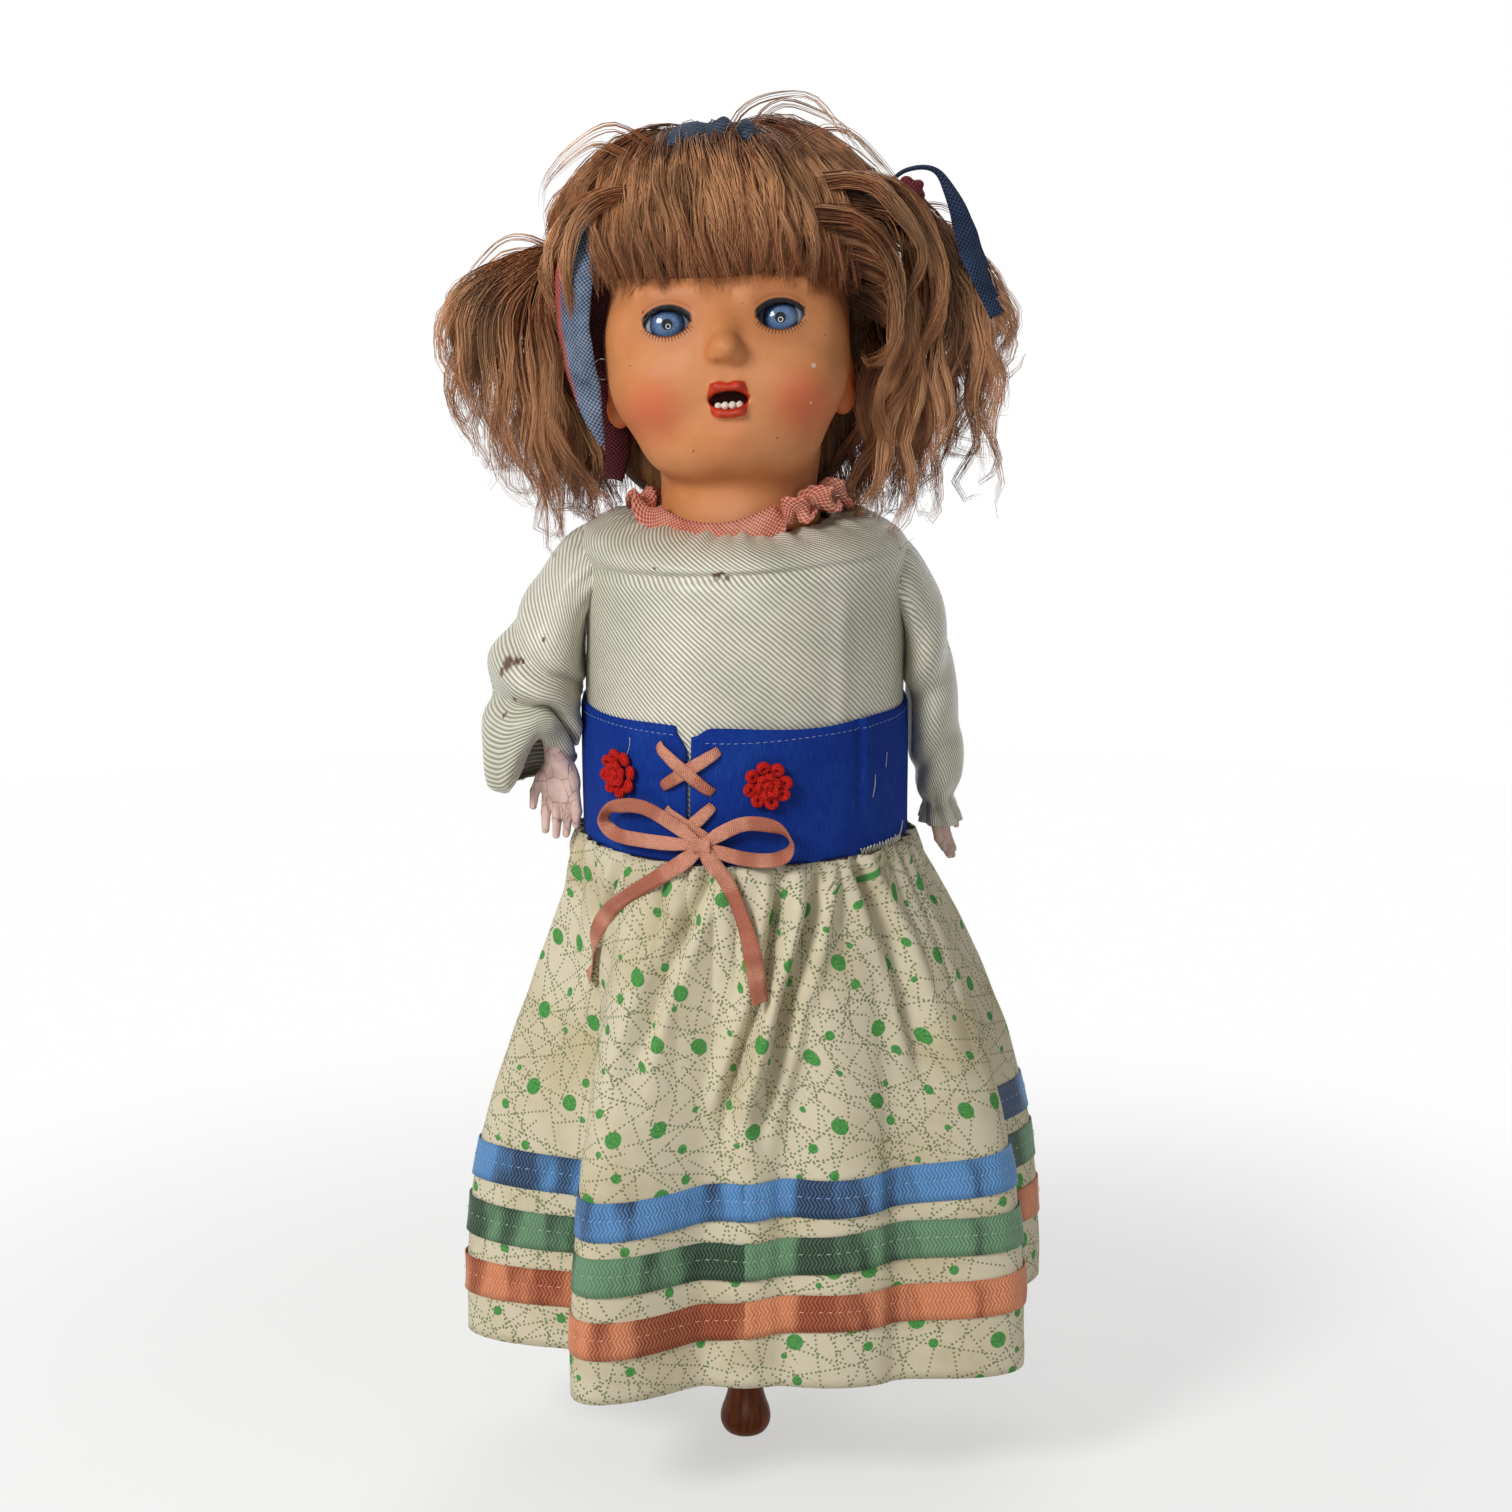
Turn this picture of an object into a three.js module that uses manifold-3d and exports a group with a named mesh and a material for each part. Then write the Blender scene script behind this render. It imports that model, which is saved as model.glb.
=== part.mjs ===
// A musical marotte: a doll with a drum for a body, which spins on a turned handle.
// A worm on the handle's spindle then drives a pinned cylinder that plays a steel comb inside the drum.
// Millimetres, +Z up, the origin at the foot of the handle, the doll's front towards -Y.
// Left and right are those of a viewer in front of the doll: left is -X.

import * as THREE from "three";
import { mergeVertices } from "three/addons/utils/BufferGeometryUtils.js";
import Module from "manifold-3d";

const wasm = await Module();
wasm.setup();

// Clearance between pieces that touch, or turn in each other
const gap = 0.3;

// Turned handle
const footRadius = 3.5;
const knobRadius = 7.4;
const knobHeight = 6.2;
const knobNeckRadius = 4.7;
const knobNeckHeight = 14.5;
const gripRadius = 8.2;
const gripHeight = 85;
const handleNeckRadius = 5.6;
const beadRadius = 8.8;
const beadWidth = 12;
const handleLength = 166;

// Spindle and what sits on it
const spindleRadius = 2.5;
const spindleSocket = 24;
const spindleTip = 2;
const washerRadius = 6;
const washerThickness = 1.2;
const bushRadius = 4.8;
const bushFlangeRadius = 7;
const bushFlange = 3.6;
const collarRadius = 5.2;
const collarLength = 4;

// Drum
const drumRadius = 42.2;
const drumWall = 2;
const drumHeight = 84;
const boardThickness = 6;
const boardInset = 0.7;
const crossBarWidth = 14;
const crossBarThickness = 7;
const crossBarRoom = 4;

// Worm drive
const toothModule = 1;
const wheelTeeth = 24;
const wheelWidth = 4;
const wormPitchRadius = 4.5;
const wormTurns = 3;
const wormThread = 1.2;
const wheelTooth = 1.2;
const arborRadius = 1.5;

// Musical movement
const movementRoom = 2.9;
const bedplateRim = 1.5;
const bedplateCorner = 4;
const bedplateWidth = 38;
const bedplateThickness = 2.5;
const arborHeight = 15.5;
const bearingThickness = 2.5;
const bearingWidth = 10;
const wheelRoom = 3.5;
const cylinderRadius = 8.5;
const cylinderEndRoom = 2;
const cylinderRoom = 5;
const pinRadius = 0.4;
const pinHeight = 0.8;
const pinsPerTooth = 2;
const combTeeth = 11;
const combSlot = 0.5;
const combThickness = 1.2;
const combToothLength = 12;
const combBase = 9;
const screwRadius = 1.2;
const screwHead = 2.2;

// Shoulder dome, neck plug and arms
const shoulderRise = 10;
const neckOffset = -1.5;
const neckRadius = 22;
const neckWall = 3.2;
const plugLength = 19;
const shoulderDrop = 11;
const armWireRadius = 0.9;
const armWireHead = 2.4;
const armRoom = 1;
const armholeRadius = 6;
const sleeveThickness = 1;

// Blouse and belt
const blouseThickness = 0.8;
const blouseTail = 8;
const beltThickness = 1;
const beltHeight = 36.5;
const beltRise = 10;
const lacingAngle = -19.5;
const beltOpening = 1.2;
const notchDepth = 6;
const notchWidth = 5;
const lacingWidth = 4;
const lacingThickness = 0.5;
const flowerRadius = 6.4;
const flowerPetals = 8;
const flowerThickness = 1.6;
const flowerSpread = 27;
const flowerHeight = 22;

// Skirt: angles round the doll from its front, with the hem's radius at each fold and valley,
// and the height of each sewn ribbon above the hem
const skirtThickness = 1.2;
const skirtDrop = 144.7;
const skirtFlare = 2.2;
const hemFolds = [
  [-164, 70], [-145, 55], [-124, 72], [-105, 58], [-84, 79], [-58, 51], [-36, 75], [-12, 50.5], [9, 50.5],
  [40, 61], [64, 84], [90, 62], [113, 93], [135, 57], [156, 70], [177, 55],
];
const skirtRibbonWidth = 10.5;
const skirtRibbonThickness = 0.5;
const skirtRibbonHeights = { blue: 45.5, green: 29.5, salmon: 12.5 };
const skirtRibbonTilt = 3.8;
const skirtRibbonHigh = 115;

// Head, with the places and half sizes of its forms in the head's own frame
const headRise = 60;
const headX = -4.9;
const headY = 2;
const headPitch = -10;
const headRoll = -3.6;
const headWall = 3;
const headBlend = 5;
const headForms = [
  { at: [0, 6, 8], half: [33.5, 36, 36] },
  { at: [0, -8, -9], half: [32, 27, 27] },
  { at: [0, -22, -27], half: [12, 10, 9] },
  { at: [0, -37, -4], half: [3.6, 5, 4.5] },
];
const earForm = { at: [32.5, 4, -8], half: [3.5, 6, 8.5] };
const crownCut = 34;
const eyeSpacing = 29.4;
const eyeHeight = 2;
const eyeDepth = -19.7;
const eyeRadius = 9.3;
const eyeOpeningWidth = 13.6;
const eyeOpeningHeight = 7.4;
const eyeWireRadius = 0.8;
const eyeBossRadius = 2.6;
const eyeBossLength = 9;
const eyeWeightRadius = 4.5;
const eyeWeightLength = 8;
const eyeWeightBack = 13;
const eyeWeightDrop = 17;
const mouthWidth = 8.6;
const mouthHeight = 5.2;
const mouthDepth = -18;
const mouthPlateRoom = 2.4;
const toothWidth = 1.55;
const toothHeight = 2;

// Wig
const hairForms = [
  { at: [0, 9, 8], half: [43, 45, 47] },
  { at: [0, 20, -20], half: [38, 26, 30] },
];
const fringeHeight = 11;
const fringeHalfWidth = 30;
const earGapHeight = 1;
const earGapDepth = 9;
const napeClear = 2.7;
const hairRibbonThickness = 0.6;

// Ruffle round the neck
const ruffleWidth = 8;
const ruffleThickness = 0.8;
const ruffleRise = 5;
const ruffleWaves = 14;
const ruffleSwing = 1.4;
const ruffleFall = 3;

// Heights that follow from the sizes above
const washerTop = handleLength + gap + washerThickness;
const bushBottom = washerTop + gap;
const boardBottom = bushBottom + bushFlange + gap;
const boardTop = boardBottom + boardThickness;
const drumBottom = boardBottom - boardInset;
const drumTop = drumBottom + drumHeight;
const bedplateBottom = boardTop + gap;
const bedplateTop = bedplateBottom + bedplateThickness;
const arborLevel = bedplateTop + arborHeight;
const wheelPitchRadius = (toothModule * wheelTeeth) / 2;
const wheelOuter = wheelPitchRadius + 0.85 * toothModule;
const crossBarBottom = arborLevel + wheelOuter + crossBarRoom;
const crossBarTop = crossBarBottom + crossBarThickness;
const drumInner = drumRadius - drumWall;
const boardRadius = drumInner - gap;
const shoulderTop = drumTop + gap + shoulderRise;
const shoulderLevel = drumTop - shoulderDrop;
const blouseRadius = drumRadius + gap + blouseThickness;
const beltBottom = drumBottom + beltRise;
const beltTop = beltBottom + beltHeight;
const beltOuter = blouseRadius + gap + beltThickness;
const waistRadius = blouseRadius + gap + skirtThickness / 2;
const skirtTop = beltBottom - gap;
const armClear = beltOuter + armRoom;

// Finishes as colour, roughness and metalness
const finishes = {
  varnishedWood: [0x6b3f1d, 0.35, 0],
  plainWood: [0xb08a5b, 0.7, 0],
  steel: [0x9a9ea3, 0.35, 1],
  brass: [0xb08d3c, 0.35, 1],
  lead: [0x6e7175, 0.6, 0.9],
  card: [0xb79c74, 0.9, 0],
  composition: [0xd58f5c, 0.45, 0],
  handPaint: [0xc9a496, 0.6, 0],
  enamel: [0xf1eadb, 0.25, 0],
  eyeGlass: [0x7f9dbb, 0.1, 0],
  mouthCloth: [0x1a0d0b, 0.9, 0],
  hair: [0x8a6038, 0.6, 0],
  sageTwill: [0xc3c6ae, 0.55, 0],
  royalCotton: [0x16318f, 0.85, 0],
  redYarn: [0xd3201f, 0.9, 0],
  salmonRibbon: [0xd9785a, 0.5, 0],
  dottedCotton: [0xd8d2b4, 0.85, 0],
  blueRibbon: [0x3f6aa8, 0.45, 0],
  greenRibbon: [0x2f5f43, 0.45, 0],
  maroonRibbon: [0x7a2433, 0.5, 0],
};

// Point at an angle round the doll, counted in degrees from its front towards the right
function around(angle, radius, height) {
  const turn = THREE.MathUtils.degToRad(angle);
  return new THREE.Vector3(radius * Math.sin(turn), -radius * Math.cos(turn), height);
}

function vector(values) {
  return new THREE.Vector3(...values);
}

function indexed(points, faces) {
  const geometry = new THREE.BufferGeometry();
  geometry.setAttribute("position", new THREE.Float32BufferAttribute(points.flatMap((p) => p.toArray()), 3));
  geometry.setIndex(faces);
  return geometry;
}

// Six times the volume that a triangle list encloses, negative when it is inside out
function signedVolume(points, faces) {
  let sum = 0;
  for (let i = 0; i < faces.length; i += 3) {
    const [a, b, c] = [points[faces[i]], points[faces[i + 1]], points[faces[i + 2]]];
    sum += a.dot(b.clone().cross(c));
  }
  return sum;
}

// Closed surface through a row of rings with equally many points
// The row joins its own start when looped, and otherwise gets a cap at each end.
function loft(rings, looped = false) {
  const count = rings[0].length;
  const points = rings.flat();
  const faces = [];
  const spans = looped ? rings.length : rings.length - 1;
  for (let i = 0; i < spans; i++) {
    const here = i * count;
    const there = ((i + 1) % rings.length) * count;
    for (let j = 0; j < count; j++) {
      const k = (j + 1) % count;
      faces.push(here + j, there + j, there + k, here + j, there + k, here + k);
    }
  }
  if (!looped) {
    for (const [ring, start, flip] of [[rings[0], 0, true], [rings.at(-1), points.length - count, false]]) {
      const middle = ring.reduce((sum, p) => sum.add(p), new THREE.Vector3()).divideScalar(count);
      const centre = points.push(middle) - 1;
      for (let j = 0; j < count; j++) {
        const pair = [start + j, start + ((j + 1) % count)];
        faces.push(centre, ...(flip ? pair.reverse() : pair).reverse());
      }
    }
  }
  if (signedVolume(points, faces) < 0) faces.reverse();
  return indexed(points, faces);
}

// Solid of revolution round Z from pairs of radius and height, which run up the outside
function turned(outline, sides) {
  const profile = outline.map(([radius, height]) => new THREE.Vector2(radius, height));
  return new THREE.LatheGeometry(profile, sides).rotateX(Math.PI / 2);
}

function ring(inner, outer, bottom, top, sides) {
  return turned([[inner, bottom], [outer, bottom], [outer, top], [inner, top], [inner, bottom]], sides);
}

function disc(radius, bottom, top, sides) {
  return turned([[0, bottom], [radius, bottom], [radius, top], [0, top]], sides);
}

// Round bar along X
function barAlongX(radius, from, to, sides) {
  return disc(radius, from, to, sides).rotateY(Math.PI / 2);
}

function block(from, to) {
  const size = to.map((v, i) => v - from[i]);
  return new THREE.BoxGeometry(...size).translate(...from.map((v, i) => v + size[i] / 2));
}

function ellipsoid({ at, half }, across, down) {
  return new THREE.SphereGeometry(1, across, down).rotateX(Math.PI / 2).scale(...half).translate(...at);
}

// Round wire through a few places
function wire(places, radius, sides, steps) {
  const section = new THREE.Shape().absarc(0, 0, radius, 0, 2 * Math.PI);
  const path = new THREE.CatmullRomCurve3(places.map(vector));
  return new THREE.ExtrudeGeometry(section, { curveSegments: sides / 2, steps, extrudePath: path });
}

// Flat ribbon through a few places; facing gives the outward direction at a point of its path
function ribbon(places, width, thickness, steps, facing) {
  const path = new THREE.CatmullRomCurve3(places);
  const rings = [];
  for (let i = 0; i <= steps; i++) {
    const middle = path.getPoint(i / steps);
    const out = facing(middle, i / steps).normalize();
    const side = path.getTangent(i / steps).cross(out).normalize().multiplyScalar(width / 2);
    const lift = out.multiplyScalar(thickness / 2);
    rings.push([
      middle.clone().add(side).add(lift),
      middle.clone().sub(side).add(lift),
      middle.clone().sub(side).sub(lift),
      middle.clone().add(side).sub(lift),
    ]);
  }
  return loft(rings);
}

function radially(point) {
  return new THREE.Vector3(point.x, point.y, 0);
}

function solid(geometry) {
  const bare = geometry.clone();
  bare.deleteAttribute("normal");
  bare.deleteAttribute("uv");
  const merged = mergeVertices(bare, 1e-4);
  return new wasm.Manifold(
    new wasm.Mesh({
      numProp: 3,
      vertProperties: new Float32Array(merged.attributes.position.array),
      triVerts: new Uint32Array(merged.index.array),
    }),
  );
}

function surface(body) {
  const { vertProperties, triVerts, numProp } = body.getMesh();
  const points = [];
  for (let i = 0; i < vertProperties.length; i += numProp) {
    points.push(vector(vertProperties.subarray(i, i + 3)));
  }
  return indexed(points, Array.from(triVerts));
}

function joined(first, ...others) {
  return surface(others.reduce((body, other) => body.add(solid(other)), solid(first)));
}

function cut(first, ...others) {
  return surface(others.reduce((body, other) => body.subtract(solid(other)), solid(first)));
}

function common(first, second) {
  return surface(solid(first).intersect(solid(second)));
}

// Smoothly joined ellipsoids, as a distance that is negative inside
function distanceTo(forms, blend, point) {
  let found = Infinity;
  for (const { at, half } of forms) {
    const p = point.clone().sub(vector(at));
    const scaled = p.clone().divide(vector(half));
    const steep = scaled.clone().divide(vector(half));
    const distance = (scaled.length() * (scaled.length() - 1)) / Math.max(steep.length(), 1e-6);
    const share = Math.max(blend - Math.abs(found - distance), 0) / blend;
    found = Math.min(found, distance) - (Number.isFinite(found) ? (share * share * blend) / 4 : 0);
  }
  return found;
}

// Surface of such forms as seen from their middle, with an even offset along each ray
function sculpted(forms, blend, offset, across, down) {
  const middle = vector(forms[0].at);
  const geometry = new THREE.SphereGeometry(1, across, down).rotateX(Math.PI / 2);
  const position = geometry.attributes.position;
  for (let i = 0; i < position.count; i++) {
    const ray = new THREE.Vector3().fromBufferAttribute(position, i).normalize();
    let [near, far] = [0, 120];
    for (let step = 0; step < 30; step++) {
      const half = (near + far) / 2;
      const inside = distanceTo(forms, blend, middle.clone().addScaledVector(ray, half)) < 0;
      [near, far] = inside ? [half, far] : [near, half];
    }
    const place = middle.clone().addScaledVector(ray, near + offset);
    position.setXYZ(i, place.x, place.y, place.z);
  }
  return geometry;
}

// Depth of the face's surface at a place seen from the front
function faceDepth(x, z) {
  let [out, inside] = [-120, headForms[1].at[1]];
  for (let step = 0; step < 30; step++) {
    const half = (out + inside) / 2;
    const within = distanceTo(headForms.slice(0, 3), headBlend, new THREE.Vector3(x, half, z)) < 0;
    [out, inside] = within ? [out, half] : [half, inside];
  }
  return out;
}

const doll = new THREE.Group();
const head = new THREE.Group();
head.position.set(headX, headY, drumTop + headRise);
head.rotation.set(
  THREE.MathUtils.degToRad(headPitch),
  THREE.MathUtils.degToRad(headRoll),
  0,
  "YXZ",
);
head.updateMatrix();
const intoHead = head.matrix.clone().invert();
const uprightInHead = new THREE.Matrix4().makeRotationFromQuaternion(head.quaternion.clone().invert());
doll.add(head);

function piece(name, geometry, finish, parent = doll) {
  const [color, roughness, metalness] = finishes[finish];
  const bare = geometry.clone();
  bare.deleteAttribute("uv");
  bare.computeVertexNormals();
  const mesh = new THREE.Mesh(bare, new THREE.MeshStandardMaterial({ color, roughness, metalness }));
  mesh.name = name;
  parent.add(mesh);
}

// Handle, washer, spindle and collar
function handle() {
  const beadBottom = handleLength - beadWidth;
  const curve = new THREE.SplineCurve([
    new THREE.Vector2(knobRadius, knobHeight),
    new THREE.Vector2(knobRadius - 1, knobHeight + 3.5),
    new THREE.Vector2(knobNeckRadius, knobNeckHeight),
    new THREE.Vector2((knobNeckRadius + gripRadius) / 2, (knobNeckHeight + gripHeight) / 2),
    new THREE.Vector2(gripRadius, gripHeight),
    new THREE.Vector2((gripRadius + handleNeckRadius) / 2, (gripHeight + beadBottom) / 2),
    new THREE.Vector2(handleNeckRadius, beadBottom),
    new THREE.Vector2(beadRadius, handleLength - beadWidth / 2),
    new THREE.Vector2(beadRadius - 1.8, handleLength),
  ]);
  const outside = curve.getPoints(16).map((p) => [p.x, p.y]);
  const socketRadius = spindleRadius + gap;
  const socketBottom = handleLength - spindleSocket - gap;
  const socket = [[socketRadius, handleLength], [socketRadius, socketBottom], [0, socketBottom]];
  return turned([[0, 0], [footRadius, 0], [knobRadius - 0.9, knobHeight - 3.4], ...outside, ...socket], 16);
}

const spindleBottom = handleLength - spindleSocket;
const spindleTop = crossBarTop + spindleTip;
const bushTop = boardTop + gap;
const collarBottom = bushTop + gap;
piece("handle", handle(), "varnishedWood");
const spindleOutline = [
  [0, spindleBottom],
  [spindleRadius, spindleBottom],
  [spindleRadius, spindleTop - 1],
  [spindleRadius - 1, spindleTop],
  [0, spindleTop],
];
piece("spindle", turned(spindleOutline, 16), "steel");
const washerBore = spindleRadius + gap;
piece("thrust_washer", ring(washerBore, washerRadius, handleLength + gap, washerTop, 16), "brass");
piece("spindle_collar", ring(washerBore, collarRadius, collarBottom, collarBottom + collarLength, 16), "steel");

// Worm: a right-hand thread on a sleeve, in mesh with the wheel on its +Y side
function worm() {
  const pitch = Math.PI * toothModule;
  const core = wormPitchRadius - toothModule;
  const tip = wormPitchRadius + 0.85 * toothModule;
  const steps = 12;
  const length = (wormTurns + 1) * pitch;
  const rings = [];
  for (let i = 0; i <= wormTurns * steps; i++) {
    const turns = i / steps - wormTurns / 2;
    const angle = turns * 2 * Math.PI + Math.PI / 2;
    const level = arborLevel + turns * pitch;
    const point = (radius, side) =>
      new THREE.Vector3(radius * Math.cos(angle), radius * Math.sin(angle), level + side);
    const [foot, crest] = [0.75 * wormThread, 0.3 * wormThread];
    rings.push([point(core - 0.4, -foot), point(tip, -crest), point(tip, crest), point(core - 0.4, foot)]);
  }
  const sleeve = ring(spindleRadius + gap, core, arborLevel - length / 2, arborLevel + length / 2, steps);
  return joined(sleeve, loft(rings));
}
piece("worm", worm(), "brass");

// Worm wheel, arbor and pinned cylinder turn about an axis along X behind the spindle
const arborY = wormPitchRadius + wheelPitchRadius;
const cylinderFrom = wheelWidth / 2 + cylinderRoom;
const bearingOuter = Math.sqrt((drumInner - movementRoom) ** 2 - (arborY + bearingWidth / 2) ** 2);
const bearings = {
  bearing_left: -wheelWidth / 2 - wheelRoom - bearingThickness,
  bearing_right: bearingOuter - bearingThickness,
};
const cylinderTo = bearings.bearing_right - cylinderEndRoom;
const combStep = (cylinderTo - cylinderFrom) / combTeeth;

function wormWheel() {
  const lead = toothModule / (2 * wormPitchRadius);
  const root = wheelPitchRadius - toothModule;
  const toothStep = (2 * Math.PI) / wheelTeeth;
  const half = wheelTooth / 2 / wheelPitchRadius;
  const rings = [-1, 1].map((side) => {
    const x = (side * wheelWidth) / 2;
    const twist = (lead * x) / wheelPitchRadius;
    const points = [];
    for (let i = 0; i < wheelTeeth; i++) {
      const middle = (i + 0.5) * toothStep - twist;
      for (const [shift, radius] of [[-1.7, root], [-0.6, wheelOuter], [0.6, wheelOuter], [1.7, root]]) {
        const angle = middle + shift * half;
        points.push(new THREE.Vector3(x, -radius * Math.cos(angle), radius * Math.sin(angle)));
      }
    }
    return points;
  });
  const bore = barAlongX(arborRadius + gap, -wheelWidth, wheelWidth, 12);
  return cut(loft(rings), bore).translate(0, arborY, arborLevel);
}

function pinnedCylinder() {
  const barrel = disc(cylinderRadius, cylinderFrom, cylinderTo, 20).rotateY(Math.PI / 2);
  const bore = barAlongX(arborRadius + gap, cylinderFrom - 1, cylinderTo + 1, 12);
  const goldenAngle = Math.PI * (3 - Math.sqrt(5));
  const pins = [];
  for (let i = 0; i < combTeeth * pinsPerTooth; i++) {
    const x = cylinderFrom + combStep * ((i % combTeeth) + 0.5);
    const pin = new THREE.CylinderGeometry(pinRadius * 0.6, pinRadius, 2 * pinHeight, 4);
    pins.push(pin.translate(0, cylinderRadius, 0).rotateX(i * goldenAngle).translate(x, 0, 0));
  }
  return cut(joined(barrel, ...pins), bore).translate(0, arborY, arborLevel);
}

piece("worm_wheel", wormWheel(), "brass");
piece("music_cylinder", pinnedCylinder(), "brass");
const arborFrom = bearings.bearing_left - 0.5;
const arborTo = bearings.bearing_right + bearingThickness + 0.5;
const arborBar = barAlongX(arborRadius, arborFrom, arborTo, 12).translate(0, arborY, arborLevel);
piece("cylinder_arbor", arborBar, "steel");

// Bedplate on the base board, with a hole round the spindle, and its two bearings
function bedplate() {
  const left = bearings.bearing_left - 2 * bedplateRim;
  const right = bearingOuter + bedplateRim;
  const back = arborY + bearingWidth / 2 + 1;
  const outline = new THREE.Shape();
  const corner = bedplateCorner;
  outline.moveTo(left + corner, back - bedplateWidth);
  outline.lineTo(right - corner, back - bedplateWidth);
  outline.lineTo(right, back - bedplateWidth + corner);
  outline.lineTo(right, back - corner);
  outline.lineTo(right - corner, back);
  outline.lineTo(left + corner, back);
  outline.lineTo(left, back - corner);
  outline.lineTo(left, back - bedplateWidth + corner);
  outline.holes.push(new THREE.Path().absarc(0, 0, collarRadius + 4 * gap, 0, 2 * Math.PI));
  const plate = new THREE.ExtrudeGeometry(outline, {
    depth: bedplateThickness,
    bevelEnabled: false,
    curveSegments: 16,
  });
  return plate.translate(0, 0, bedplateBottom);
}

function bearing(from) {
  const foot = bedplateTop + gap;
  const outline = new THREE.Shape();
  const half = bearingWidth / 2;
  outline.moveTo(-half, foot - arborLevel);
  outline.lineTo(half, foot - arborLevel);
  outline.lineTo(half * 0.8, 0);
  outline.absarc(0, 0, half * 0.8, 0, Math.PI);
  outline.holes.push(new THREE.Path().absarc(0, 0, arborRadius + 0.1, 0, 2 * Math.PI));
  const plate = new THREE.ExtrudeGeometry(outline, {
    depth: bearingThickness,
    bevelEnabled: false,
    curveSegments: 8,
  });
  return plate.rotateX(Math.PI / 2).rotateZ(Math.PI / 2).translate(from, arborY, arborLevel);
}

piece("bedplate", bedplate(), "brass");
for (const [name, from] of Object.entries(bearings)) piece(name, bearing(from), "brass");

// Comb: teeth whose tips lie just off the cylinder's pins, on a rest with two screws
const combTip = arborY - cylinderRadius - pinHeight - gap;
const combRoot = combTip - combToothLength;
const screwPlaces = { comb_screw_left: cylinderFrom + 4, comb_screw_right: cylinderTo - 4 };
const combScrewY = combRoot - combBase / 2;

function comb() {
  const outline = new THREE.Shape();
  outline.moveTo(cylinderFrom, combRoot - combBase);
  outline.lineTo(cylinderTo, combRoot - combBase);
  for (let i = combTeeth - 1; i >= 0; i--) {
    const left = cylinderFrom + combStep * i + combSlot / 2;
    const right = cylinderFrom + combStep * (i + 1) - combSlot / 2;
    outline.lineTo(right, combRoot + 0.1 * i);
    outline.lineTo(right, combTip);
    outline.lineTo(left, combTip);
    outline.lineTo(left, combRoot + 0.1 * i);
  }
  for (const x of Object.values(screwPlaces)) {
    outline.holes.push(new THREE.Path().absarc(x, combScrewY, screwRadius + gap, 0, 2 * Math.PI));
  }
  const plate = new THREE.ExtrudeGeometry(outline, {
    depth: combThickness,
    bevelEnabled: false,
    curveSegments: 8,
  });
  return plate.translate(0, 0, arborLevel - combThickness / 2);
}

function combScrew(x) {
  const under = arborLevel + combThickness / 2 + gap;
  const screw = turned(
    [
      [0, under - 6],
      [screwRadius, under - 6],
      [screwRadius, under],
      [screwHead, under],
      [screwHead, under + 1.2],
      [screwHead - 0.6, under + 1.8],
      [0, under + 1.8],
    ],
    12,
  );
  const slot = block([-screwHead, -0.3, under + 1], [screwHead, 0.3, under + 2]);
  return cut(screw, slot).translate(x, combScrewY, 0);
}

function combRest() {
  const top = arborLevel - combThickness / 2 - gap;
  const bar = block([cylinderFrom, combRoot - combBase, bedplateTop + gap], [cylinderTo, combRoot, top]);
  const holes = Object.values(screwPlaces).map((x) =>
    disc(screwRadius + gap, top - 8, top + 1, 12).translate(x, combScrewY, 0),
  );
  return cut(bar, ...holes);
}

piece("comb", comb(), "steel");
piece("comb_rest", combRest(), "brass");
for (const [name, x] of Object.entries(screwPlaces)) piece(name, combScrew(x), "steel");

// Drum: boards, wall with a hole for each arm wire, bush and cross bar
const drumSides = 28;
const armHole = () =>
  barAlongX(armWireRadius + gap, -drumRadius - 5, drumRadius + 5, 12).translate(0, 0, shoulderLevel);
const bushBore = spindleRadius + gap;
piece("base_board", ring(bushRadius + gap, boardRadius, boardBottom, boardTop, drumSides), "plainWood");
piece("top_board", disc(boardRadius, drumTop - boardThickness, drumTop, drumSides), "plainWood");
piece("drum_wall", cut(ring(drumInner, drumRadius, drumBottom, drumTop, drumSides), armHole()), "card");
const bushOutline = [
  [bushBore, bushBottom],
  [bushFlangeRadius, bushBottom],
  [bushFlangeRadius, bushBottom + bushFlange],
  [bushRadius, bushBottom + bushFlange],
  [bushRadius, bushTop],
  [bushBore, bushTop],
  [bushBore, bushBottom],
];
piece("spindle_bush", turned(bushOutline, 16), "brass");
const crossBarBlank = block(
  [-crossBarWidth / 2, -drumRadius, crossBarBottom],
  [crossBarWidth / 2, drumRadius, crossBarTop],
);
const crossBarSpace = ring(bushBore, boardRadius, crossBarBottom - 1, crossBarTop + 1, drumSides);
piece("cross_bar", common(crossBarBlank, crossBarSpace), "plainWood");

// Shoulder dome with the neck plug on it; its outline also gives the blouse
const domeTopRadius = neckRadius + Math.abs(neckOffset) + 1;
function shoulderCurve(offset) {
  const steps = 4;
  const points = [];
  for (let i = 0; i <= steps; i++) {
    const angle = ((i / steps) * Math.PI) / 2;
    const radius = domeTopRadius + (drumRadius - domeTopRadius + offset) * Math.cos(angle);
    points.push([radius, drumTop + gap + (shoulderRise + offset) * Math.sin(angle)]);
  }
  return points;
}
const plugRadius = neckRadius - neckWall - gap;
const plugTop = shoulderTop + plugLength;
const dome = turned([[0, drumTop + gap], ...shoulderCurve(0), [0, shoulderTop]], drumSides);
const plugOutline = [
  [0, shoulderTop - 2],
  [plugRadius, shoulderTop - 2],
  [plugRadius, plugTop - 3],
  [plugRadius - 3, plugTop],
  [0, plugTop],
];
piece("neck_plug", joined(dome, turned(plugOutline, 16).translate(neckOffset, 0, 0)), "plainWood");

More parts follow.
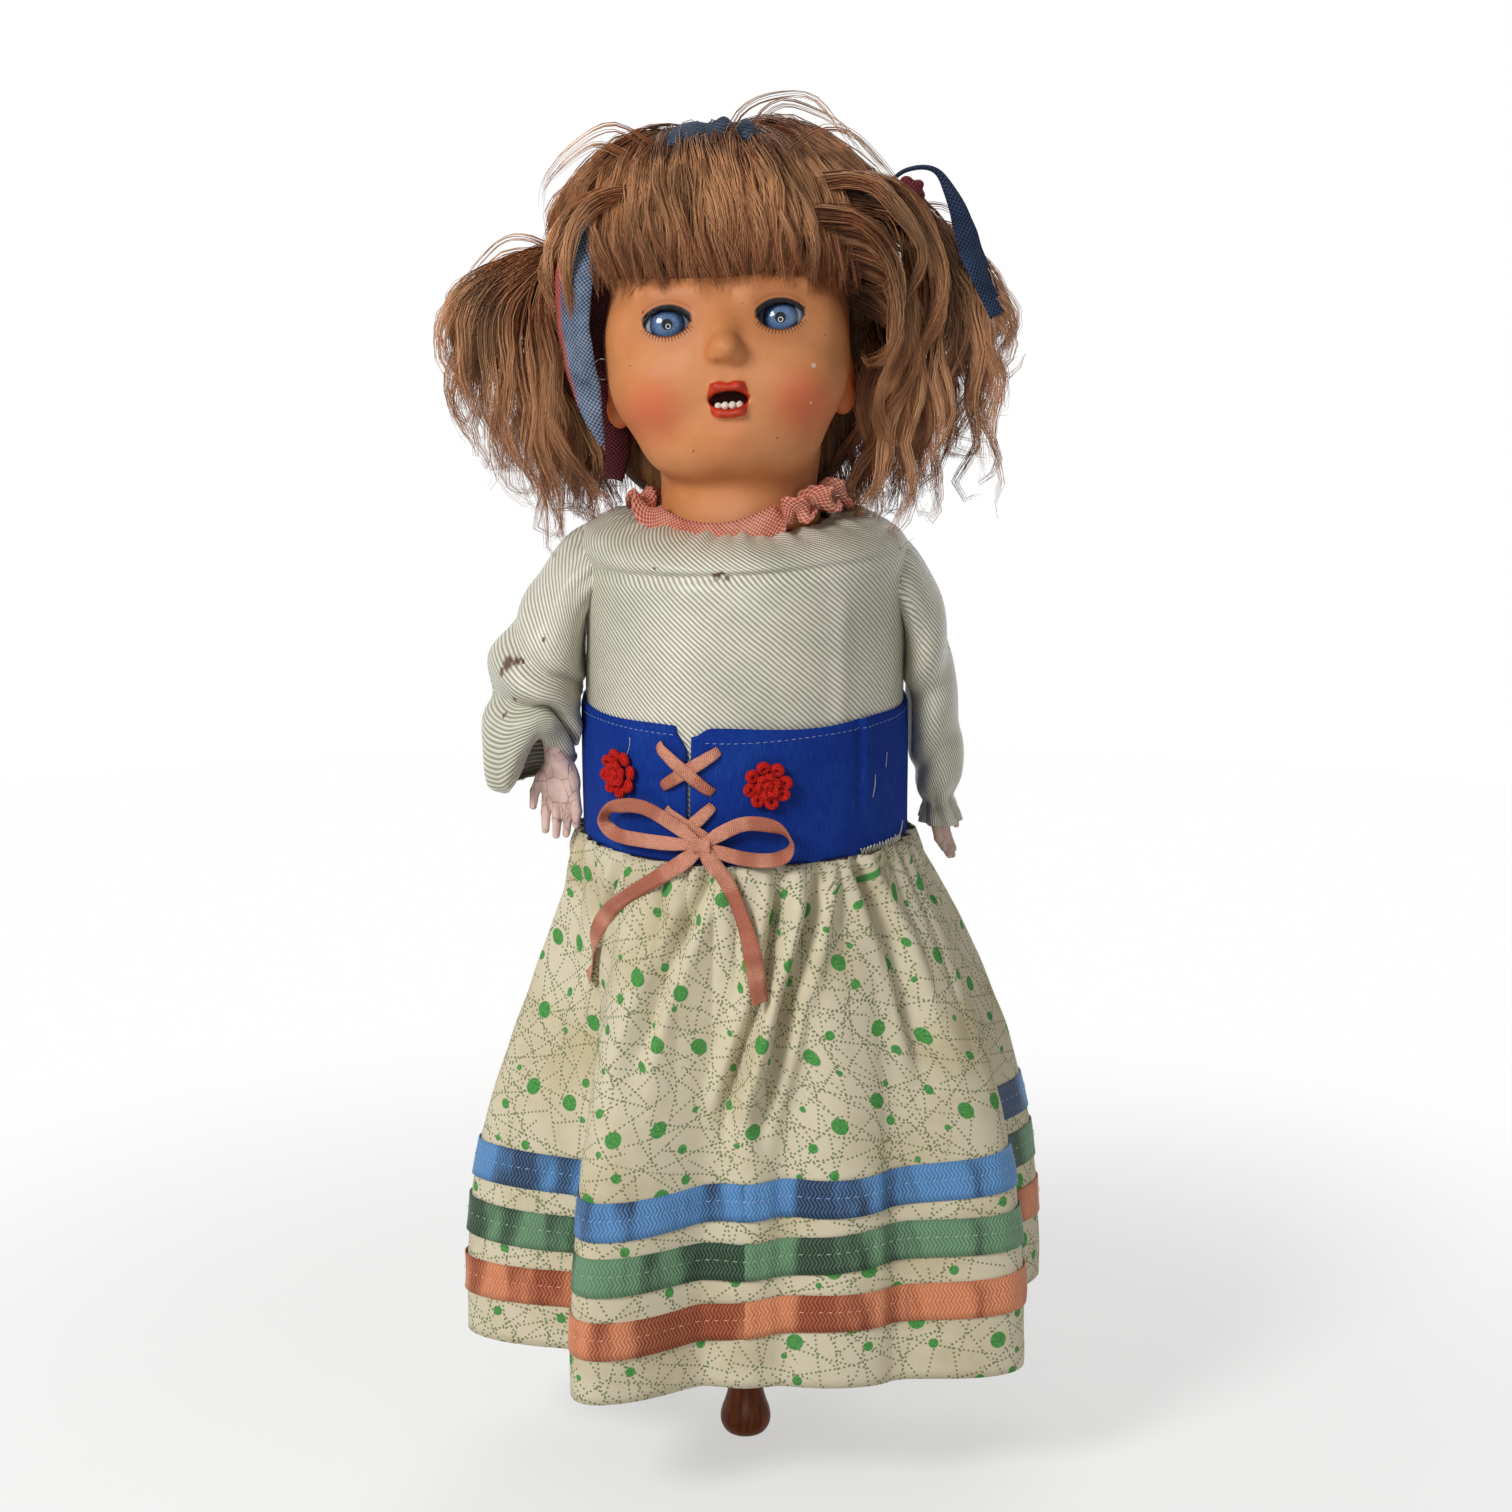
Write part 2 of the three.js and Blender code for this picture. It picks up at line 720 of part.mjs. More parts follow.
// Blouse over drum and dome, open at each arm wire
function blouse() {
  const bottom = beltBottom - blouseTail;
  const inner = drumRadius + gap;
  const outline = [
    [inner, bottom],
    [blouseRadius, bottom],
    ...shoulderCurve(gap + blouseThickness),
    ...shoulderCurve(2 * gap).reverse(),
    [inner, bottom],
  ];
  return cut(turned(outline, drumSides), armHole());
}
piece("blouse", blouse(), "sageTwill");

// Belt: a band open at the lacing, its ends cut to a notch at the top
function belt() {
  const steps = drumSides;
  const opening = THREE.MathUtils.radToDeg(beltOpening / beltOuter);
  const notch = THREE.MathUtils.radToDeg(notchWidth / 2 / beltOuter);
  const ends = [0, notch, 360 - 2 * opening - notch, 360 - 2 * opening];
  const middle = Array.from({ length: steps - 1 }, (_, i) => ((i + 1) * 360) / steps);
  const inside = middle.filter((turn) => turn > ends[1] + 2 && turn < ends[2] - 2);
  const rings = [ends[0], ends[1], ...inside, ends[2], ends[3]].map((turn, i, all) => {
    const angle = lacingAngle + opening + turn;
    const top = i === 0 || i === all.length - 1 ? beltTop - notchDepth : beltTop;
    return [
      around(angle, beltOuter, beltBottom),
      around(angle, beltOuter, top),
      around(angle, beltOuter - beltThickness, top),
      around(angle, beltOuter - beltThickness, beltBottom),
    ];
  });
  return loft(rings);
}
piece("belt", belt(), "royalCotton");

// Lacing: two ribbons crossing, with half width and half height of each cross
const laceRadius = beltOuter + gap + lacingThickness / 2;
function cross(level, halfAngle, halfHeight) {
  const strips = [-1, 1].map((way) => {
    const places = [-1, 0, 1].map((end) =>
      around(lacingAngle + end * halfAngle, laceRadius, level + way * end * halfHeight),
    );
    return ribbon(places, lacingWidth, lacingThickness, 4, radially);
  });
  return joined(...strips);
}
const upperCross = beltBottom + 25.5;
const lowerCross = beltBottom + 12;
piece("lacing_upper", cross(upperCross, 10.4, 5.5), "salmonRibbon");
piece("lacing_lower", cross(lowerCross, 9, 4), "salmonRibbon");

// Flowers: a ring of round petals with a raised middle, one on each side of the lacing
function flower(angle) {
  const outline = new THREE.Shape();
  const petal = flowerRadius * 0.18;
  const steps = flowerPetals * 4;
  for (let i = 0; i < steps; i++) {
    const turn = (i / steps) * 2 * Math.PI;
    const radius = flowerRadius - petal + petal * Math.abs(Math.cos((turn * flowerPetals) / 2));
    outline[i ? "lineTo" : "moveTo"](radius * Math.cos(turn), radius * Math.sin(turn));
  }
  const plate = new THREE.ExtrudeGeometry(outline, { depth: flowerThickness, bevelEnabled: false });
  const heart = ellipsoid({ at: [0, 0, flowerThickness], half: [2.6, 2.6, 1.2] }, 10, 6);
  const place = around(angle, beltOuter + 2 * gap, beltBottom + flowerHeight);
  const turn = THREE.MathUtils.degToRad(angle);
  return joined(plate, heart).rotateX(Math.PI / 2).rotateZ(turn).translate(...place.toArray());
}
piece("flower_left", flower(lacingAngle - flowerSpread), "redYarn");
piece("flower_right", flower(lacingAngle + flowerSpread), "redYarn");

// Skirt: the hem's folds run up and die out towards the gathered waist
function hemRadius(angle) {
  const turn = THREE.MathUtils.euclideanModulo(angle - hemFolds[0][0], 360) + hemFolds[0][0];
  const after = hemFolds.findIndex(([place]) => place > turn);
  const [from, to] = [hemFolds.at(after - 1), after < 0 ? hemFolds[0] : hemFolds[after]];
  const span = THREE.MathUtils.euclideanModulo(to[0] - from[0], 360);
  const share = THREE.MathUtils.smoothstep(turn - from[0], 0, span);
  return THREE.MathUtils.lerp(from[1], to[1], share);
}

function skirtRadius(angle, level) {
  const share = THREE.MathUtils.clamp((skirtTop - level) / skirtDrop, 0, 1);
  const flare = 1 - (1 - share) ** skirtFlare;
  return waistRadius + (hemRadius(angle) - waistRadius) * flare;
}

const skirtSides = 48;
const skirtAngles = Array.from({ length: skirtSides }, (_, i) => (i * 360) / skirtSides - 180);
const hemLevel = skirtTop - skirtDrop;

function skirt() {
  const rows = [0, 0.14, 0.34, 0.62, 1].map((share) => skirtTop - share * skirtDrop);
  const rings = skirtAngles.map((angle) => [
    ...rows.map((level) => around(angle, skirtRadius(angle, level) + skirtThickness / 2, level)),
    ...rows.toReversed().map((level) => around(angle, skirtRadius(angle, level) - skirtThickness / 2, level)),
  ]);
  return loft(rings, true);
}

// Sewn ribbon band that follows the skirt's folds and climbs a little towards the right
function skirtRibbon(height) {
  const rise = skirtThickness / 2 + 2 * gap;
  const rings = skirtAngles.map((angle) => {
    const climb = skirtRibbonTilt * (1 + Math.cos(THREE.MathUtils.degToRad(angle - skirtRibbonHigh)));
    const bottom = hemLevel + height + climb;
    const levels = [bottom, bottom + skirtRibbonWidth];
    const out = levels.map((level) => skirtRadius(angle, level) + rise + skirtRibbonThickness);
    const back = levels.map((level) => skirtRadius(angle, level) + rise);
    return [
      around(angle, out[0], levels[0]),
      around(angle, out[1], levels[1]),
      around(angle, back[1], levels[1]),
      around(angle, back[0], levels[0]),
    ];
  });
  return loft(rings, true);
}

piece("skirt", skirt(), "dottedCotton");
piece("skirt_ribbon_blue", skirtRibbon(skirtRibbonHeights.blue), "blueRibbon");
piece("skirt_ribbon_green", skirtRibbon(skirtRibbonHeights.green), "greenRibbon");
piece("skirt_ribbon_salmon", skirtRibbon(skirtRibbonHeights.salmon), "salmonRibbon");

// Bow: a knot, two loops standing off the belt and two tails that lie on the skirt
const bowRadius = beltOuter + 2 * gap + lacingThickness + 1.6;
function bow() {
  const knotAngle = lacingAngle + 6;
  const knotLevel = beltBottom + 5.8;
  const knotAt = around(knotAngle, bowRadius, knotLevel);
  const knot = ellipsoid({ at: [0, 0, 0], half: [3, 1.6, 2.4] }, 10, 6)
    .rotateZ(THREE.MathUtils.degToRad(knotAngle))
    .translate(...knotAt.toArray());
  const loops = [
    [[-8, 4.5, 0.4], [-20, 11, 2], [-32, 8.5, 3], [-36, 3.5, 2.6], [-24, 0.5, 2], [-8, -0.5, 1]],
    [[6, 4, 0.4], [13, 7.5, 2], [22, 6, 3], [28, 0.5, 2.6], [20, -3, 2], [7, -1.5, 1]],
  ].map((places) => {
    const path = places.map(([turn, rise, lift]) =>
      around(knotAngle + turn, bowRadius + lift, knotLevel + rise),
    );
    const twisted = (point) => radially(point).normalize().add(new THREE.Vector3(0, 0, 0.5));
    const end = knotAt.clone().setZ(knotLevel - 1);
    return ribbon([knotAt, ...path, end], lacingWidth, lacingThickness, 11, twisted);
  });
  const tails = [
    [[-6, -4.5], [-18, -11.5], [-32, -21], [-42, -34], [-48, -43]],
    [[3, -4], [9, -11], [15, -25], [18, -41]],
  ].map((places) => {
    const lie = skirtThickness / 2 + 6 * gap + lacingThickness;
    const path = places.map(([turn, rise]) => {
      const angle = knotAngle + turn;
      const radius = Math.max(bowRadius - 0.6, skirtRadius(angle, knotLevel + rise) + lie);
      return around(angle, radius, knotLevel + rise);
    });
    return ribbon([knotAt, ...path], lacingWidth, lacingThickness, 8, radially);
  });
  return joined(knot, ...loops, ...tails);
}
piece("bow", bow(), "salmonRibbon");

// Head: a hollow composition shell on a straight neck, cut open for eyes, mouth and crown
const eyePlaces = [-1, 1].map((side) => [(side * eyeSpacing) / 2, eyeDepth, eyeHeight]);
const neckBottom = shoulderTop + gap;

function ovalCut(width, height, x, z, from, to) {
  const oval = new THREE.Shape().absellipse(0, 0, width / 2, height / 2, 0, 2 * Math.PI);
  const bar = new THREE.ExtrudeGeometry(oval, { depth: to - from, bevelEnabled: false, curveSegments: 8 });
  return bar.rotateX(Math.PI / 2).translate(x, to, z);
}

const headFacets = [22, 14];
function wholeHead() {
  const outside = sculpted(headForms, headBlend, 0, ...headFacets);
  const inside = sculpted(headForms.slice(0, 3), headBlend, -headWall, 14, 9);
  const neck = disc(neckRadius, neckBottom, head.position.z - 18, 20).translate(neckOffset, 0, 0);
  const bore = disc(neckRadius - neckWall, neckBottom - 5, plugTop + 6, 20).translate(neckOffset, 0, 0);
  const ears = [-1, 1].map((side) => ellipsoid(earForm, 8, 5).translate((side - 1) * earForm.at[0], 0, 0));
  const bosses = [-1, 1].map((side) => {
    const from = eyeSpacing / 2 + eyeRadius + gap;
    const span = [side * from, side * (from + eyeBossLength)].sort((a, b) => a - b);
    return barAlongX(eyeBossRadius, ...span, 10).translate(0, eyeDepth, eyeHeight);
  });
  const full = joined(outside, neck.applyMatrix4(intoHead), ...ears);
  const hollow = cut(full, inside, bore.applyMatrix4(intoHead));
  const braced = joined(hollow, ...bosses.map((boss) => common(boss, outside)));
  const sockets = eyePlaces.map((at) => ellipsoid({ at, half: Array(3).fill(eyeRadius + 2 * gap) }, 12, 8));
  const lids = eyePlaces.map(([x, , z]) => ovalCut(eyeOpeningWidth, eyeOpeningHeight, x, z, -50, eyeDepth));
  const mouth = ovalCut(mouthWidth, mouthHeight, 0, mouthDepth, -50, eyeDepth);
  const reach = eyeSpacing / 2 + eyeRadius + gap + eyeBossLength / 2;
  const axleHole = barAlongX(eyeWireRadius + gap, -reach, reach, 10).translate(0, eyeDepth, eyeHeight);
  return cut(braced, ...sockets, ...lids, mouth, axleHole);
}

const headWhole = wholeHead();
const beyond = 2 * Math.max(...headForms[0].half);
const aboveCrown = (level) => block([-beyond, -beyond, level], [beyond, beyond, level + beyond]);
piece("head_shell", cut(headWhole, aboveCrown(crownCut)), "composition", head);
piece("crown_pate", common(headWhole, aboveCrown(crownCut + gap)), "card", head);

// Mouth: a dark plate behind the lips with four teeth on it
const plateWidth = mouthWidth + 5;
const plateFront = faceDepth(plateWidth / 2, mouthDepth) + headWall + mouthPlateRoom;
const mouthPlate = ovalCut(plateWidth, mouthHeight + 4, 0, mouthDepth, plateFront, plateFront + 1);
piece("mouth_plate", mouthPlate, "mouthCloth", head);
function teeth() {
  const low = mouthDepth - mouthHeight / 2 + 1.1;
  const outline = new THREE.Shape();
  outline.moveTo(-2 * toothWidth, low);
  outline.lineTo(2 * toothWidth, low);
  for (let i = 3; i >= 0; i--) {
    const right = (i - 1) * toothWidth;
    outline.lineTo(right, low + toothHeight - 0.5);
    const left = right - toothWidth;
    const gum = low + toothHeight - 0.5;
    outline.quadraticCurveTo((left + right) / 2, gum + 1, left, gum);
  }
  const row = new THREE.ExtrudeGeometry(outline, { depth: 1.6, bevelEnabled: false, curveSegments: 4 });
  return row.rotateX(Math.PI / 2).translate(0, plateFront - gap, 0);
}
piece("teeth", teeth(), "enamel", head);

// Sleep eyes: two balls on a wire axle, with a lead weight on an arm behind and below it
const axle = new THREE.Group();
axle.position.set(0, eyeDepth, eyeHeight);
head.add(axle);
const axleReach = eyeSpacing / 2 + eyeRadius + eyeBossLength / 2 - gap;
const eyeBore = barAlongX(eyeWireRadius + gap, -axleReach, axleReach, 8);
eyePlaces.forEach(([x], i) => {
  const ball = ellipsoid({ at: [x, 0, 0], half: Array(3).fill(eyeRadius) }, 14, 8);
  piece(["eyeball_left", "eyeball_right"][i], cut(ball, eyeBore), "eyeGlass", axle);
});
const weightArm = wire(
  [[0, 0, 0], [0, eyeWeightBack * 0.4, -eyeWeightDrop * 0.45], [0, eyeWeightBack, -eyeWeightDrop]],
  eyeWireRadius,
  6,
  4,
);
const rocker = joined(barAlongX(eyeWireRadius, -axleReach, axleReach, 8), weightArm);
const weightAt = [0, eyeWeightBack, -eyeWeightDrop];
const weightBar = barAlongX(eyeWeightRadius, -eyeWeightLength / 2, eyeWeightLength / 2, 14);
const weightBlank = weightBar.translate(...weightAt);
const weightSlot = ellipsoid({ at: weightAt, half: [1.4, 3, 3] }, 8, 6);
const weightMouth = wire(
  [[0, eyeWeightBack * 0.2, -eyeWeightDrop * 0.25], [0, eyeWeightBack * 0.4, -eyeWeightDrop * 0.45], weightAt],
  eyeWireRadius + gap,
  6,
  4,
);
piece("eye_rocker", rocker, "steel", axle);
piece("eye_weight", cut(weightBlank, weightMouth, weightSlot), "lead", axle);

// Wig: a cap of hair with fringe and nape, open round the face, and a pigtail on each side
const hairBlend = 8;
const hairRoom = sculpted(headForms.slice(0, 2), headBlend, 2 * gap, ...headFacets);
const hairSkin = (offset) => sculpted(hairForms, hairBlend, offset, 18, 11);
const ruffleTop = shoulderTop + gap + blouseThickness + ruffleRise + ruffleThickness;
const ruffleRadius = neckRadius + 2 * gap + ruffleWidth;
const neckRooms = [
  disc(neckRadius + 2 * gap, neckBottom - 20, head.position.z, 20),
  disc(ruffleRadius + 2 * gap, neckBottom - 20, ruffleTop + 2 * gap, 20),
].map((room) => room.translate(neckOffset, 0, 0).applyMatrix4(intoHead));
const nape = block([-90, -90, 0], [90, 90, shoulderTop + napeClear]).applyMatrix4(intoHead);
const faceWindow = block([-fringeHalfWidth, -70, -80], [fringeHalfWidth, 0, fringeHeight]);
const earWindow = block([-70, -70, -80], [70, earGapDepth, earGapHeight]);
const earRoom = [-1, 1].map((side) => {
  const { at, half } = earForm;
  return ellipsoid({ at: [side * at[0], at[1], at[2]], half: half.map((v) => v + 0.6) }, 10, 6);
});
const wig = cut(hairSkin(0), hairRoom, ...neckRooms, nape, faceWindow, earWindow, ...earRoom);
piece("wig", wig, "hair", head);

// Tuft of hair along a path of [x, y, z, half width] from the head's middle, flat from front to back
function tuft(stations, spare = 0) {
  const path = new THREE.CatmullRomCurve3(stations.map(([x, y, z]) => new THREE.Vector3(x, y, z)));
  const spans = stations.length - 1;
  const steps = 2 * spans;
  const sides = 10;
  const rings = [];
  for (let i = 0; i <= steps; i++) {
    const at = path.getPoint(i / steps);
    const tangent = path.getTangent(i / steps);
    const across = tangent.clone().cross(new THREE.Vector3(0, 1, 0)).normalize();
    const deep = tangent.clone().cross(across).normalize();
    const span = Math.min(Math.floor((i / steps) * spans), spans - 1);
    const half = THREE.MathUtils.lerp(stations[span][3], stations[span + 1][3], (i / steps) * spans - span);
    const section = [];
    for (let j = 0; j < sides; j++) {
      const turn = (j / sides) * 2 * Math.PI;
      const lock = half * (1 + 0.06 * Math.cos(3 * turn)) + spare;
      const corner = at.clone().addScaledVector(across, lock * Math.cos(turn));
      section.push(corner.addScaledVector(deep, 0.75 * lock * Math.sin(turn)));
    }
    rings.push(section);
  }
  return loft(rings).applyMatrix4(uprightInHead);
}

const pigtails = {
  pigtail_left: [
    [-33, 6, 29, 9], [-50, 4, 24, 13], [-56, 2, 7, 15], [-56, 2, -9, 15], [-50, 3, -25, 12.5], [-45, 4, -38, 8],
    [-44, 4, -46, 3],
  ],
  pigtail_right: [
    [37, 6, 31, 9], [51, 6, 23, 13], [57, 6, 5, 15.5], [58, 6, -11, 14], [59, 6, -26, 11], [58, 6, -41, 4],
  ],
};
const hairShadow = hairSkin(2 * gap);
for (const [name, stations] of Object.entries(pigtails)) {
  piece(name, cut(tuft(stations), hairShadow), "hair", head);
}

// Hair ribbons, placed from the head's middle; each starts in the hair and is cut off where it enters it
function hairRibbon(places, width, facing, ...rooms) {
  const strip = ribbon(places.map(vector), width, hairRibbonThickness, 3 * places.length, () => vector(facing));
  return cut(strip.applyMatrix4(uprightInHead), hairShadow, ...rooms);
}
const towardsFront = [0, -1, 0];
const knotForm = { at: [47, -4, 36], half: [5.5, 4, 5] };
const knotRoom = { at: knotForm.at, half: knotForm.half.map((v) => v + 1.5 * gap) };
const rightTuft = tuft(pigtails.pigtail_right, 2 * gap);
const rightKnot = cut(ellipsoid(knotForm, 12, 8).applyMatrix4(uprightInHead), hairShadow, rightTuft);
const rightRibbon = hairRibbon(
  [[47, -5, 36], [52, -8, 44], [59, -9, 42], [64, -10, 25], [73, -11, 7]],
  7,
  [0.2, -1, 0],
  ellipsoid(knotRoom, 12, 8).applyMatrix4(uprightInHead),
  rightTuft,
);
const topRibbon = hairRibbon(
  [[-24, 4, 42], [-13, 4, 52.5], [-2, 4, 54.2], [8, 4, 52.8], [18, 4, 43]],
  9,
  [0, 0, 1],
);
const leftRibbon = hairRibbon(
  [[-31, -3, 35], [-40, -9, 25], [-44, -10, 9], [-42, -10, -10], [-37, -10, -28]],
  10,
  towardsFront,
);
const leftUnder = hairRibbon([[-31, -1, 27], [-39, -6, 12], [-40, -7, -10], [-33, -7, -36]], 8, towardsFront);
piece("ribbon_right_knot", rightKnot, "maroonRibbon", head);
piece("ribbon_right_blue", rightRibbon, "blueRibbon", head);
piece("ribbon_top", topRibbon, "blueRibbon", head);
piece("ribbon_left_blue", leftRibbon, "blueRibbon", head);
piece("ribbon_left_maroon", leftUnder, "maroonRibbon", head);

// Ruffle: a gathered ribbon standing out round the neck
function ruffle() {
  const steps = ruffleWaves * 3;
  const level = ruffleTop - ruffleThickness;
  const rings = [];
  for (let i = 0; i < steps; i++) {
    const angle = (i * 360) / steps;
    const wave = ruffleSwing * Math.sin((i / steps) * ruffleWaves * 2 * Math.PI);
    const place = (radius, height) => around(angle, radius, height).add(new THREE.Vector3(neckOffset, 0, 0));
    rings.push([
      place(ruffleRadius - ruffleWidth, level),
      place(ruffleRadius, level + wave - ruffleFall),
      place(ruffleRadius, level + wave - ruffleFall + ruffleThickness),
      place(ruffleRadius - ruffleWidth, level + ruffleThickness),
    ]);
  }
  return loft(rings, true);
}
piece("neck_ruffle", ruffle(), "salmonRibbon");

// Arms: a wire through the drum wall, a hand on its end and a sleeve round both
// A sleeve's stations are [offset outwards, y, drop below the shoulder, half width, half depth, lean],
// where the lean lifts the side next to the drum and lowers the outer one.
const sleeves = {
  left: [
    [3.4, 0, -15, 2.8, 7, 0], [5.4, -1, -5, 4.9, 12, 0], [10, -3, 9, 9.4, 15.5, 1], [13, -5, 24, 12.4, 16, 4],
    [13, -7, 36, 12.4, 15, 8], [13, -7.5, 43.5, 11.4, 12, 9.5],
  ],
  right: [
    [2.2, 3, -8, 1.7, 7, 0], [3.2, 4, 0, 2.7, 10, 0], [4.4, 6, 12, 3.9, 13, 0], [6, 7, 26, 5.5, 14.5, 0],
    [7.2, 8, 40, 6.6, 13, 0], [7, 8, 50, 6.3, 11.5, 0], [6.9, 8, 57, 6, 10.5, 0], [7.6, 8, 62, 7, 11, 0],
  ],
};
const wrists = {
  left: { out: 6.6, y: -9.5, drop: 38.5, elbow: 5, tilt: [8, -4, -20] },
  right: { out: 6.9, y: 8, drop: 51, elbow: 3.2, tilt: [-4, -7, 70] },
};
const forearm = [[0, -7], [3.1, -7], [3.5, 0], [3.2, 3], [0, 3]];
const palm = { at: [0, 0, -9.5], half: [5.2, 2.6, 6.5] };
const fingerRadius = 1.25;
const fingers = [
  [[-3.7, 0, -13], [-4.4, -0.4, -18], [-4.3, -1.8, -22]],
  [[-1.3, 0, -14], [-1.5, -0.6, -19.5], [-1.4, -2.2, -23]],
  [[1.2, 0, -14], [1.4, -0.6, -19], [1.3, -2.2, -22.5]],
  [[3.6, 0, -13], [4.1, -0.5, -17], [4, -1.8, -20]],
  [[-4.4, -0.8, -8], [-6.2, -1.6, -12], [-6.6, -2.6, -15.5]],
];

function wristFrame(side, { out, y, drop, tilt }) {
  const turn = new THREE.Euler(...tilt.map(THREE.MathUtils.degToRad), "YXZ");
  const place = new THREE.Vector3(side * (armClear + out), y, shoulderLevel - drop);
  return new THREE.Matrix4().makeRotationFromEuler(turn).setPosition(place);
}

function hand(side, wrist) {
  const digits = fingers.map((places) => {
    const handed = places.map(([x, y, z]) => [-side * x, y, z]);
    return wire(handed, fingerRadius, 4, 2);
  });
  const whole = joined(turned(forearm, 8), ellipsoid(palm, 8, 6), ...digits);
  return cut(whole, disc(armWireRadius + gap, -2, 4, 8)).applyMatrix4(wristFrame(side, wrist));
}

function armWire(side, wrist) {
  const start = drumInner - 1.5;
  const frame = wristFrame(side, wrist);
  const inHand = [9, 4, -1].map((level) => new THREE.Vector3(0, 0, level).applyMatrix4(frame).toArray());
  const bend = [side * (armClear + wrist.elbow), 0, shoulderLevel - 4];
  const straight = [start, drumRadius, armClear].map((x) => [side * x, 0, shoulderLevel]);
  const ends = [side * (start - 1), side * (start + 0.6)].sort((a, b) => a - b);
  const stop = barAlongX(armWireHead, ...ends, 10).translate(0, 0, shoulderLevel);
  return joined(wire([...straight, bend, ...inHand], armWireRadius, 6, 16), stop);
}

// The sleeve is closed at the top, open at the cuff, and reaches the blouse with a round neck at the armhole
function sleeve(side, stations) {
  const sides = 12;
  const section = (inset) => ([out, y, drop, halfWidth, halfDepth, lean]) =>
    Array.from({ length: sides }, (_, j) => {
      const turn = (j / sides) * 2 * Math.PI;
      return new THREE.Vector3(
        side * (armClear + out + (halfWidth - inset) * Math.cos(turn)),
        y + (halfDepth - inset) * Math.sin(turn),
        shoulderLevel - drop - lean * Math.cos(turn),
      );
    });
  const lowered = ([out, y, drop, ...rest], by) => [out, y, drop + by, ...rest];
  const below = lowered(stations.at(-1), 2 * sleeveThickness);
  const room = [lowered(stations[0], sleeveThickness), ...stations.slice(1), below];
  const along = (from) => [side * from, side * (armClear + wrists.right.elbow)].sort((a, b) => a - b);
  const neck = barAlongX(armholeRadius, ...along(blouseRadius + gap), 12);
  const bore = barAlongX(armholeRadius - sleeveThickness, ...along(blouseRadius - gap), 12);
  const whole = joined(loft(stations.map(section(0))), neck.translate(0, 0, shoulderLevel));
  return cut(whole, loft(room.map(section(sleeveThickness))), bore.translate(0, 0, shoulderLevel));
}

for (const [name, side] of [["left", -1], ["right", 1]]) {
  piece("arm_wire_" + name, armWire(side, wrists[name]), "steel");
  piece("hand_" + name, hand(side, wrists[name]), "handPaint");
  piece("sleeve_" + name, sleeve(side, sleeves[name]), "sageTwill");
}

export default doll;
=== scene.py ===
import math

import bmesh
import bpy
import numpy as np
from mathutils import Matrix, Vector


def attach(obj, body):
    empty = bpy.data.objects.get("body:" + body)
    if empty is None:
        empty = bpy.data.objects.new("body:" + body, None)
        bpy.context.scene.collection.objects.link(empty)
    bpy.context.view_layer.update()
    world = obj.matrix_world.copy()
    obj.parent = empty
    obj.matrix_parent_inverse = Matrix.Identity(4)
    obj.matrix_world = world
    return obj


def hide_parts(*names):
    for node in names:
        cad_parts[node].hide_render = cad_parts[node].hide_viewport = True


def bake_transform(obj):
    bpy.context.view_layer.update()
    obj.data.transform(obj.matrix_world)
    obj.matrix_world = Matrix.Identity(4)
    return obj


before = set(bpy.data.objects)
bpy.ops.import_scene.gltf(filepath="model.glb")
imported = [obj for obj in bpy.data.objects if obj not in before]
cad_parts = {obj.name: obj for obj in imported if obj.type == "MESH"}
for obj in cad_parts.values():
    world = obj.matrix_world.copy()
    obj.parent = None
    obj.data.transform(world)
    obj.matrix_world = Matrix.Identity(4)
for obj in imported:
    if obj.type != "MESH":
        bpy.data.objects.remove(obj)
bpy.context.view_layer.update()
mm = 0.001
print("frame loaded:", len(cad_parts), "nodes")


# helpers for shapes; all shapes are worked out in millimetres


def rotated(points, axis, degrees):
    return points @ np.array(Matrix.Rotation(math.radians(degrees), 3, axis)).T


def unit(v):
    v = np.asarray(v, float)
    return v / np.maximum(np.linalg.norm(v, axis=-1, keepdims=True), 1e-9)


def fullTurn(count):
    return np.linspace(0, math.tau, count, endpoint=False)


def runLength(points):
    # length along a path up to each of its points; a grid gives the mean over its columns
    steps = np.linalg.norm(np.diff(points, axis=0), axis=-1)
    if steps.ndim > 1:
        steps = steps.mean(1)
    return np.concatenate([[0], np.cumsum(steps)])


def paired(a, b):
    # two values at every point, as a uv map takes them
    return np.stack(np.broadcast_arrays(a, b), -1)


def smooth(x, low, high):
    t = np.clip((np.asarray(x, float) - low) / (high - low), 0, 1)
    return t * t * (3 - 2 * t)


def along(values, t):
    # smooth curve through evenly spaced values, read at t from 0 to 1
    v = np.asarray(values, float)
    n = len(v) - 1
    x = np.clip(np.asarray(t, float), 0, 1) * n
    i = np.clip(x.astype(int), 0, n - 1)
    f = x - i
    if v.ndim > 1:
        f = f[..., None]
    p0, p1, p2, p3 = (v[np.clip(i + k, 0, n)] for k in (-1, 0, 1, 2))
    return p1 + 0.5 * f * (p2 - p0 + f * (2 * p0 - 5 * p1 + 4 * p2 - p3 + f * (3 * (p1 - p2) + p3 - p0)))


def hump(x, at, width):
    # bell-shaped rise from 0 to 1
    return np.exp(-((x - at) / width) ** 2)


def wrapped(angle):
    # degrees brought between -180 and 180
    return (angle + 180) % 360 - 180


def evened(values, reach):
    # moving mean over the points within reach
    width = 2 * reach + 1
    return np.convolve(np.pad(values, reach, mode="edge"), np.ones(width) / width, "valid")


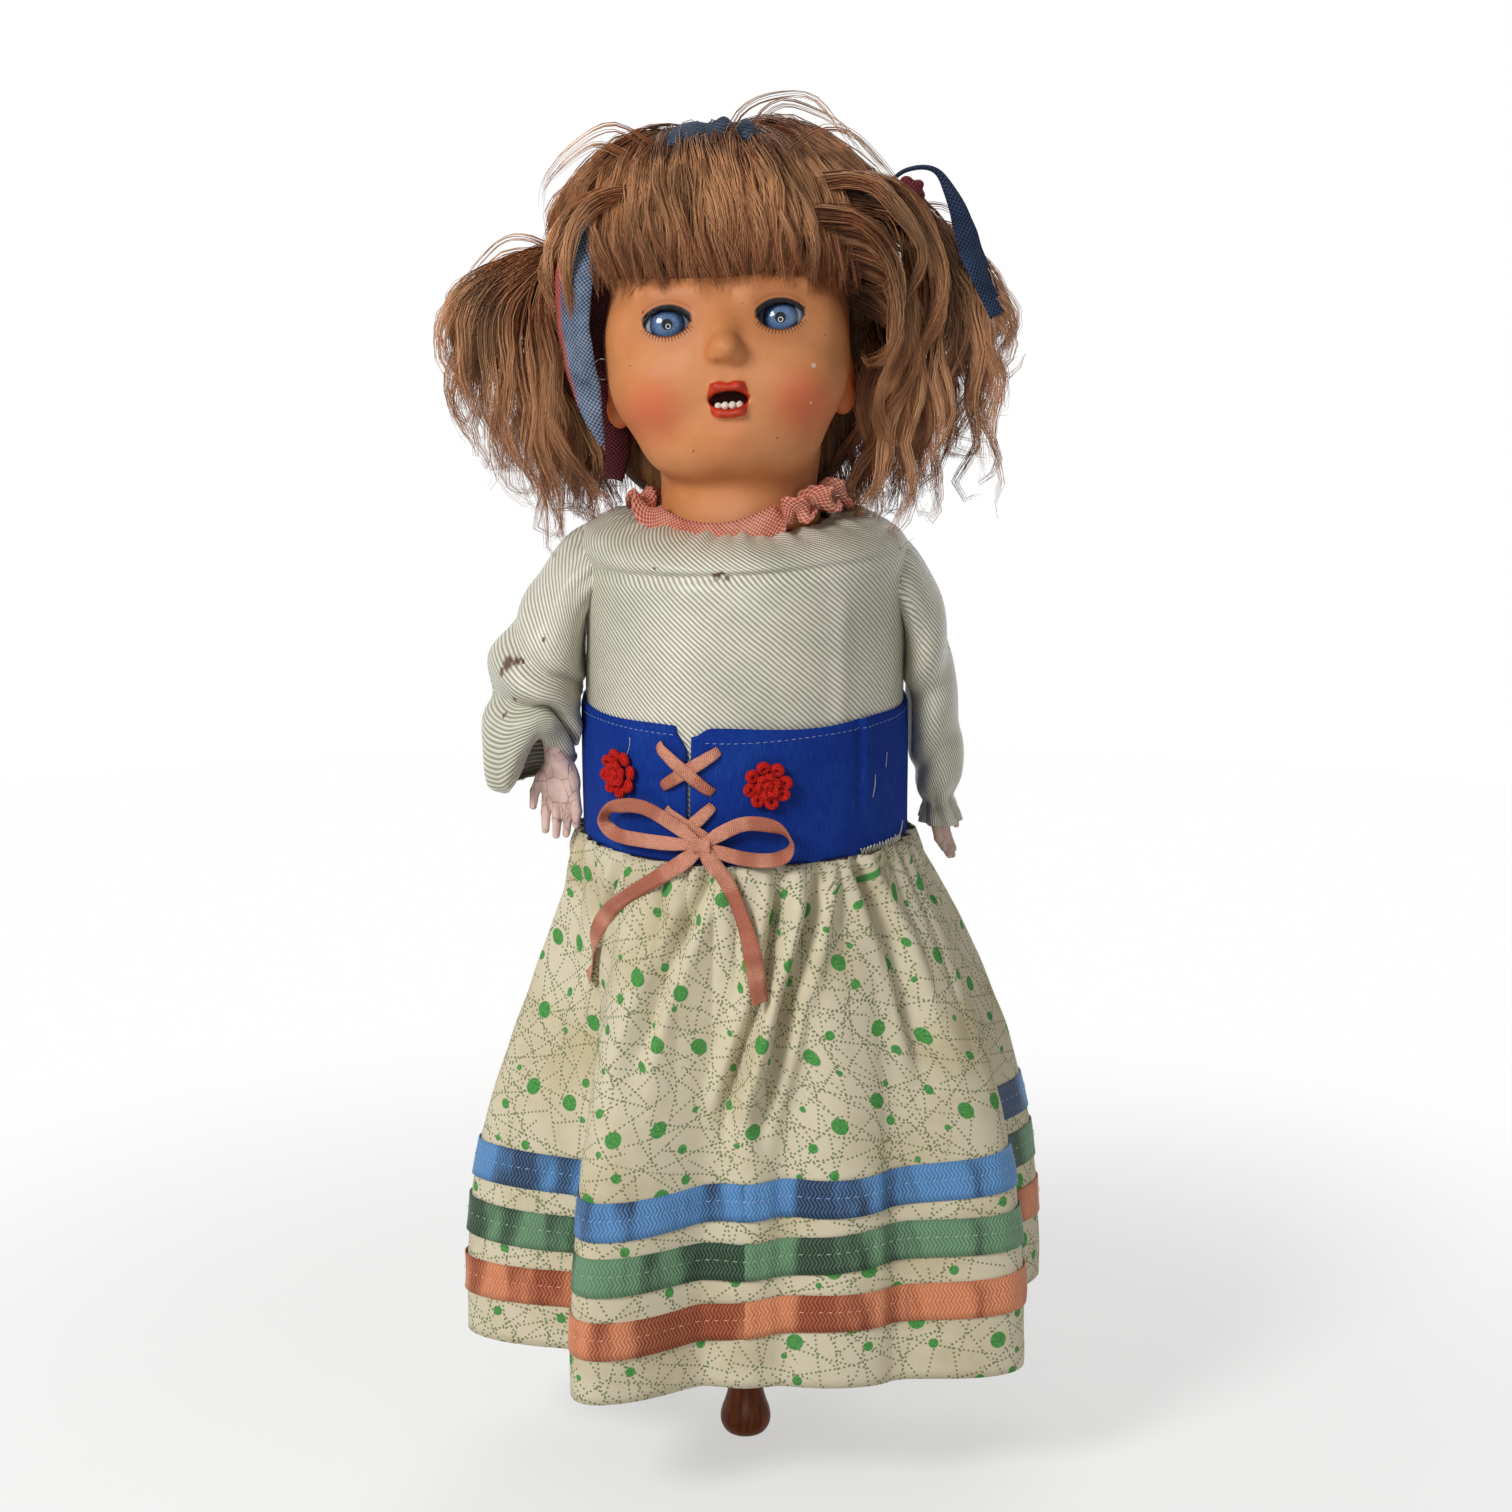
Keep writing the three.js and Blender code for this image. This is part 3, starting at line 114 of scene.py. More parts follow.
def ripples(x, y, seed, count=5, wave=1.0):
    # gentle unevenness: a few crossing waves with random directions and phases
    r = np.random.default_rng(seed)
    total = np.zeros(np.broadcast(x, y).shape)
    for _ in range(count):
        turn, phase, size = r.uniform(0, math.pi), r.uniform(0, math.tau), r.uniform(0.6, 1.6)
        total = total + np.sin((np.cos(turn) * x + np.sin(turn) * y) * math.tau * size / wave + phase)
    return total / count


def shown(name, data):
    # new object in the scene
    obj = bpy.data.objects.new(name, data)
    bpy.context.scene.collection.objects.link(obj)
    return obj


def dressed(obj, body, node=None):
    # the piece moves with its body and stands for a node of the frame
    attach(obj, body)
    if node:
        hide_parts(node)
    return obj


def piece(name, points, faces, finish, uv=None, cornerUv=None):
    mesh = bpy.data.meshes.new(name)
    corners = np.asarray(points, float).reshape(-1, 3) * mm
    mesh.from_pydata(corners.tolist(), [], np.asarray(faces).tolist())
    mesh.update()
    mesh.shade_smooth()
    if uv is not None:
        loops = np.zeros(len(mesh.loops), int)
        mesh.loops.foreach_get("vertex_index", loops)
        cornerUv = np.asarray(uv).reshape(-1, 2)[loops]
    if cornerUv is not None:
        flat = (np.asarray(cornerUv, float).reshape(-1, 2) * mm).astype(np.float32).ravel()
        mesh.uv_layers.new(name="cut").data.foreach_set("uv", flat)
    mesh.materials.append(finish)
    return shown(name, mesh)


def grid(name, points, finish, uv=None, closed=False, flip=False):
    # quads through rows and columns of points; a closed one joins its last column to its first,
    # and its uv then has one column more
    rows, cols = points.shape[:2]
    a, b = np.meshgrid(np.arange(rows - 1), np.arange(cols if closed else cols - 1), indexing="ij")
    a, b = a.ravel(), b.ravel()
    steps = [(0, 0), (0, 1), (1, 1), (1, 0)]
    if flip:
        steps.reverse()
    faces = np.stack([(a + i) * cols + (b + j) % cols for i, j in steps], -1)
    corners = None
    if uv is not None:
        corners = np.stack([uv[a + i, b + j] for i, j in steps], 1)
    return piece(name, points, faces, finish, cornerUv=corners)


def thickened(obj, thickness, offset=-1):
    wall = obj.modifiers.new("wall", "SOLIDIFY")
    wall.thickness = thickness * mm
    wall.offset = offset
    return obj


def lathe(name, outline, finish, sides=64):
    # revolve of radius and height pairs that run up the outside, closed at both ends on the axis
    outline = np.asarray(outline, float)
    turn = fullTurn(sides)
    r, z = outline[:, :1], outline[:, 1:]
    points = np.stack([r * np.cos(turn), r * np.sin(turn), z + 0 * turn], -1)
    uv = paired(np.linspace(0, 50, sides + 1)[None], runLength(outline)[:, None])
    return tidy(grid(name, points, finish, uv, closed=True))


def tidy(obj):
    # doubled points merged, faces turned outward
    bm = bmesh.new()
    bm.from_mesh(obj.data)
    bmesh.ops.remove_doubles(bm, verts=bm.verts, dist=1e-6)
    bmesh.ops.recalc_face_normals(bm, faces=bm.faces)
    bm.to_mesh(obj.data)
    bm.free()
    return obj


def netted(field, low, high, step):
    # closed surface where field(points) is 0, as quads with one point in each crossed cell
    axes = [np.arange(a, b + step, step) for a, b in zip(low, high)]
    shape = tuple(len(a) for a in axes)
    values = np.empty(shape, np.float32)
    for i, x in enumerate(axes[0]):
        y, z = np.meshgrid(axes[1], axes[2], indexing="ij")
        values[i] = field(np.stack([np.full_like(y, x), y, z], -1))
    inside = values < 0
    cells = tuple(n - 1 for n in shape)
    total = np.zeros(cells + (3,), np.float32)
    count = np.zeros(cells, np.float32)
    crossings = []
    for axis in range(3):
        first = tuple(slice(0, -1) if k == axis else slice(None) for k in range(3))
        second = tuple(slice(1, None) if k == axis else slice(None) for k in range(3))
        crossed = inside[first] != inside[second]
        v0, v1 = values[first], values[second]
        share = np.where(crossed, v0 / np.where(crossed, v0 - v1, 1), 0)
        index = np.indices(share.shape).astype(np.float32)
        index[axis] += share
        others = [k for k in range(3) if k != axis]
        for d in ((0, 0), (0, 1), (1, 0), (1, 1)):
            window = [slice(None)] * 3
            for k, shift in zip(others, d):
                window[k] = slice(shift, shift + cells[k])
            window = tuple(window)
            mask = crossed[window]
            count += mask
            for k in range(3):
                total[..., k] += np.where(mask, index[k][window], 0)
        crossings.append((crossed, inside[first]))
    used = count > 0
    number = np.full(cells, -1)
    number[used] = np.arange(int(used.sum()))
    points = total[used] / count[used][:, None] * step + np.array(low)
    faces = []
    for axis, (crossed, startInside) in enumerate(crossings):
        b, c = [(axis + 1) % 3, (axis + 2) % 3]
        place = np.argwhere(crossed)
        keep = np.all([(place[:, k] > 0) & (place[:, k] < shape[k] - 1) for k in (b, c)], axis=0)
        place = place[keep]
        corner = []
        for db, dc in ((1, 1), (0, 1), (0, 0), (1, 0)):
            cell = place.copy()
            cell[:, b] -= db
            cell[:, c] -= dc
            corner.append(number[tuple(cell.T)])
        quad = np.stack(corner, -1)
        out = startInside[tuple(place.T)]
        faces.append(np.where(out[:, None], quad, quad[:, ::-1]))
    return points, np.concatenate(faces)


def ellipsoid(p, at, half):
    q = (p - np.array(at)) / np.array(half)
    k0 = np.linalg.norm(q, axis=-1)
    k1 = np.linalg.norm(q / np.array(half), axis=-1)
    return k0 * (k0 - 1) / np.maximum(k1, 1e-6)


def capsule(p, a, b, ra, rb):
    a, b = np.array(a, float), np.array(b, float)
    t = np.clip(((p - a) @ (b - a)) / ((b - a) @ (b - a)), 0, 1)
    return np.linalg.norm(p - a - t[..., None] * (b - a), axis=-1) - (ra + (rb - ra) * t)


def merged(a, b, blend):
    h = np.maximum(blend - np.abs(a - b), 0) / blend
    return np.minimum(a, b) - h * h * blend / 4


def carved(a, b, blend):
    return -merged(-a, b, blend)


# helpers for finishes


class Value:
    # a socket in an expression; each operator adds its node
    def __init__(self, nodes, socket):
        self.nodes, self.socket = nodes, socket

    def math(self, how, *others):
        return self.nodes.node("ShaderNodeMath", {"operation": how}, self, *others)

    def __add__(self, other):
        return self.math("ADD", other)

    def __sub__(self, other):
        return self.math("SUBTRACT", other)

    def __rsub__(self, other):
        return self.nodes.node("ShaderNodeMath", {"operation": "SUBTRACT"}, other, self)

    def __mul__(self, other):
        return self.math("MULTIPLY", other)

    def __truediv__(self, other):
        return self.math("DIVIDE", other)

    __radd__ = __add__
    __rmul__ = __mul__

    def sin(self):
        return self.math("SINE")

    def abs(self):
        return self.math("ABSOLUTE")

    def step(self, low, high):
        ramp = {"interpolation_type": "SMOOTHSTEP"}
        return self.nodes.node("ShaderNodeMapRange", ramp, self, low, high)


class Nodes:
    def __init__(self, tree):
        self.tree = tree

    def node(self, kind, settings=None, *inputs, out=0, **named):
        made = self.tree.nodes.new(kind)
        for key, value in (settings or {}).items():
            setattr(made, key, value)
        sockets = [s for s in made.inputs if s.enabled]
        for socket, value in zip(sockets, inputs):
            self.feed(socket, value)
        for label, value in named.items():
            self.feed(next(s for s in sockets if s.name == label.replace("_", " ")), value)
        outputs = [s for s in made.outputs if s.enabled]
        return Value(self, made.outputs[out] if isinstance(out, str) else outputs[out])

    def feed(self, socket, value):
        if isinstance(value, Value):
            self.tree.links.new(value.socket, socket)
        elif value is not None:
            socket.default_value = value

    def place(self, source="Object"):
        return self.node("ShaderNodeTexCoord", None, out=source)

    def parts(self, vector):
        split = self.node("ShaderNodeSeparateXYZ", None, vector).socket.node
        return [Value(self, s) for s in split.outputs]

    def joined(self, x, y, z=0.0):
        return self.node("ShaderNodeCombineXYZ", None, x, y, z)

    def scaled(self, vector, by):
        return self.node("ShaderNodeVectorMath", {"operation": "MULTIPLY"}, vector, by)

    def noise(self, vector, scale, detail=2.0, roughness=0.5):
        return self.node("ShaderNodeTexNoise", None, Vector=vector, Scale=scale, Detail=detail,
                         Roughness=roughness)

    def mix(self, share, a, b):
        made = self.tree.nodes.new("ShaderNodeMix")
        made.data_type = "RGBA"
        for socket, value in zip((made.inputs[0], made.inputs[6], made.inputs[7]), (share, a, b)):
            self.feed(socket, value)
        return Value(self, made.outputs[2])


class Paint(Nodes):
    def __init__(self, name, **sockets):
        self.material = bpy.data.materials.new(name)
        self.material.use_nodes = True
        super().__init__(self.material.node_tree)
        self.shader = self.tree.nodes["Principled BSDF"]
        for socket, value in sockets.items():
            self.set(socket.replace("_", " "), value)

    def set(self, socket, value):
        self.feed(self.shader.inputs[socket], value)

    def done(self, colour, roughness, height, depth, strength=1.0):
        # last step of a finish; roughness None leaves the plain value
        self.set("Base Color", colour)
        self.set("Roughness", roughness)
        relief = self.node("ShaderNodeBump", None, Height=height, Distance=depth, Strength=strength)
        self.set("Normal", relief)
        return self.material


def distance(a, b):
    return (a * a + b * b).math("SQRT")


def strongest(values):
    found = values[0]
    for value in values[1:]:
        found = found.math("MAXIMUM", value)
    return found


def woven(u, v, pitch):
    # threads that cross over and under
    k = math.tau / pitch
    return (u * k).sin() * (v * k).sin()


def rgb(code):
    # written sRGB colour as linear values
    parts = [((code >> shift) & 255) / 255 for shift in (16, 8, 0)]
    return tuple(c / 12.92 if c <= 0.04045 else ((c + 0.055) / 1.055) ** 2.4 for c in parts) + (1.0,)


# camera, floor and light

view = {"target": (3, 0, 200.35), "distance": 900, "elevation": 13, "frameWidth": 415.8}
camera = shown("camera", bpy.data.cameras.new("camera"))
tilt = math.radians(view["elevation"])
away = Vector((0, -math.cos(tilt), math.sin(tilt)))
camera.location = (Vector(view["target"]) + away * view["distance"]) * mm
camera.rotation_euler = (math.pi / 2 - tilt, 0, 0)
camera.data.sensor_width = 36
camera.data.lens = 36 * view["distance"] / view["frameWidth"]
camera.data.clip_start = 0.01
bpy.context.scene.camera = camera
bpy.context.scene.view_settings.view_transform = "Standard"


def seenDirectly(nodes):
    rays = nodes.tree.nodes.new("ShaderNodeLightPath")
    kinds = ("Is Camera Ray", "Is Glossy Ray", "Is Transmission Ray")
    return strongest([Value(nodes, rays.outputs[kind]) for kind in kinds])


stageLook = {"rings": [0, 60, 150, 300, 600, 900], "drop": 0.3, "shadowFrom": 150, "shadowTo": 420,
             "ambient": 0.25}


def makeStage():
    floor = Paint("floor_paper", Roughness=0.9)
    floor.set("Base Color", rgb(0xF4F4F2))
    x, y, _ = floor.parts(floor.place())
    far = distance(x, y).step(stageLook["shadowFrom"] * mm, stageLook["shadowTo"] * mm)
    glow = floor.tree.nodes.new("ShaderNodeEmission")
    blend = floor.tree.nodes.new("ShaderNodeMixShader")
    grain = floor.noise(floor.place(), 60.0) * 0.02
    floor.feed(blend.inputs[0], (0.55 + 0.45 * far + grain - 0.02) * seenDirectly(floor))
    floor.tree.links.new(floor.shader.outputs[0], blend.inputs[1])
    floor.tree.links.new(glow.outputs[0], blend.inputs[2])
    floor.tree.links.new(blend.outputs[0], floor.tree.nodes["Material Output"].inputs[0])
    turn = fullTurn(96)
    radii = np.array(stageLook["rings"], float)[:, None]
    points = np.stack([radii * np.cos(turn), radii * np.sin(turn), 0 * radii * turn - stageLook["drop"]], -1)
    tidy(grid("floor", points, floor.material, closed=True))
    world = bpy.data.worlds.new("studio")
    world.use_nodes = True
    bpy.context.scene.world = world
    back = world.node_tree.nodes["Background"]
    back.inputs[0].default_value = (1, 1, 1, 1)
    sky = Nodes(world.node_tree)
    sky.feed(back.inputs[1], seenDirectly(sky) * (1 - stageLook["ambient"]) + stageLook["ambient"])


lampAim = (0, 0, 220)
lamps = [
    {"at": (-560, -700, 760), "size": 330, "watts": 7.6},
    {"at": (640, -620, 420), "size": 520, "watts": 0.45},
    {"at": (150, 700, 700), "size": 500, "watts": 2.2},
]
ringLamp = {"radius": 125, "width": 45, "distance": 880, "strength": 24.0}


def makeLight():
    for i, lamp in enumerate(lamps):
        data = bpy.data.lights.new(f"softbox{i}", "AREA")
        data.shape = "DISK"
        data.size = lamp["size"] * mm
        data.energy = lamp["watts"]
        obj = shown(f"softbox{i}", data)
        obj.location = Vector(lamp["at"]) * mm
        obj.rotation_euler = (Vector(lampAim) * mm - obj.location).to_track_quat("-Z", "Y").to_euler()
    # ring light round the camera: it gives the round glints in the eyes
    turn = fullTurn(64)
    rings = []
    for radius in (ringLamp["radius"], ringLamp["radius"] + ringLamp["width"]):
        rings.append(np.stack([radius * np.cos(turn), radius * np.sin(turn), 0 * turn], -1))
    spin = np.array(camera.rotation_euler.to_matrix())
    middle = np.array(view["target"]) + np.array(away) * ringLamp["distance"]
    glow = Paint("ring_glow", Base_Color=(0, 0, 0, 1), Emission_Color=(1, 1, 1, 1),
                 Emission_Strength=ringLamp["strength"])
    ring = grid("ring_lamp", np.stack(rings) @ spin.T + middle, glow.material, closed=True)
    ring.visible_camera = False
    ring.visible_diffuse = False


makeStage()
makeLight()
print("camera, floor and light set")

# finishes of cloth

# dots as across, up, radius in their cell; lines of tiny dots as direction, gap
fabric = {"ribPitch": 1.15, "ribTurn": 41, "fineThread": 0.00055, "linenPitch": 0.0012,
          "cottonPitch": 0.00036, "dotCell": 20.5,
          "dots": [(-3.6, 1.5, 2.35), (3.9, -4.9, 1.4), (2.6, 5.7, 0.9)],
          "tinyDot": 1.3, "lineLength": 17.0,
          "lines": [(14, 7.5), (52, 6.5), (103, 8.0), (147, 6.5), (76, 9.0), (172, 9.5), (126, 10.0)]}


def spotted(p, colour, spots, u, v, tone):
    # worn or stained places, each as across, up, radius
    ragged = p.noise(p.place("UV"), 900.0, 3.0) * 0.0022 - 0.0011
    for across, up, radius in spots:
        away = distance(u - across * mm, v - up * mm) + ragged
        colour = p.mix(1 - away.step(radius * 0.35 * mm, radius * mm), colour, tone)
    return colour


def twill(name, turn=fabric["ribTurn"], spots=()):
    p = Paint(name, Roughness=0.5, Coat_Weight=0.35, Coat_Roughness=0.33)
    u, v, _ = p.parts(p.place("UV"))
    sway = p.noise(p.place("UV"), 70.0, 2.0) * 0.0012
    s, c = math.sin(math.radians(turn)), math.cos(math.radians(turn))
    rib = ((u * s + v * c + sway) * (math.tau / (fabric["ribPitch"] * mm))).sin()
    thread = ((u * c - v * s) * (math.tau / fabric["fineThread"])).sin()
    broken = p.noise(p.place("UV"), 260.0, 3.0)
    shade = p.noise(p.place("UV"), 32.0, 3.0)
    light = p.mix(shade.step(0.35, 0.68), rgb(0xECE6D6), rgb(0xD6D2BE))
    dark = p.mix(shade.step(0.3, 0.7), rgb(0xA09A84), rgb(0x8C8E78))
    colour = p.mix((rib + broken * 0.7 - 0.35).step(-0.75, 0.35), dark, light)
    colour = spotted(p, colour, spots, u, v, rgb(0x5B3B22))
    return p.done(colour, 0.48 - 0.2 * rib.step(-0.2, 0.8), rib + thread * 0.25, 0.00016, 0.7)


def cotton(name, code, worn, pitch):
    p = Paint(name, Roughness=0.8, Specular_IOR_Level=0.12)
    u, v, _ = p.parts(p.place("UV"))
    over = woven(u, v, pitch * mm)
    cloud = p.noise(p.place("UV"), 45.0, 4.0, 0.6)
    slub = p.noise(p.scaled(p.place("UV"), (3000.0, 260.0, 1.0)), 1.0, 2.0)
    share = cloud.step(0.35, 0.8) * 0.5 + over * 0.3 + (slub - 0.5) * 1.3
    return p.done(p.mix(share, rgb(code), rgb(worn)), 0.72 + cloud * 0.2, over + slub * 1.2, 0.00009, 0.8)


def satin(name, light, dark, weave=1.0):
    # ribbon: uv runs along it and across it, with a herringbone weave and a broken sheen painted into its
    # colour as light and dark patches
    p = Paint(name, Roughness=0.38, Specular_IOR_Level=0.35)
    u, v, _ = p.parts(p.place("UV"))
    zig = (v * (1 / (0.0035 * weave))).math("PINGPONG", 0.5)
    twillLine = ((u + zig * 0.0022 * weave) * (math.tau / (0.0011 * weave))).sin()
    pick = ((u - zig * 0.0011) * (math.tau / fabric["fineThread"])).sin() * (v * (math.tau / 0.0007)).sin()
    sheenBands = p.noise(p.joined(u * 85.0, v * 22.0, 0.0), 1.0, 3.0, 0.5)
    slow = p.noise(p.joined(u * 24.0, v * 6.0, 2.0), 1.0, 1.0)
    share = (sheenBands * 0.5 + slow * 0.7).step(0.55, 0.66) * 0.72 + 0.14 + twillLine * 0.22 + pick * 0.16
    colour = p.mix(share, rgb(light), rgb(dark))
    return p.done(colour, 0.34 + sheenBands * 0.25, twillLine + pick * 0.6, 0.00014, 0.8)


def linen(name, light, dark, edge=None):
    # edge: which side of the ribbon has a border, and the border's colour
    p = Paint(name, Roughness=0.7, Specular_IOR_Level=0.15)
    u, v, _ = p.parts(p.place("UV"))
    over = woven(u, v, fabric["linenPitch"])
    slow = p.noise(p.place("UV"), 110.0, 3.0, 0.6)
    fine = p.noise(p.scaled(p.place("UV"), (400.0, 3000.0, 1.0)), 1.0, 2.0)
    colour = p.mix((slow * 0.9 + over * 0.34 + fine * 0.3).step(0.1, 1.0), rgb(light), rgb(dark))
    if edge:
        colour = p.mix((v * edge[0]).step(0.0026, 0.0042) * 0.85, colour, rgb(edge[1]))
    return p.done(colour, 0.6 + slow * 0.25, over + fine, 0.00024, 0.9)


def dotted(name):
    p = Paint(name, Roughness=0.85, Specular_IOR_Level=0.2)
    place = p.place("UV")
    u, v, _ = p.parts(place)
    chance = {"noise_dimensions": "2D"}
    cell = fabric["dotCell"] * mm
    row = (v / cell).math("FLOOR")
    shifted = u / cell + row.math("MODULO", 2.0) * 0.5
    col = shifted.math("FLOOR")
    r1, r2, r3 = p.parts(p.node("ShaderNodeTexWhiteNoise", chance, p.joined(col, row), out="Color"))
    x = (shifted - col - 0.5) * fabric["dotCell"] * (r1 - 0.5).math("SIGN")
    y = (v / cell - row - 0.5) * fabric["dotCell"] * (r2 - 0.5).math("SIGN")
    large = []
    for (atX, atY, size), sway in zip(fabric["dots"], (r3, r2, r1)):
        away = distance(x - atX - (sway - 0.5) * 6.5, y - atY - (r3 - 0.5) * 6.0)
        large.append(1 - away.step(size - 0.16, size + 0.12))
    bent = p.noise(place, 22.0, 1.0) * 4.0
    tiny = []
    for turn, gap in fabric["lines"]:
        s, c = math.sin(math.radians(turn)) * 1000, math.cos(math.radians(turn)) * 1000
        over, run = u * c + v * s + bent, (v * c - u * s) / fabric["tinyDot"]
        line = (over / gap).math("FLOOR")
        part = (run / fabric["lineLength"] + line * 0.37).math("FLOOR")
        luck = p.node("ShaderNodeTexWhiteNoise", chance, p.joined(line + turn, part), out="Color")
        drawn, shift, _ = p.parts(luck)
        off = over - (line + 0.15 + 0.7 * shift) * gap
        step = (run - run.math("ROUND")) * fabric["tinyDot"]
        tiny.append((1 - distance(off, step).step(0.2, 0.42)) * drawn.step(0.34, 0.35))
    stain = p.noise(place, 28.0, 4.0, 0.6)
    ground = p.mix(stain.step(0.42, 0.75), rgb(0xE3D8BC), rgb(0xCDBD98))
    ink = p.noise(place, 1500.0, 2.0)
    printed = p.mix(ink.step(0.35, 0.75), rgb(0x2F8A38), rgb(0x5DAE57))
    colour = p.mix(strongest(tiny) * 0.85, ground, rgb(0x5A7034))
    colour = p.mix(strongest(large) * 0.95, colour, printed)
    weave = woven(u, v, fabric["cottonPitch"]) + p.noise(place, 420.0, 3.0) * 1.5
    return p.done(colour, None, weave, 0.00007, 0.7)


def polar(angle, r, z):
    # angle in degrees from the front, growing towards the viewer's right
    a = np.radians(angle)
    return np.stack(np.broadcast_arrays(r * np.sin(a), -r * np.cos(a), z), -1)


def strip(name, path, across, finish, rows=7, wall=0.35, bulge=0.0):
    # ribbon along a path; across gives half its width as a vector at each point
    path, across = np.asarray(path, float), np.asarray(across, float)
    share = np.linspace(-1, 1, rows)
    tangent = unit(np.gradient(path, axis=0))
    face = unit(np.cross(tangent, across))
    points = path[None] + share[:, None, None] * across[None]
    points = points + bulge * (1 - share[:, None, None] ** 2) * face[None]
    width = np.linalg.norm(across, axis=1)
    uv = paired(runLength(path)[None], share[:, None] * width[None])
    return thickened(grid(name, points, finish, uv), wall, 0)


def tube(name, path, radius, finish, sides=8):
    path = np.asarray(path, float)
    radius = np.broadcast_to(radius, len(path))
    tangent = unit(np.gradient(path, axis=0))
    side = unit(np.cross(tangent[0], [0.31, 0.2, 0.93]))
    frames = []
    for t in tangent:
        side = unit(side - t * (side @ t))
        frames.append((side, np.cross(t, side)))
    turn = fullTurn(sides)
    a, b = (np.array([f[k] for f in frames]) for k in (0, 1))
    ring = a[:, None] * np.cos(turn)[None, :, None] + b[:, None] * np.sin(turn)[None, :, None]
    points = path[:, None] + ring * radius[:, None, None]
    capped = np.concatenate([path[:1, None].repeat(sides, 1), points, path[-1:, None].repeat(sides, 1)])
    length = runLength(path)
    length = np.concatenate([length[:1], length, length[-1:]])
    uv = paired(np.linspace(0, 1, sides + 1)[None] * 6.28 * radius.mean(), length[:, None])
    return tidy(grid(name, capped, finish, uv, closed=True))


# helpers for Geometry Nodes, and stitches as dashes along a path


def nodeTree(name, sockets):
    # new tree, its nodes, and what it is given by name
    tree = bpy.data.node_groups.new(name, "GeometryNodeTree")
    for label, kind in {"Geometry": "Geometry", **sockets}.items():
        tree.interface.new_socket(label, in_out="INPUT", socket_type="NodeSocket" + kind)
    tree.interface.new_socket("Geometry", in_out="OUTPUT", socket_type="NodeSocketGeometry")
    nodes = Nodes(tree)
    source = tree.nodes.new("NodeGroupInput")
    given = {label: Value(nodes, source.outputs[label]) for label in ("Geometry", *sockets)}
    return tree, nodes, given


def treeEnd(nodes, shape, finish):
    soft = nodes.node("GeometryNodeSetShadeSmooth", None, Geometry=shape)
    painted = nodes.node("GeometryNodeSetMaterial", None, Geometry=soft, Material=finish)
    nodes.feed(nodes.tree.nodes.new("NodeGroupOutput").inputs[0], painted)


def stitchTree():
    tree, n, given = nodeTree("stitch_run", {"Pitch": "Float", "Size": "Vector", "Lean": "Float",
                                             "Thread": "Material"})
    run = n.node("GeometryNodeResampleCurve", {"mode": "LENGTH"}, Curve=given["Geometry"],
                 Length=given["Pitch"])
    points = n.node("GeometryNodeCurveToPoints", {"mode": "EVALUATED"}, Curve=run, out="Points")
    facing = Value(n, points.socket.node.outputs["Rotation"])
    dash = n.node("GeometryNodeMeshIcoSphere", None, Radius=0.5, Subdivisions=2)
    rough = n.node("FunctionNodeRandomValue", {"data_type": "FLOAT"}, Min=-0.12, Max=0.12, Seed=3)
    spin = n.node("FunctionNodeAxisAngleToRotation", None, Axis=(1.0, 0.0, 0.0), Angle=given["Lean"] + rough)
    turned = n.node("FunctionNodeRotateRotation", {"rotation_space": "LOCAL"}, Rotation=facing,
                    Rotate_By=spin)
    placed = n.node("GeometryNodeInstanceOnPoints", None, Points=points, Instance=dash, Rotation=turned,
                    Scale=given["Size"])
    treeEnd(n, n.node("GeometryNodeRealizeInstances", None, Geometry=placed), given["Thread"])
    return tree


def curveObject(name, paths, radii=None):
    data = bpy.data.curves.new(name, "CURVE")
    data.dimensions = "3D"
    for k, path in enumerate(paths):
        spline = data.splines.new("POLY")
        spline.points.add(len(path) - 1)
        flat = np.concatenate([np.asarray(path, float) * mm, np.ones((len(path), 1))], 1)
        spline.points.foreach_set("co", flat.astype(np.float32).ravel())
        if radii is not None:
            spline.points.foreach_set("radius", np.asarray(radii[k], np.float32))
    return shown(name, data)


def grown(obj, tree, values, name, finish):
    # run a node tree on an object and keep its result as a plain mesh
    run = obj.modifiers.new("run", "NODES")
    run.node_group = tree
    for item in tree.interface.items_tree:
        if item.in_out == "INPUT" and item.name in values:
            run[item.identifier] = values[item.name]
    evaluated = obj.evaluated_get(bpy.context.evaluated_depsgraph_get())
    mesh = bpy.data.meshes.new_from_object(evaluated)
    mesh.name = name
    made = shown(name, mesh)
    if not mesh.materials:
        mesh.materials.append(finish)
    spent = obj.data
    bpy.data.objects.remove(obj)
    bpy.data.curves.remove(spent)
    return made


stitchRun = stitchTree()


def stitched(name, paths, pitch, size, finish, lean=0.0):
    run = curveObject(name + "_run", paths)
    values = {"Pitch": pitch * mm, "Size": tuple(s * mm for s in size), "Lean": lean, "Thread": finish}
    return grown(run, stitchRun, values, name, finish)


def threadFinish(name, code, dark):
    p = Paint(name, Roughness=0.7)
    fuzz = p.noise(p.place(), 1800.0, 3.0)
    return p.done(p.mix(fuzz.step(0.3, 0.7), rgb(code), rgb(dark)), None, fuzz, 0.00008)


whiteThread = threadFinish("white_thread", 0xE9E4D6, 0xBDB49E)

# skirt with its three ribbons

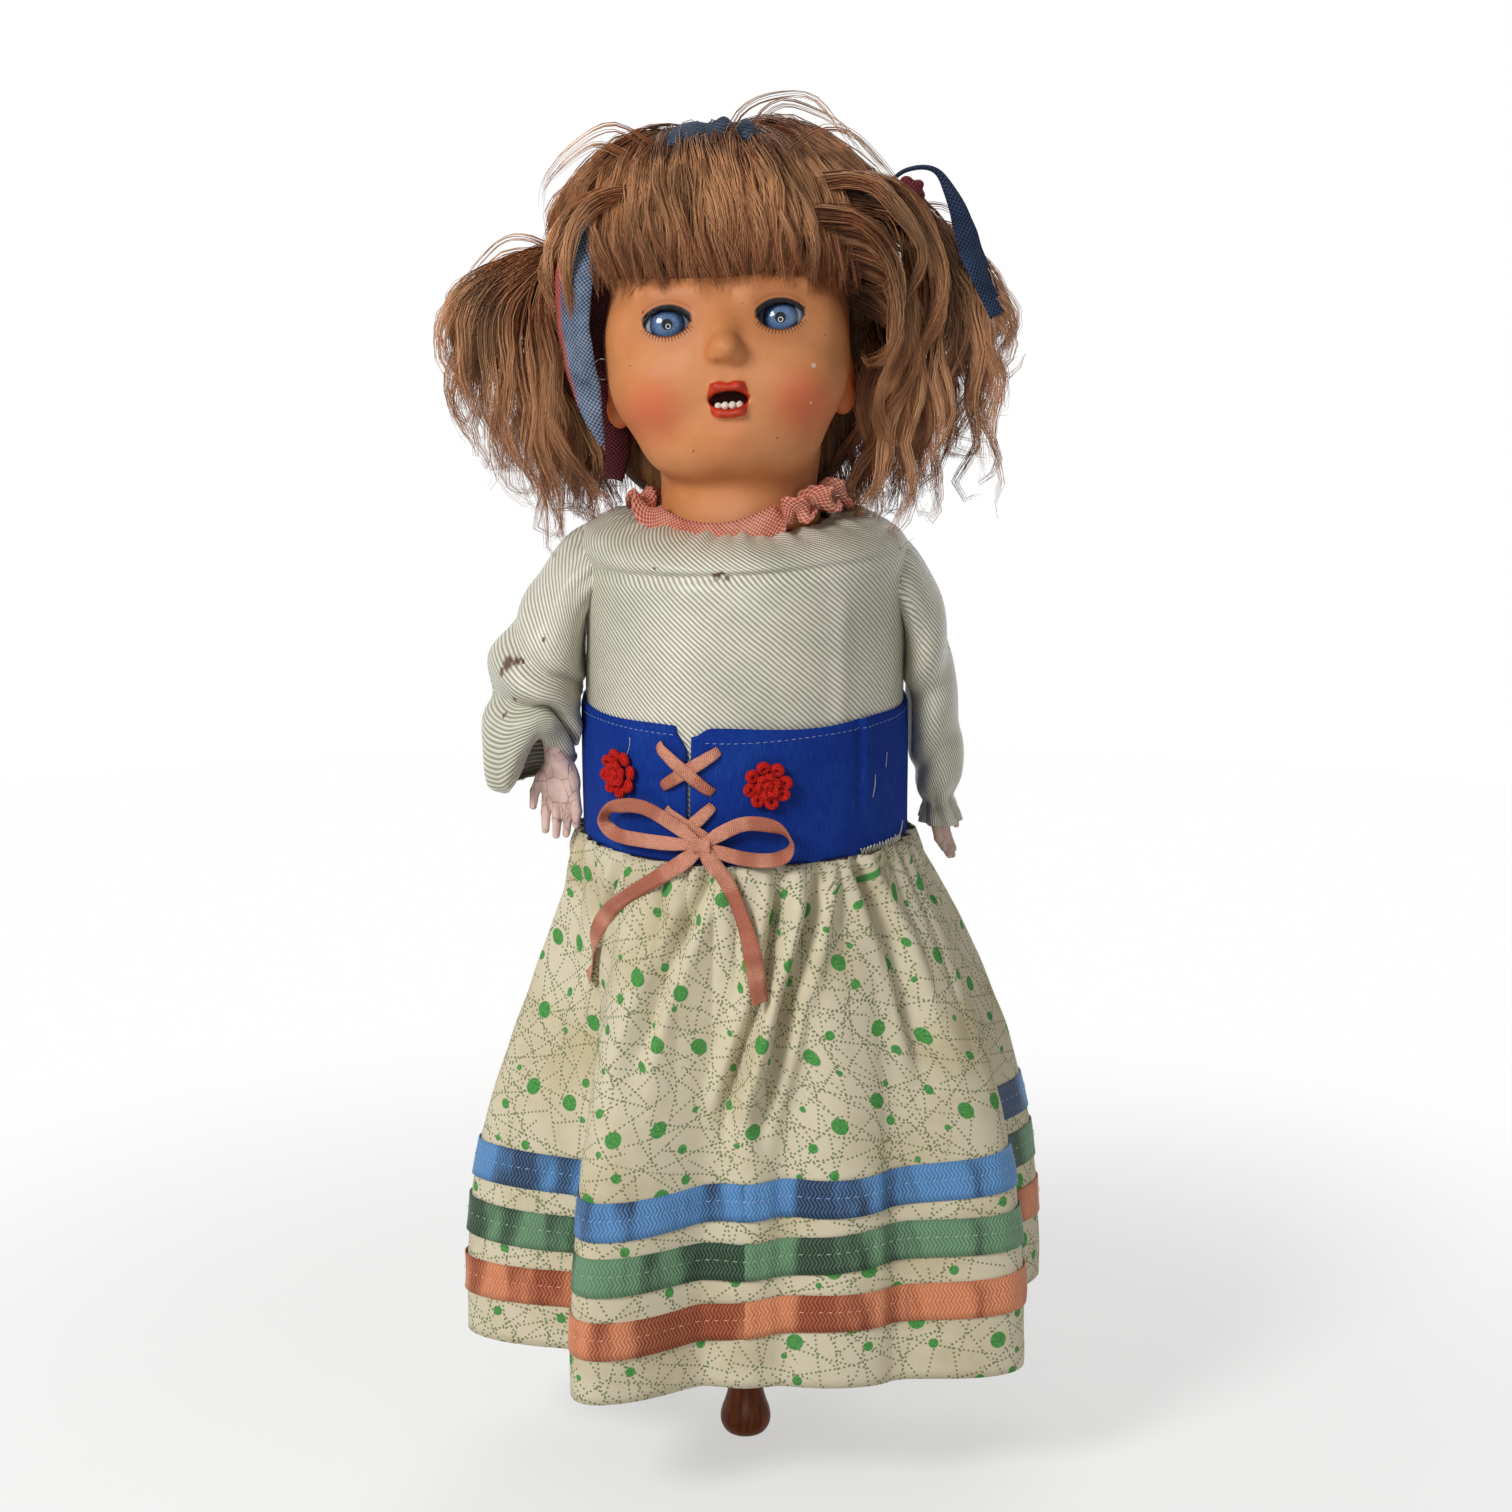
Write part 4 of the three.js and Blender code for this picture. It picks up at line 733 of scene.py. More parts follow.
skirt = {"top": 180.7, "drop": 144.7, "waist": 44.2, "flare": 2.2, "steepAt": -88, "steep": 6.3,
         "puffs": 34, "puffRise": 3.2, "columns": 620, "rows": 54, "cutRow": 43, "wall": 0.5,
         "folds": [(-164, 70), (-145, 55), (-124, 72), (-105, 58), (-84, 79), (-58, 51), (-36, 75),
                   (-12, 50.5), (9, 50.5), (40, 61), (64, 84), (90, 62), (113, 93), (135, 57),
                   (156, 70), (177, 55)],
         "creases": [{"path": [(12, 173), (5, 146), (-6, 116)], "width": 2.8, "depth": 4.2},
                     {"path": [(25, 176), (13, 142), (5, 112)], "width": 3.0, "depth": 3.8},
                     {"path": [(-48, 174), (-54, 155), (-58, 140)], "width": 3.0, "depth": 3.8},
                     {"path": [(-12, 177), (-23, 155), (-30, 128)], "width": 3.0, "depth": 3.0},
                     {"path": [(40, 178), (48, 158), (52, 126)], "width": 3.2, "depth": 3.6},
                     {"path": [(80, 176), (86, 150), (90, 120)], "width": 4.0, "depth": 2.2},
                     {"path": [(-85, 176), (-92, 150), (-96, 118)], "width": 4.0, "depth": 2.2},
                     {"path": [(130, 176), (134, 146), (136, 116)], "width": 4.2, "depth": 2.4},
                     {"path": [(-140, 176), (-144, 146), (-145, 112)], "width": 4.2, "depth": 2.4}]}


def hemRadius(angle):
    folds = np.array(skirt["folds"], float)
    starts = folds[:, 0] - folds[0, 0]
    stops = np.append(starts[1:], 360)
    a = (np.asarray(angle, float) - folds[0, 0]) % 360
    i = np.searchsorted(starts, a, side="right") - 1
    t = smooth(a, starts[i], stops[i])
    return folds[i, 1] + (folds[(i + 1) % len(folds), 1] - folds[i, 1]) * t


def skirtSurface(angle, z, lift=0.0):
    angle, z = np.broadcast_arrays(np.asarray(angle, float), np.asarray(z, float))
    share = np.clip((skirt["top"] - z) / skirt["drop"], 0, 1.05)
    offLeft = wrapped(angle - skirt["steepAt"])
    r = skirt["waist"] + (hemRadius(angle) - skirt["waist"]) * (1 - np.abs(1 - share) ** skirt["flare"])
    hollow = np.exp(-(offLeft / 40) ** 2 - ((share - 0.26) / 0.26) ** 2)
    r = r - skirt["steep"] * hollow * smooth(share, 0, 0.12)
    a = np.radians(angle)
    wander = 0.7 * np.sin(5 * a + 0.8) + 0.5 * np.sin(9 * a + 2 + 3 * share) + 0.35 * np.sin(17 * a + 1)
    puff = np.abs(np.sin(skirt["puffs"] / 2 * a + wander)) ** 0.8
    uneven = 0.72 + 0.28 * np.sin(7 * a + 1.3) * np.sin(3 * a + 0.4)
    depth = skirt["puffRise"] * uneven * (0.35 + 0.65 * np.exp(-share / 0.13))
    depth = depth * (1 - smooth(share, 0.12, 0.6))
    long = np.sin(12 * a + 1.4 * np.sin(4 * a) + 1.5 * share) * smooth(share, 0.04, 0.3)
    long = long * (1 - 0.75 * smooth(share, 0.5, 1))
    r = r + depth * (puff - 0.25) + 1.3 * long
    for line in skirt["creases"]:
        turns, levels = np.array(line["path"], float).T
        middle = np.interp(z, levels[::-1], turns[::-1])
        off = wrapped(angle - middle) / line["width"]
        fade = smooth(z, levels[-1] - 14, levels[-1] + 12) * (1 - smooth(z, levels[0] - 2, levels[0] + 10))
        profile = 0.75 * hump(off, 1.5, 1.1) - hump(off, 0, 1) + 0.75 * hump(off, -1.5, 1.1)
        r = r + line["depth"] * fade * profile
    r = r + 0.45 * ripples(a * 52, z, 21, 6, 26.0) * smooth(share, 0.02, 0.2)
    return polar(angle, r + lift, z)


def ringLength(points):
    return runLength(np.concatenate([points, points[:1]]))


def makeSkirt():
    angle = np.linspace(-180, 180, skirt["columns"], endpoint=False)
    level = skirt["top"] + 0.2 - skirt["drop"] * np.linspace(0, 1, skirt["rows"])
    points = skirtSurface(angle[None], level[:, None])
    rows = np.array([ringLength(row) for row in points])
    cut = rows[skirt["cutRow"]]
    # the print keeps its size up to the gathers: each row's own length, eased towards the cut's
    eased = 0.7 * rows + 0.3 * cut[None]
    front = skirt["columns"] // 2
    down = runLength(points)
    uv = paired(eased - eased[:, front:front + 1], down[:, None])
    cloth = grid("skirt_cloth", points, dotted("dotted_cotton_cloth"), uv, closed=True, flip=True)
    dressed(thickened(cloth, skirt["wall"], 0), "doll", "skirt")
    return cut[-1], down[-1]


skirtRibbons = {
    "blue": {"rise": 45.5, "thread": 0xA9BDD6, "light": 0x66A0DC, "dark": 0x0A1730},
    "green": {"rise": 29.5, "thread": 0xC3D0BC, "light": 0x76A27A, "dark": 0x0C2417},
    "salmon": {"rise": 12.5, "thread": 0xE8BCA2, "light": 0xF0996C, "dark": 0x84300F},
}
bandLook = {"width": 10.5, "lift": 0.75, "lean": 3.8, "highAt": 115, "columns": 720, "rows": 6, "wall": 0.3,
            "stitchAt": 0.55, "stitchPitch": 2.6, "stitch": (0.24, 0.3, 1.3)}


def ribbonLevel(angle, rise):
    hem = skirt["top"] - skirt["drop"]
    return hem + rise + bandLook["lean"] * (1 + np.cos(np.radians(angle - bandLook["highAt"])))


def makeSkirtRibbons():
    angle = np.linspace(0, 360, bandLook["columns"], endpoint=False)
    up = np.linspace(0, 1, bandLook["rows"])[:, None]
    lift, width = bandLook["lift"], bandLook["width"]
    for name, look in skirtRibbons.items():
        bottom = ribbonLevel(angle, look["rise"]) + 0.5 * np.sin(np.radians(angle * 5) + look["rise"])
        pucker = 0.25 * np.sin(np.radians(angle * 61))[None] * (up * (1 - up) * 4)
        points = skirtSurface(angle[None], bottom[None] + up * width, lift + pucker)
        run = ringLength(points[bandLook["rows"] // 2])
        finish = satin(f"satin_{name}", look["light"], look["dark"])
        band = grid(f"skirt_band_{name}", points, finish, paired(run[None], up * width), closed=True)
        thickened(band, bandLook["wall"], 0)
        dressed(band, "doll", f"skirt_ribbon_{name}")
        line = skirtSurface(angle, bottom + width * bandLook["stitchAt"], lift + 0.3)
        thread = threadFinish(f"thread_{name}", look["thread"], look["light"])
        row = stitched(f"band_stitch_{name}", [np.concatenate([line, line[:1]])], bandLook["stitchPitch"],
                       bandLook["stitch"], thread)
        dressed(row, "doll")


print("skirt:", [round(v) for v in makeSkirt()], "mm of cloth")
makeSkirtRibbons()
print("ribbons sewn round the skirt")

# blouse body, sleeves

blouse = {"radius": 43.3, "bottom": 173, "shoulder": 255.3, "topRadius": 24.5, "rise": 11.1, "neckX": -1.5,
          "neckRadius": 23.6, "neckTop": 265.6, "columns": 300, "rows": 44, "bendRows": 25, "wall": 0.5,
          "girth": 0.272, "spots": [(-7.2, 84.4, 1.7), (-5.6, 85.6, 1.2), (-4.6, 83.8, 1.0), (-24, 86, 0.7)]}


def blouseRadius(z):
    lift = np.clip((z - blouse["shoulder"]) / blouse["rise"], 0, 0.999)
    return blouse["topRadius"] + (blouse["radius"] - blouse["topRadius"]) * np.sqrt(1 - lift ** 2)


def makeBlouse():
    angle = np.linspace(-180, 180, blouse["columns"], endpoint=False)
    a = np.radians(angle)[None]
    straight = np.linspace(blouse["bottom"], blouse["shoulder"], blouse["rows"])
    bend = np.linspace(0, math.pi / 2, blouse["bendRows"] + 1)[1:]
    turnedIn = blouse["topRadius"] + (blouse["radius"] - blouse["topRadius"]) * np.cos(bend)
    upright = np.full(blouse["rows"], blouse["radius"])
    r = np.concatenate([upright, turnedIn, [blouse["neckRadius"]]])[:, None]
    raised = blouse["shoulder"] + blouse["rise"] * np.sin(bend)
    z = np.concatenate([straight, raised, [blouse["neckTop"]]])[:, None]
    side = np.abs(np.sin(a)) ** 3
    up = smooth(z, 238, 262)
    neck = hump(r, 27, 7) * smooth(z, 258, 266)
    gathers = np.sin(31 * a + 1.5 * np.sin(5 * a)) * 0.55 + np.sin(17 * a + 1) * 0.5
    front = np.clip(np.cos(a), 0, 1)
    crease = hump(z - 256.5, 2.0 * np.sin(a * 1.3 + 0.4), 1.3) * front
    belly = smooth(z, 215, 232) * (1 - smooth(z, 244, 258))
    bulge = 0.9 * belly * front + 1.8 * side * up * smooth(r, 30, 40)
    small = 0.4 * ripples(a * 44, z, 5, 6, 30.0)
    yoke = smooth(z, 256, 260) * (0.8 + 0.5 * np.sin(9 * a + 0.6) * front)
    yoke = yoke + 0.8 * hump(a, 0.62, 0.06) * smooth(z, 212, 222) * (1 - smooth(z, 246, 258))
    fullR = r + bulge + small * smooth(z, 176, 222) - 1.7 * crease + 0.5 * neck * gathers + yoke
    fullZ = z + neck * (0.8 * gathers + 1.6 * side) + 0.6 * crease
    fullZ = fullZ + 2.5 * side * smooth(z, 250, 266) * smooth(r, 26, 34)
    points = polar(angle[None], fullR, fullZ)
    points[..., 0] += blouse["neckX"] * smooth(fullZ, 256, 266)
    down = runLength(np.concatenate([r, z], 1))
    across = np.linspace(-math.pi, math.pi, blouse["columns"] + 1) * blouse["radius"]
    finish = twill("twill_body", spots=blouse["spots"])
    body = grid("blouse_body", points, finish, paired(across[None], down[:, None]), closed=True)
    dressed(thickened(body, blouse["wall"]), "doll", "blouse")


# rings down each sleeve: outer x, z, inner x, z, depth middle, half depth
# folds: place down the sleeve, width, depth, turn; slit: turn, spread, rise
sleeves = {
    "left": {"side": -1, "slit": (242, 44, 15.5), "ribTurn": 8,
             "folds": [(0.6, 0.04, 5.0, 40), (0.36, 0.03, 1.6, 200)],
             "spots": [(-35.5, 33, 2.4), (-33.5, 35, 1.7), (-36.5, 30.5, 1.4), (-31, 26, 1.1),
                       (-33, 20, 1.0), (-28, 45, 0.6), (-32, 36, 0.9)],
             "rings": [(35.5, 266.8, 43.6, 240, 0, 17), (47.5, 261.5, 44, 232, -0.5, 18),
                       (57, 248.5, 44, 224, -2, 18), (64.5, 235, 44.6, 214, -3.5, 17.5),
                       (70, 220, 45.6, 205, -5, 17), (71.4, 204, 46.6, 200, -6, 15.5),
                       (69.5, 195, 49.5, 196.5, -6.5, 13), (65.5, 192.6, 52.5, 195.4, -6.5, 9.5)]},
    "right": {"side": 1, "slit": None, "ribTurn": 62,
              "folds": [(0.3, 0.04, 2.6, 200), (0.55, 0.04, 1.2, 60)],
              "spots": [(8, 52, 0.7)],
              "rings": [(33.5, 266.5, 43.6, 240, 1, 16.5), (45, 258.5, 44, 232, 1.5, 17),
                        (52, 245.5, 44, 224, 3, 17), (56, 231, 44.6, 214, 5, 16.5),
                        (57.6, 216, 45.6, 205, 6.5, 15), (59.8, 204, 46.8, 197, 7.5, 13.5),
                        (59.8, 195, 47.8, 190.5, 8, 11.5), (57.2, 188.2, 50.2, 186.2, 8, 6.8),
                        (58.6, 184, 49.6, 183, 8, 8.6), (59.6, 181, 49, 180.6, 8, 9.4)]},
}
sleeveCloth = {"columns": 120, "rows": 84, "wall": 0.5, "cutWidth": 98, "slitTop": 232,
               "beltTop": 219, "offBelt": 45.6, "offBlouse": 0.6}


def sleevePoints(look):
    t = np.linspace(0, 1, sleeveCloth["rows"])
    outX, outZ, inX, inZ, midY, halfY = along(look["rings"], t).T
    phi = fullTurn(sleeveCloth["columns"])
    # phi 0 is the outer side, 90 degrees the back
    c = np.sign(np.cos(phi)) * np.abs(np.cos(phi)) ** 0.9
    x = (outX + inX)[:, None] / 2 + (outX - inX)[:, None] / 2 * c
    z = (outZ + inZ)[:, None] / 2 + (outZ - inZ)[:, None] / 2 * c
    y = midY[:, None] + halfY[:, None] * np.sin(phi)
    middle = np.stack([(outX + inX) / 2, midY, (outZ + inZ) / 2], -1)[:, None]
    points = np.stack(np.broadcast_arrays(x, y, z), -1)
    outward = unit(points - middle)
    tt, pp = np.meshgrid(t, phi, indexing="ij")
    push = 0.55 * ripples(pp * 13, tt * 75, 31 + look["side"], 7, 24.0) * smooth(tt, 0.0, 0.15)
    push = push + 0.7 * np.sin(pp * 9 + 2.2 * np.sin(tt * 5 + pp)) * smooth(tt, 0.55, 0.9)
    push = push + 0.45 * np.sin(pp * 15 + 1.5) * (1 - smooth(tt, 0.0, 0.22))
    for at, width, depth, turn in look["folds"]:
        slope = 0.05 * np.sin(pp - math.radians(turn))
        push = push - depth * hump(tt - at, slope, width) * (0.55 + 0.45 * np.cos(pp - math.radians(270)))
        push = push + 0.5 * depth * hump(tt - at - slope, -2.0 * width, 1.4 * width)
    points = points + outward * push[..., None]
    if look["slit"]:
        turn, spread, rise = look["slit"]
        gap = hump(wrapped(np.degrees(pp) - turn), 0, spread)
        top, low = sleeveCloth["slitTop"], points[..., 2].min()
        points[..., 2] += gap * rise * np.clip((top - points[..., 2]) / (top - low), 0, 1)
    points[..., 0] *= look["side"]
    # the cloth lies on the blouse and the belt, not in them
    r = np.hypot(points[..., 0], points[..., 1])
    z = points[..., 2]
    beltTop = sleeveCloth["beltTop"]
    overBelt = sleeveCloth["offBelt"] + 0.5 * smooth(beltTop - z, 0, 4)
    least = np.where(z > beltTop, blouseRadius(z) + sleeveCloth["offBlouse"], overBelt)
    least = np.where(tt < 0.02, 0, least)
    grow = np.maximum(r, least) / np.maximum(r, 1e-6)
    points[..., :2] *= grow[..., None]
    return points


def makeSleeve(name, look):
    points = sleevePoints(look)
    side = look["side"]
    around = np.linspace(-0.5, 0.5, sleeveCloth["columns"] + 1) * sleeveCloth["cutWidth"] * side
    down = runLength(points)
    uv = paired(around[None], down[-1] - down[:, None])
    finish = twill(f"twill_sleeve_{name}", look["ribTurn"], look["spots"])
    cloth = grid(f"sleeve_cloth_{name}", points, finish, uv, closed=True, flip=side < 0)
    thickened(cloth, sleeveCloth["wall"])
    side * 0.044
    side * 0.05
    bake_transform(cloth)
    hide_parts(f"sleeve_{name}")
    corner = points[:-1, :-1]
    area = float(np.linalg.norm(np.cross(points[1:, :-1] - corner, points[:-1, 1:] - corner), axis=-1).sum())


makeBlouse()
for sleeveName, sleeveLook in sleeves.items():
    makeSleeve(sleeveName, sleeveLook)
print("blouse and sleeves laid on")

# belt, lacing, flowers and bow

belt = {"radius": 44.7, "bottom": 181, "top": 217.5, "edgeRight": -18.7, "edgeLeft": -20.0,
        "columns": 300, "rows": 30, "wall": 0.9, "flat": (0.28, 0.0365),
        "seamAt": 215.4, "seamRun": (-12.5, 334.5), "seamPitch": 1.9, "seam": (0.18, 0.26, 1.25),
        "overcast": 0.16, "overcastRun": (43, 68), "overcastLevels": (182.6, 180.9), "lint": 0.07}


def beltPoint(angle, z, lift=0.0):
    a = np.radians(angle)
    swell = 0.35 * np.sin(3 * a + 1) * smooth(z, 200, 217) + 0.25 * ripples(a * 44, z, 9, 5, 34.0)
    fold = -0.8 * hump(angle, 43, 1.6) + 0.7 * hump(angle, 46.5, 2.2)
    return polar(angle, belt["radius"] + swell + fold * smooth(z, 184, 200) + lift, z)


def makeBelt():
    s = np.linspace(0, 1, belt["columns"])[None]
    up = np.linspace(0, 1, belt["rows"])[:, None]
    topRight = belt["top"] - 2.4 * (1 - smooth(s, 0, 0.02))
    z = belt["bottom"] + up * (topRight - belt["bottom"]) + 0.3 * np.sin(s * 40) * up
    last = 360 + belt["edgeLeft"] - 4.4 * smooth(z, 210.3, 217.8)
    first = belt["edgeRight"] + 0.5 * smooth(z, 200, 217)
    angle = first + (last - first) * s
    points = beltPoint(angle, z, -0.5 * hump(z, belt["top"], 1.2))
    finish = cotton("royal_cotton_cloth", 0x0A2C84, 0x1F50A6, 0.7)
    cloth = grid("belt_cloth", points, finish, paired(np.radians(angle) * belt["radius"], z))
    dressed(thickened(cloth, belt["wall"]), "doll", "belt")


def makeBeltThreads():
    turn = np.linspace(*belt["seamRun"], 420)
    seam = beltPoint(turn, belt["seamAt"] - 1.6 * hump(turn, -12, 30), 0.1)
    thread = threadFinish("belt_thread", 0x8C9AB4, 0x4E68A8)
    dressed(stitched("belt_seam", [seam], belt["seamPitch"], belt["seam"], thread), "doll")
    # a mended stretch of the lower edge, overcast in zigzag, and lint that clings to the cloth
    turn = np.linspace(*belt["overcastRun"], 60)
    zig = np.where(np.arange(60) % 4 < 2, *belt["overcastLevels"])
    zig = zig + np.random.default_rng(4).normal(0, 0.25, 60)
    mended = [beltPoint(turn, zig + 0.012 * (turn - belt["overcastRun"][0]), 0.6),
              beltPoint(np.linspace(66, 70, 12), np.linspace(181, 186, 12), 0.7)]
    dressed(tubeRun("belt_overcast", mended, belt["overcast"], whiteThread), "doll")
    arch = 0.45 + 0.3 * np.sin(np.linspace(0, 3.1, 14))
    stray = [beltPoint(np.linspace(49, 50.5, 14), np.linspace(196, 202, 14), arch),
             beltPoint(-44 + 1.5 * np.sin(np.linspace(0, 2, 14)), np.linspace(208, 213, 14), 0.4),
             beltPoint(np.linspace(57, 58, 10), np.linspace(203, 207, 10), 0.4)]
    dressed(tubeRun("belt_lint", stray, belt["lint"], whiteThread), "doll")


def tubeRun(name, paths, radius, finish):
    made = [tube(f"{name}_{k}", path, radius, finish, 5) for k, path in enumerate(paths)]
    return joinedPieces(name, made)


def joinedPieces(name, objects):
    bm = bmesh.new()
    for obj in objects:
        bm.from_mesh(obj.data)
    mesh = bpy.data.meshes.new(name)
    for slot in objects[0].data.materials:
        mesh.materials.append(slot)
    bm.to_mesh(mesh)
    bm.free()
    for obj in objects:
        spent = obj.data
        bpy.data.objects.remove(obj)
        bpy.data.meshes.remove(spent)
    mesh.shade_smooth()
    return shown(name, mesh)


def sideways(angle):
    # direction to the viewer's right, along the round
    return np.array([math.cos(math.radians(angle)), math.sin(math.radians(angle)), 0])


lacing = {"width": 3.5, "radius": 45.9,
          "upper": [((-30.3, 212.5), (-10.6, 200.6)), ((-8.5, 212), (-28.9, 201.1))],
          "lower": [((-27.4, 195.2), (-9.3, 187.1)), ((-10.6, 197.1), (-22.2, 187.8))]}
lacingFinish = satin("satin_lacing", 0xE6A083, 0xAE5C43, 0.6)


def makeLacing():
    for name in ("upper", "lower"):
        crossing = []
        for k, (a, b) in enumerate(lacing[name]):
            t = np.linspace(0, 1, 30)
            angle, z = a[0] + (b[0] - a[0]) * t, a[1] + (b[1] - a[1]) * t
            over = (0.55 if k == 0 else 0.05) * np.sin(math.pi * t) ** 1.5
            ends = 1.1 * (1 - smooth(t, 0, 0.1) * (1 - smooth(t, 0.9, 1)))
            path = polar(angle, lacing["radius"] + over - ends, z)
            radial = polar(angle, 1.0, 0 * z)
            across = unit(np.cross(radial, np.gradient(path, axis=0)))
            pinch = 0.62 + 0.38 * np.sin(math.pi * np.clip(t, 0.02, 0.98)) ** 0.5
            half = across * (lacing["width"] / 2 * pinch)[:, None]
            crossing.append(strip(f"lace_{name}_{k}", path, half, lacingFinish, bulge=0.25))
        for obj in crossing:
            dressed(obj, "doll")
        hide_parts(f"lacing_{name}")


# rounds of crochet loops: radius, lift, count, size
flower = {"level": 203, "offAxis": 45.6, "places": {"left": -46.5, "right": 7.5}, "yarn": 0.95,
          "rounds": [(4.7, 0.9, 8, 1.75), (2.0, 1.5, 6, 1.15), (0.0, 1.9, 1, 1.2)]}


def yarnFinish(name):
    p = Paint(name, Roughness=0.9, Specular_IOR_Level=0.15)
    u, v, _ = p.parts(p.place("UV"))
    ply = ((u * 2.2 + v * 1.0) * (math.tau / 0.0016)).sin()
    fuzz = p.noise(p.place(), 1600.0, 3.0)
    share = fuzz.step(0.3, 0.75) * 0.6 + ply.step(-1.0, 0.4) * 0.4
    return p.done(p.mix(share, rgb(0xD0100C), rgb(0xFA3528)), None, ply + fuzz * 1.4, 0.00025)


def makeFlowers():
    yarn = yarnFinish("red_yarn_ply")
    for name, angle in flower["places"].items():
        out, right = polar(np.array(angle), 1.0, 0.0), sideways(angle)
        middle = polar(np.array(angle), flower["offAxis"], np.array(float(flower["level"])))
        loops = []
        shake = np.random.default_rng(int(angle * 10) % 97)
        for radius, lift, count, size in flower["rounds"]:
            for k in range(count):
                turn = math.tau * (k + 0.25) / count + shake.normal(0, 0.06)
                t = np.linspace(0, math.tau * 1.06, 18)
                loopX = radius * math.cos(turn) + size * 0.62 * np.cos(t + turn)
                loopY = radius * math.sin(turn) + size * 0.62 * np.sin(t + turn)
                loopZ = lift + 0.45 * np.cos(t) + 0.03 * t - 0.02 * radius ** 2
                path = middle + loopX[:, None] * right + loopY[:, None] * np.array([0, 0, 1.0])
                path = path + loopZ[:, None] * out
                thick = flower["yarn"] * (0.95 if radius else 0.8)
                loops.append(tube(f"loop{len(loops)}", path, thick, yarn, 8))
        dressed(joinedPieces(f"crochet_flower_{name}", loops), "doll", f"flower_{name}")


bow = {"angle": -13.5, "level": 186.8, "radius": 46.3, "width": 3.9,
       "knotRise": 2.4, "knotHalf": 2.5, "knotWide": 2.3,
       "loopLeft": [(0, 0, 1.2), (-8, 4.5, 1.4), (-20, 9, 2.2), (-31, 7.8, 3.0), (-36.5, 3.6, 2.8),
                    (-32, 0.2, 2.0), (-20, -0.2, 1.4), (0, 0, 0.8)],
       "loopRight": [(0, 0, 1.2), (6, 3.6, 1.5), (14, 6.6, 2.3), (23, 5.6, 3.2), (28, 0.8, 3.0),
                     (24, -3.2, 2.2), (13, -3, 1.6), (0, 0, 0.8)],
       "tailLeft": [(0, 0), (-6, -4.5), (-18, -11.5), (-32, -21), (-42, -34), (-48, -43)],
       "tailRight": [(0, 0), (3, -4), (9, -11), (15, -25), (18, -41)]}


def bowLoop(name, stands):
    # stands: which way the ribbon's edge turns where the loop bends back
    t = np.linspace(0, 1, 70)
    turn, rise, lift = along(bow[name], t).T
    angle = bow["angle"] + turn
    path = polar(angle, bow["radius"] + lift, bow["level"] + rise)
    radial = polar(angle, 1.0, 0 * angle)
    inPlane = unit(np.cross(radial, np.gradient(path, axis=0)))
    stand = hump(t, 0.56, 0.13)[:, None]
    across = unit(inPlane * (1 - stand) + radial * stand * stands)
    pinch = 0.5 + 0.5 * smooth(t, 0, 0.14) * (1 - smooth(t, 0.9, 1))
    return strip(f"bow_{name}", path, across * (bow["width"] / 2 * pinch)[:, None], lacingFinish)


def bowTail(name, phase):
    t = np.linspace(0, 1, 60)
    turn, rise = along(bow[name], t).T
    angle, z = bow["angle"] + turn, bow["level"] + rise
    # the tail lies on the skirt's highest places near it
    near = [skirtSurface(angle + a, np.minimum(z + b, skirt["top"]))
            for a in (-4, 0, 4) for b in (-2, 0, 2)]
    r = evened(np.max([np.hypot(s[:, 0], s[:, 1]) for s in near], axis=0), 4) + 1.0
    r = np.maximum(r, np.where(z > 179, bow["radius"] + 0.9, 0))
    path = polar(angle, r, z)
    radial = unit(polar(angle, 1.0, 0 * angle))
    across = unit(np.cross(radial, np.gradient(path, axis=0)))
    twist = 0.55 * np.sin(t * 9 + phase) * smooth(t, 0.1, 0.4)
    across = unit(across * np.cos(twist)[:, None] + radial * np.sin(twist)[:, None])
    width = bow["width"] / 2 * (0.65 + 0.65 * smooth(t, 0, 0.25)) * (0.9 + 0.1 * np.cos(t * 7))
    return strip(f"bow_{name}", path, across * width[:, None], lacingFinish, rows=5)


def bowKnot():
    t = np.linspace(-1, 1, 24)
    bulge = bow["knotRise"] * np.sqrt(np.maximum(1 - t ** 2, 0))
    path = polar(bow["angle"] + 0 * t, bow["radius"] + bulge, bow["level"] + bow["knotHalf"] * t)
    half = sideways(bow["angle"]) * bow["knotWide"]
    return strip("bow_knot", path, half + 0 * path, lacingFinish, wall=0.5, bulge=0.5)


def makeBow():
    made = [bowLoop("loopLeft", -1.0), bowLoop("loopRight", 1.0), bowTail("tailLeft", 0),
            bowTail("tailRight", 2), bowKnot()]
    for obj in made:
        dressed(obj, "doll")
    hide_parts("bow")


makeBelt()
makeBeltThreads()
makeLacing()
makeFlowers()
makeBow()
print("belt laced and tied")

# head: one closed form with lids, nose, lips and ears worked into it

head = {"at": (-4.9, 2, 315), "pitch": -10, "roll": -3.6, "eye": (14.7, -19.7, 2), "eyeRadius": 9.3,
        "crown": 34, "mouth": (0, -18.6), "neck": (-1.5, 22, 265.7),
        "box": ((-39, -47, -54.6), (39, 45, 36)), "cell": 0.72}
headTurn = np.array(Matrix.Rotation(math.radians(head["roll"]), 3, "Y")
                    @ Matrix.Rotation(math.radians(head["pitch"]), 3, "X"))


def fromHead(points):
    return np.asarray(points, float) @ headTurn.T + np.array(head["at"])


def fromUpright(points):
    # points given from the head's middle in upright axes
    return np.asarray(points, float) + np.array(head["at"])


def arcRadius(half, rise):
    return (half ** 2 + rise ** 2) / (2 * rise)


def almond(x, z, half, up, down):
    # pointed oval between an upper and a lower arc
    ru, rd = arcRadius(half, up), arcRadius(half, down)
    return np.maximum(np.hypot(x, z - up + ru) - ru, np.hypot(x, z + down - rd) - rd)


eyeOpening = {"half": 6.1, "up": 3.5, "down": 3.1}
mouthOpening = {"half": 5.1, "high": 2.35}
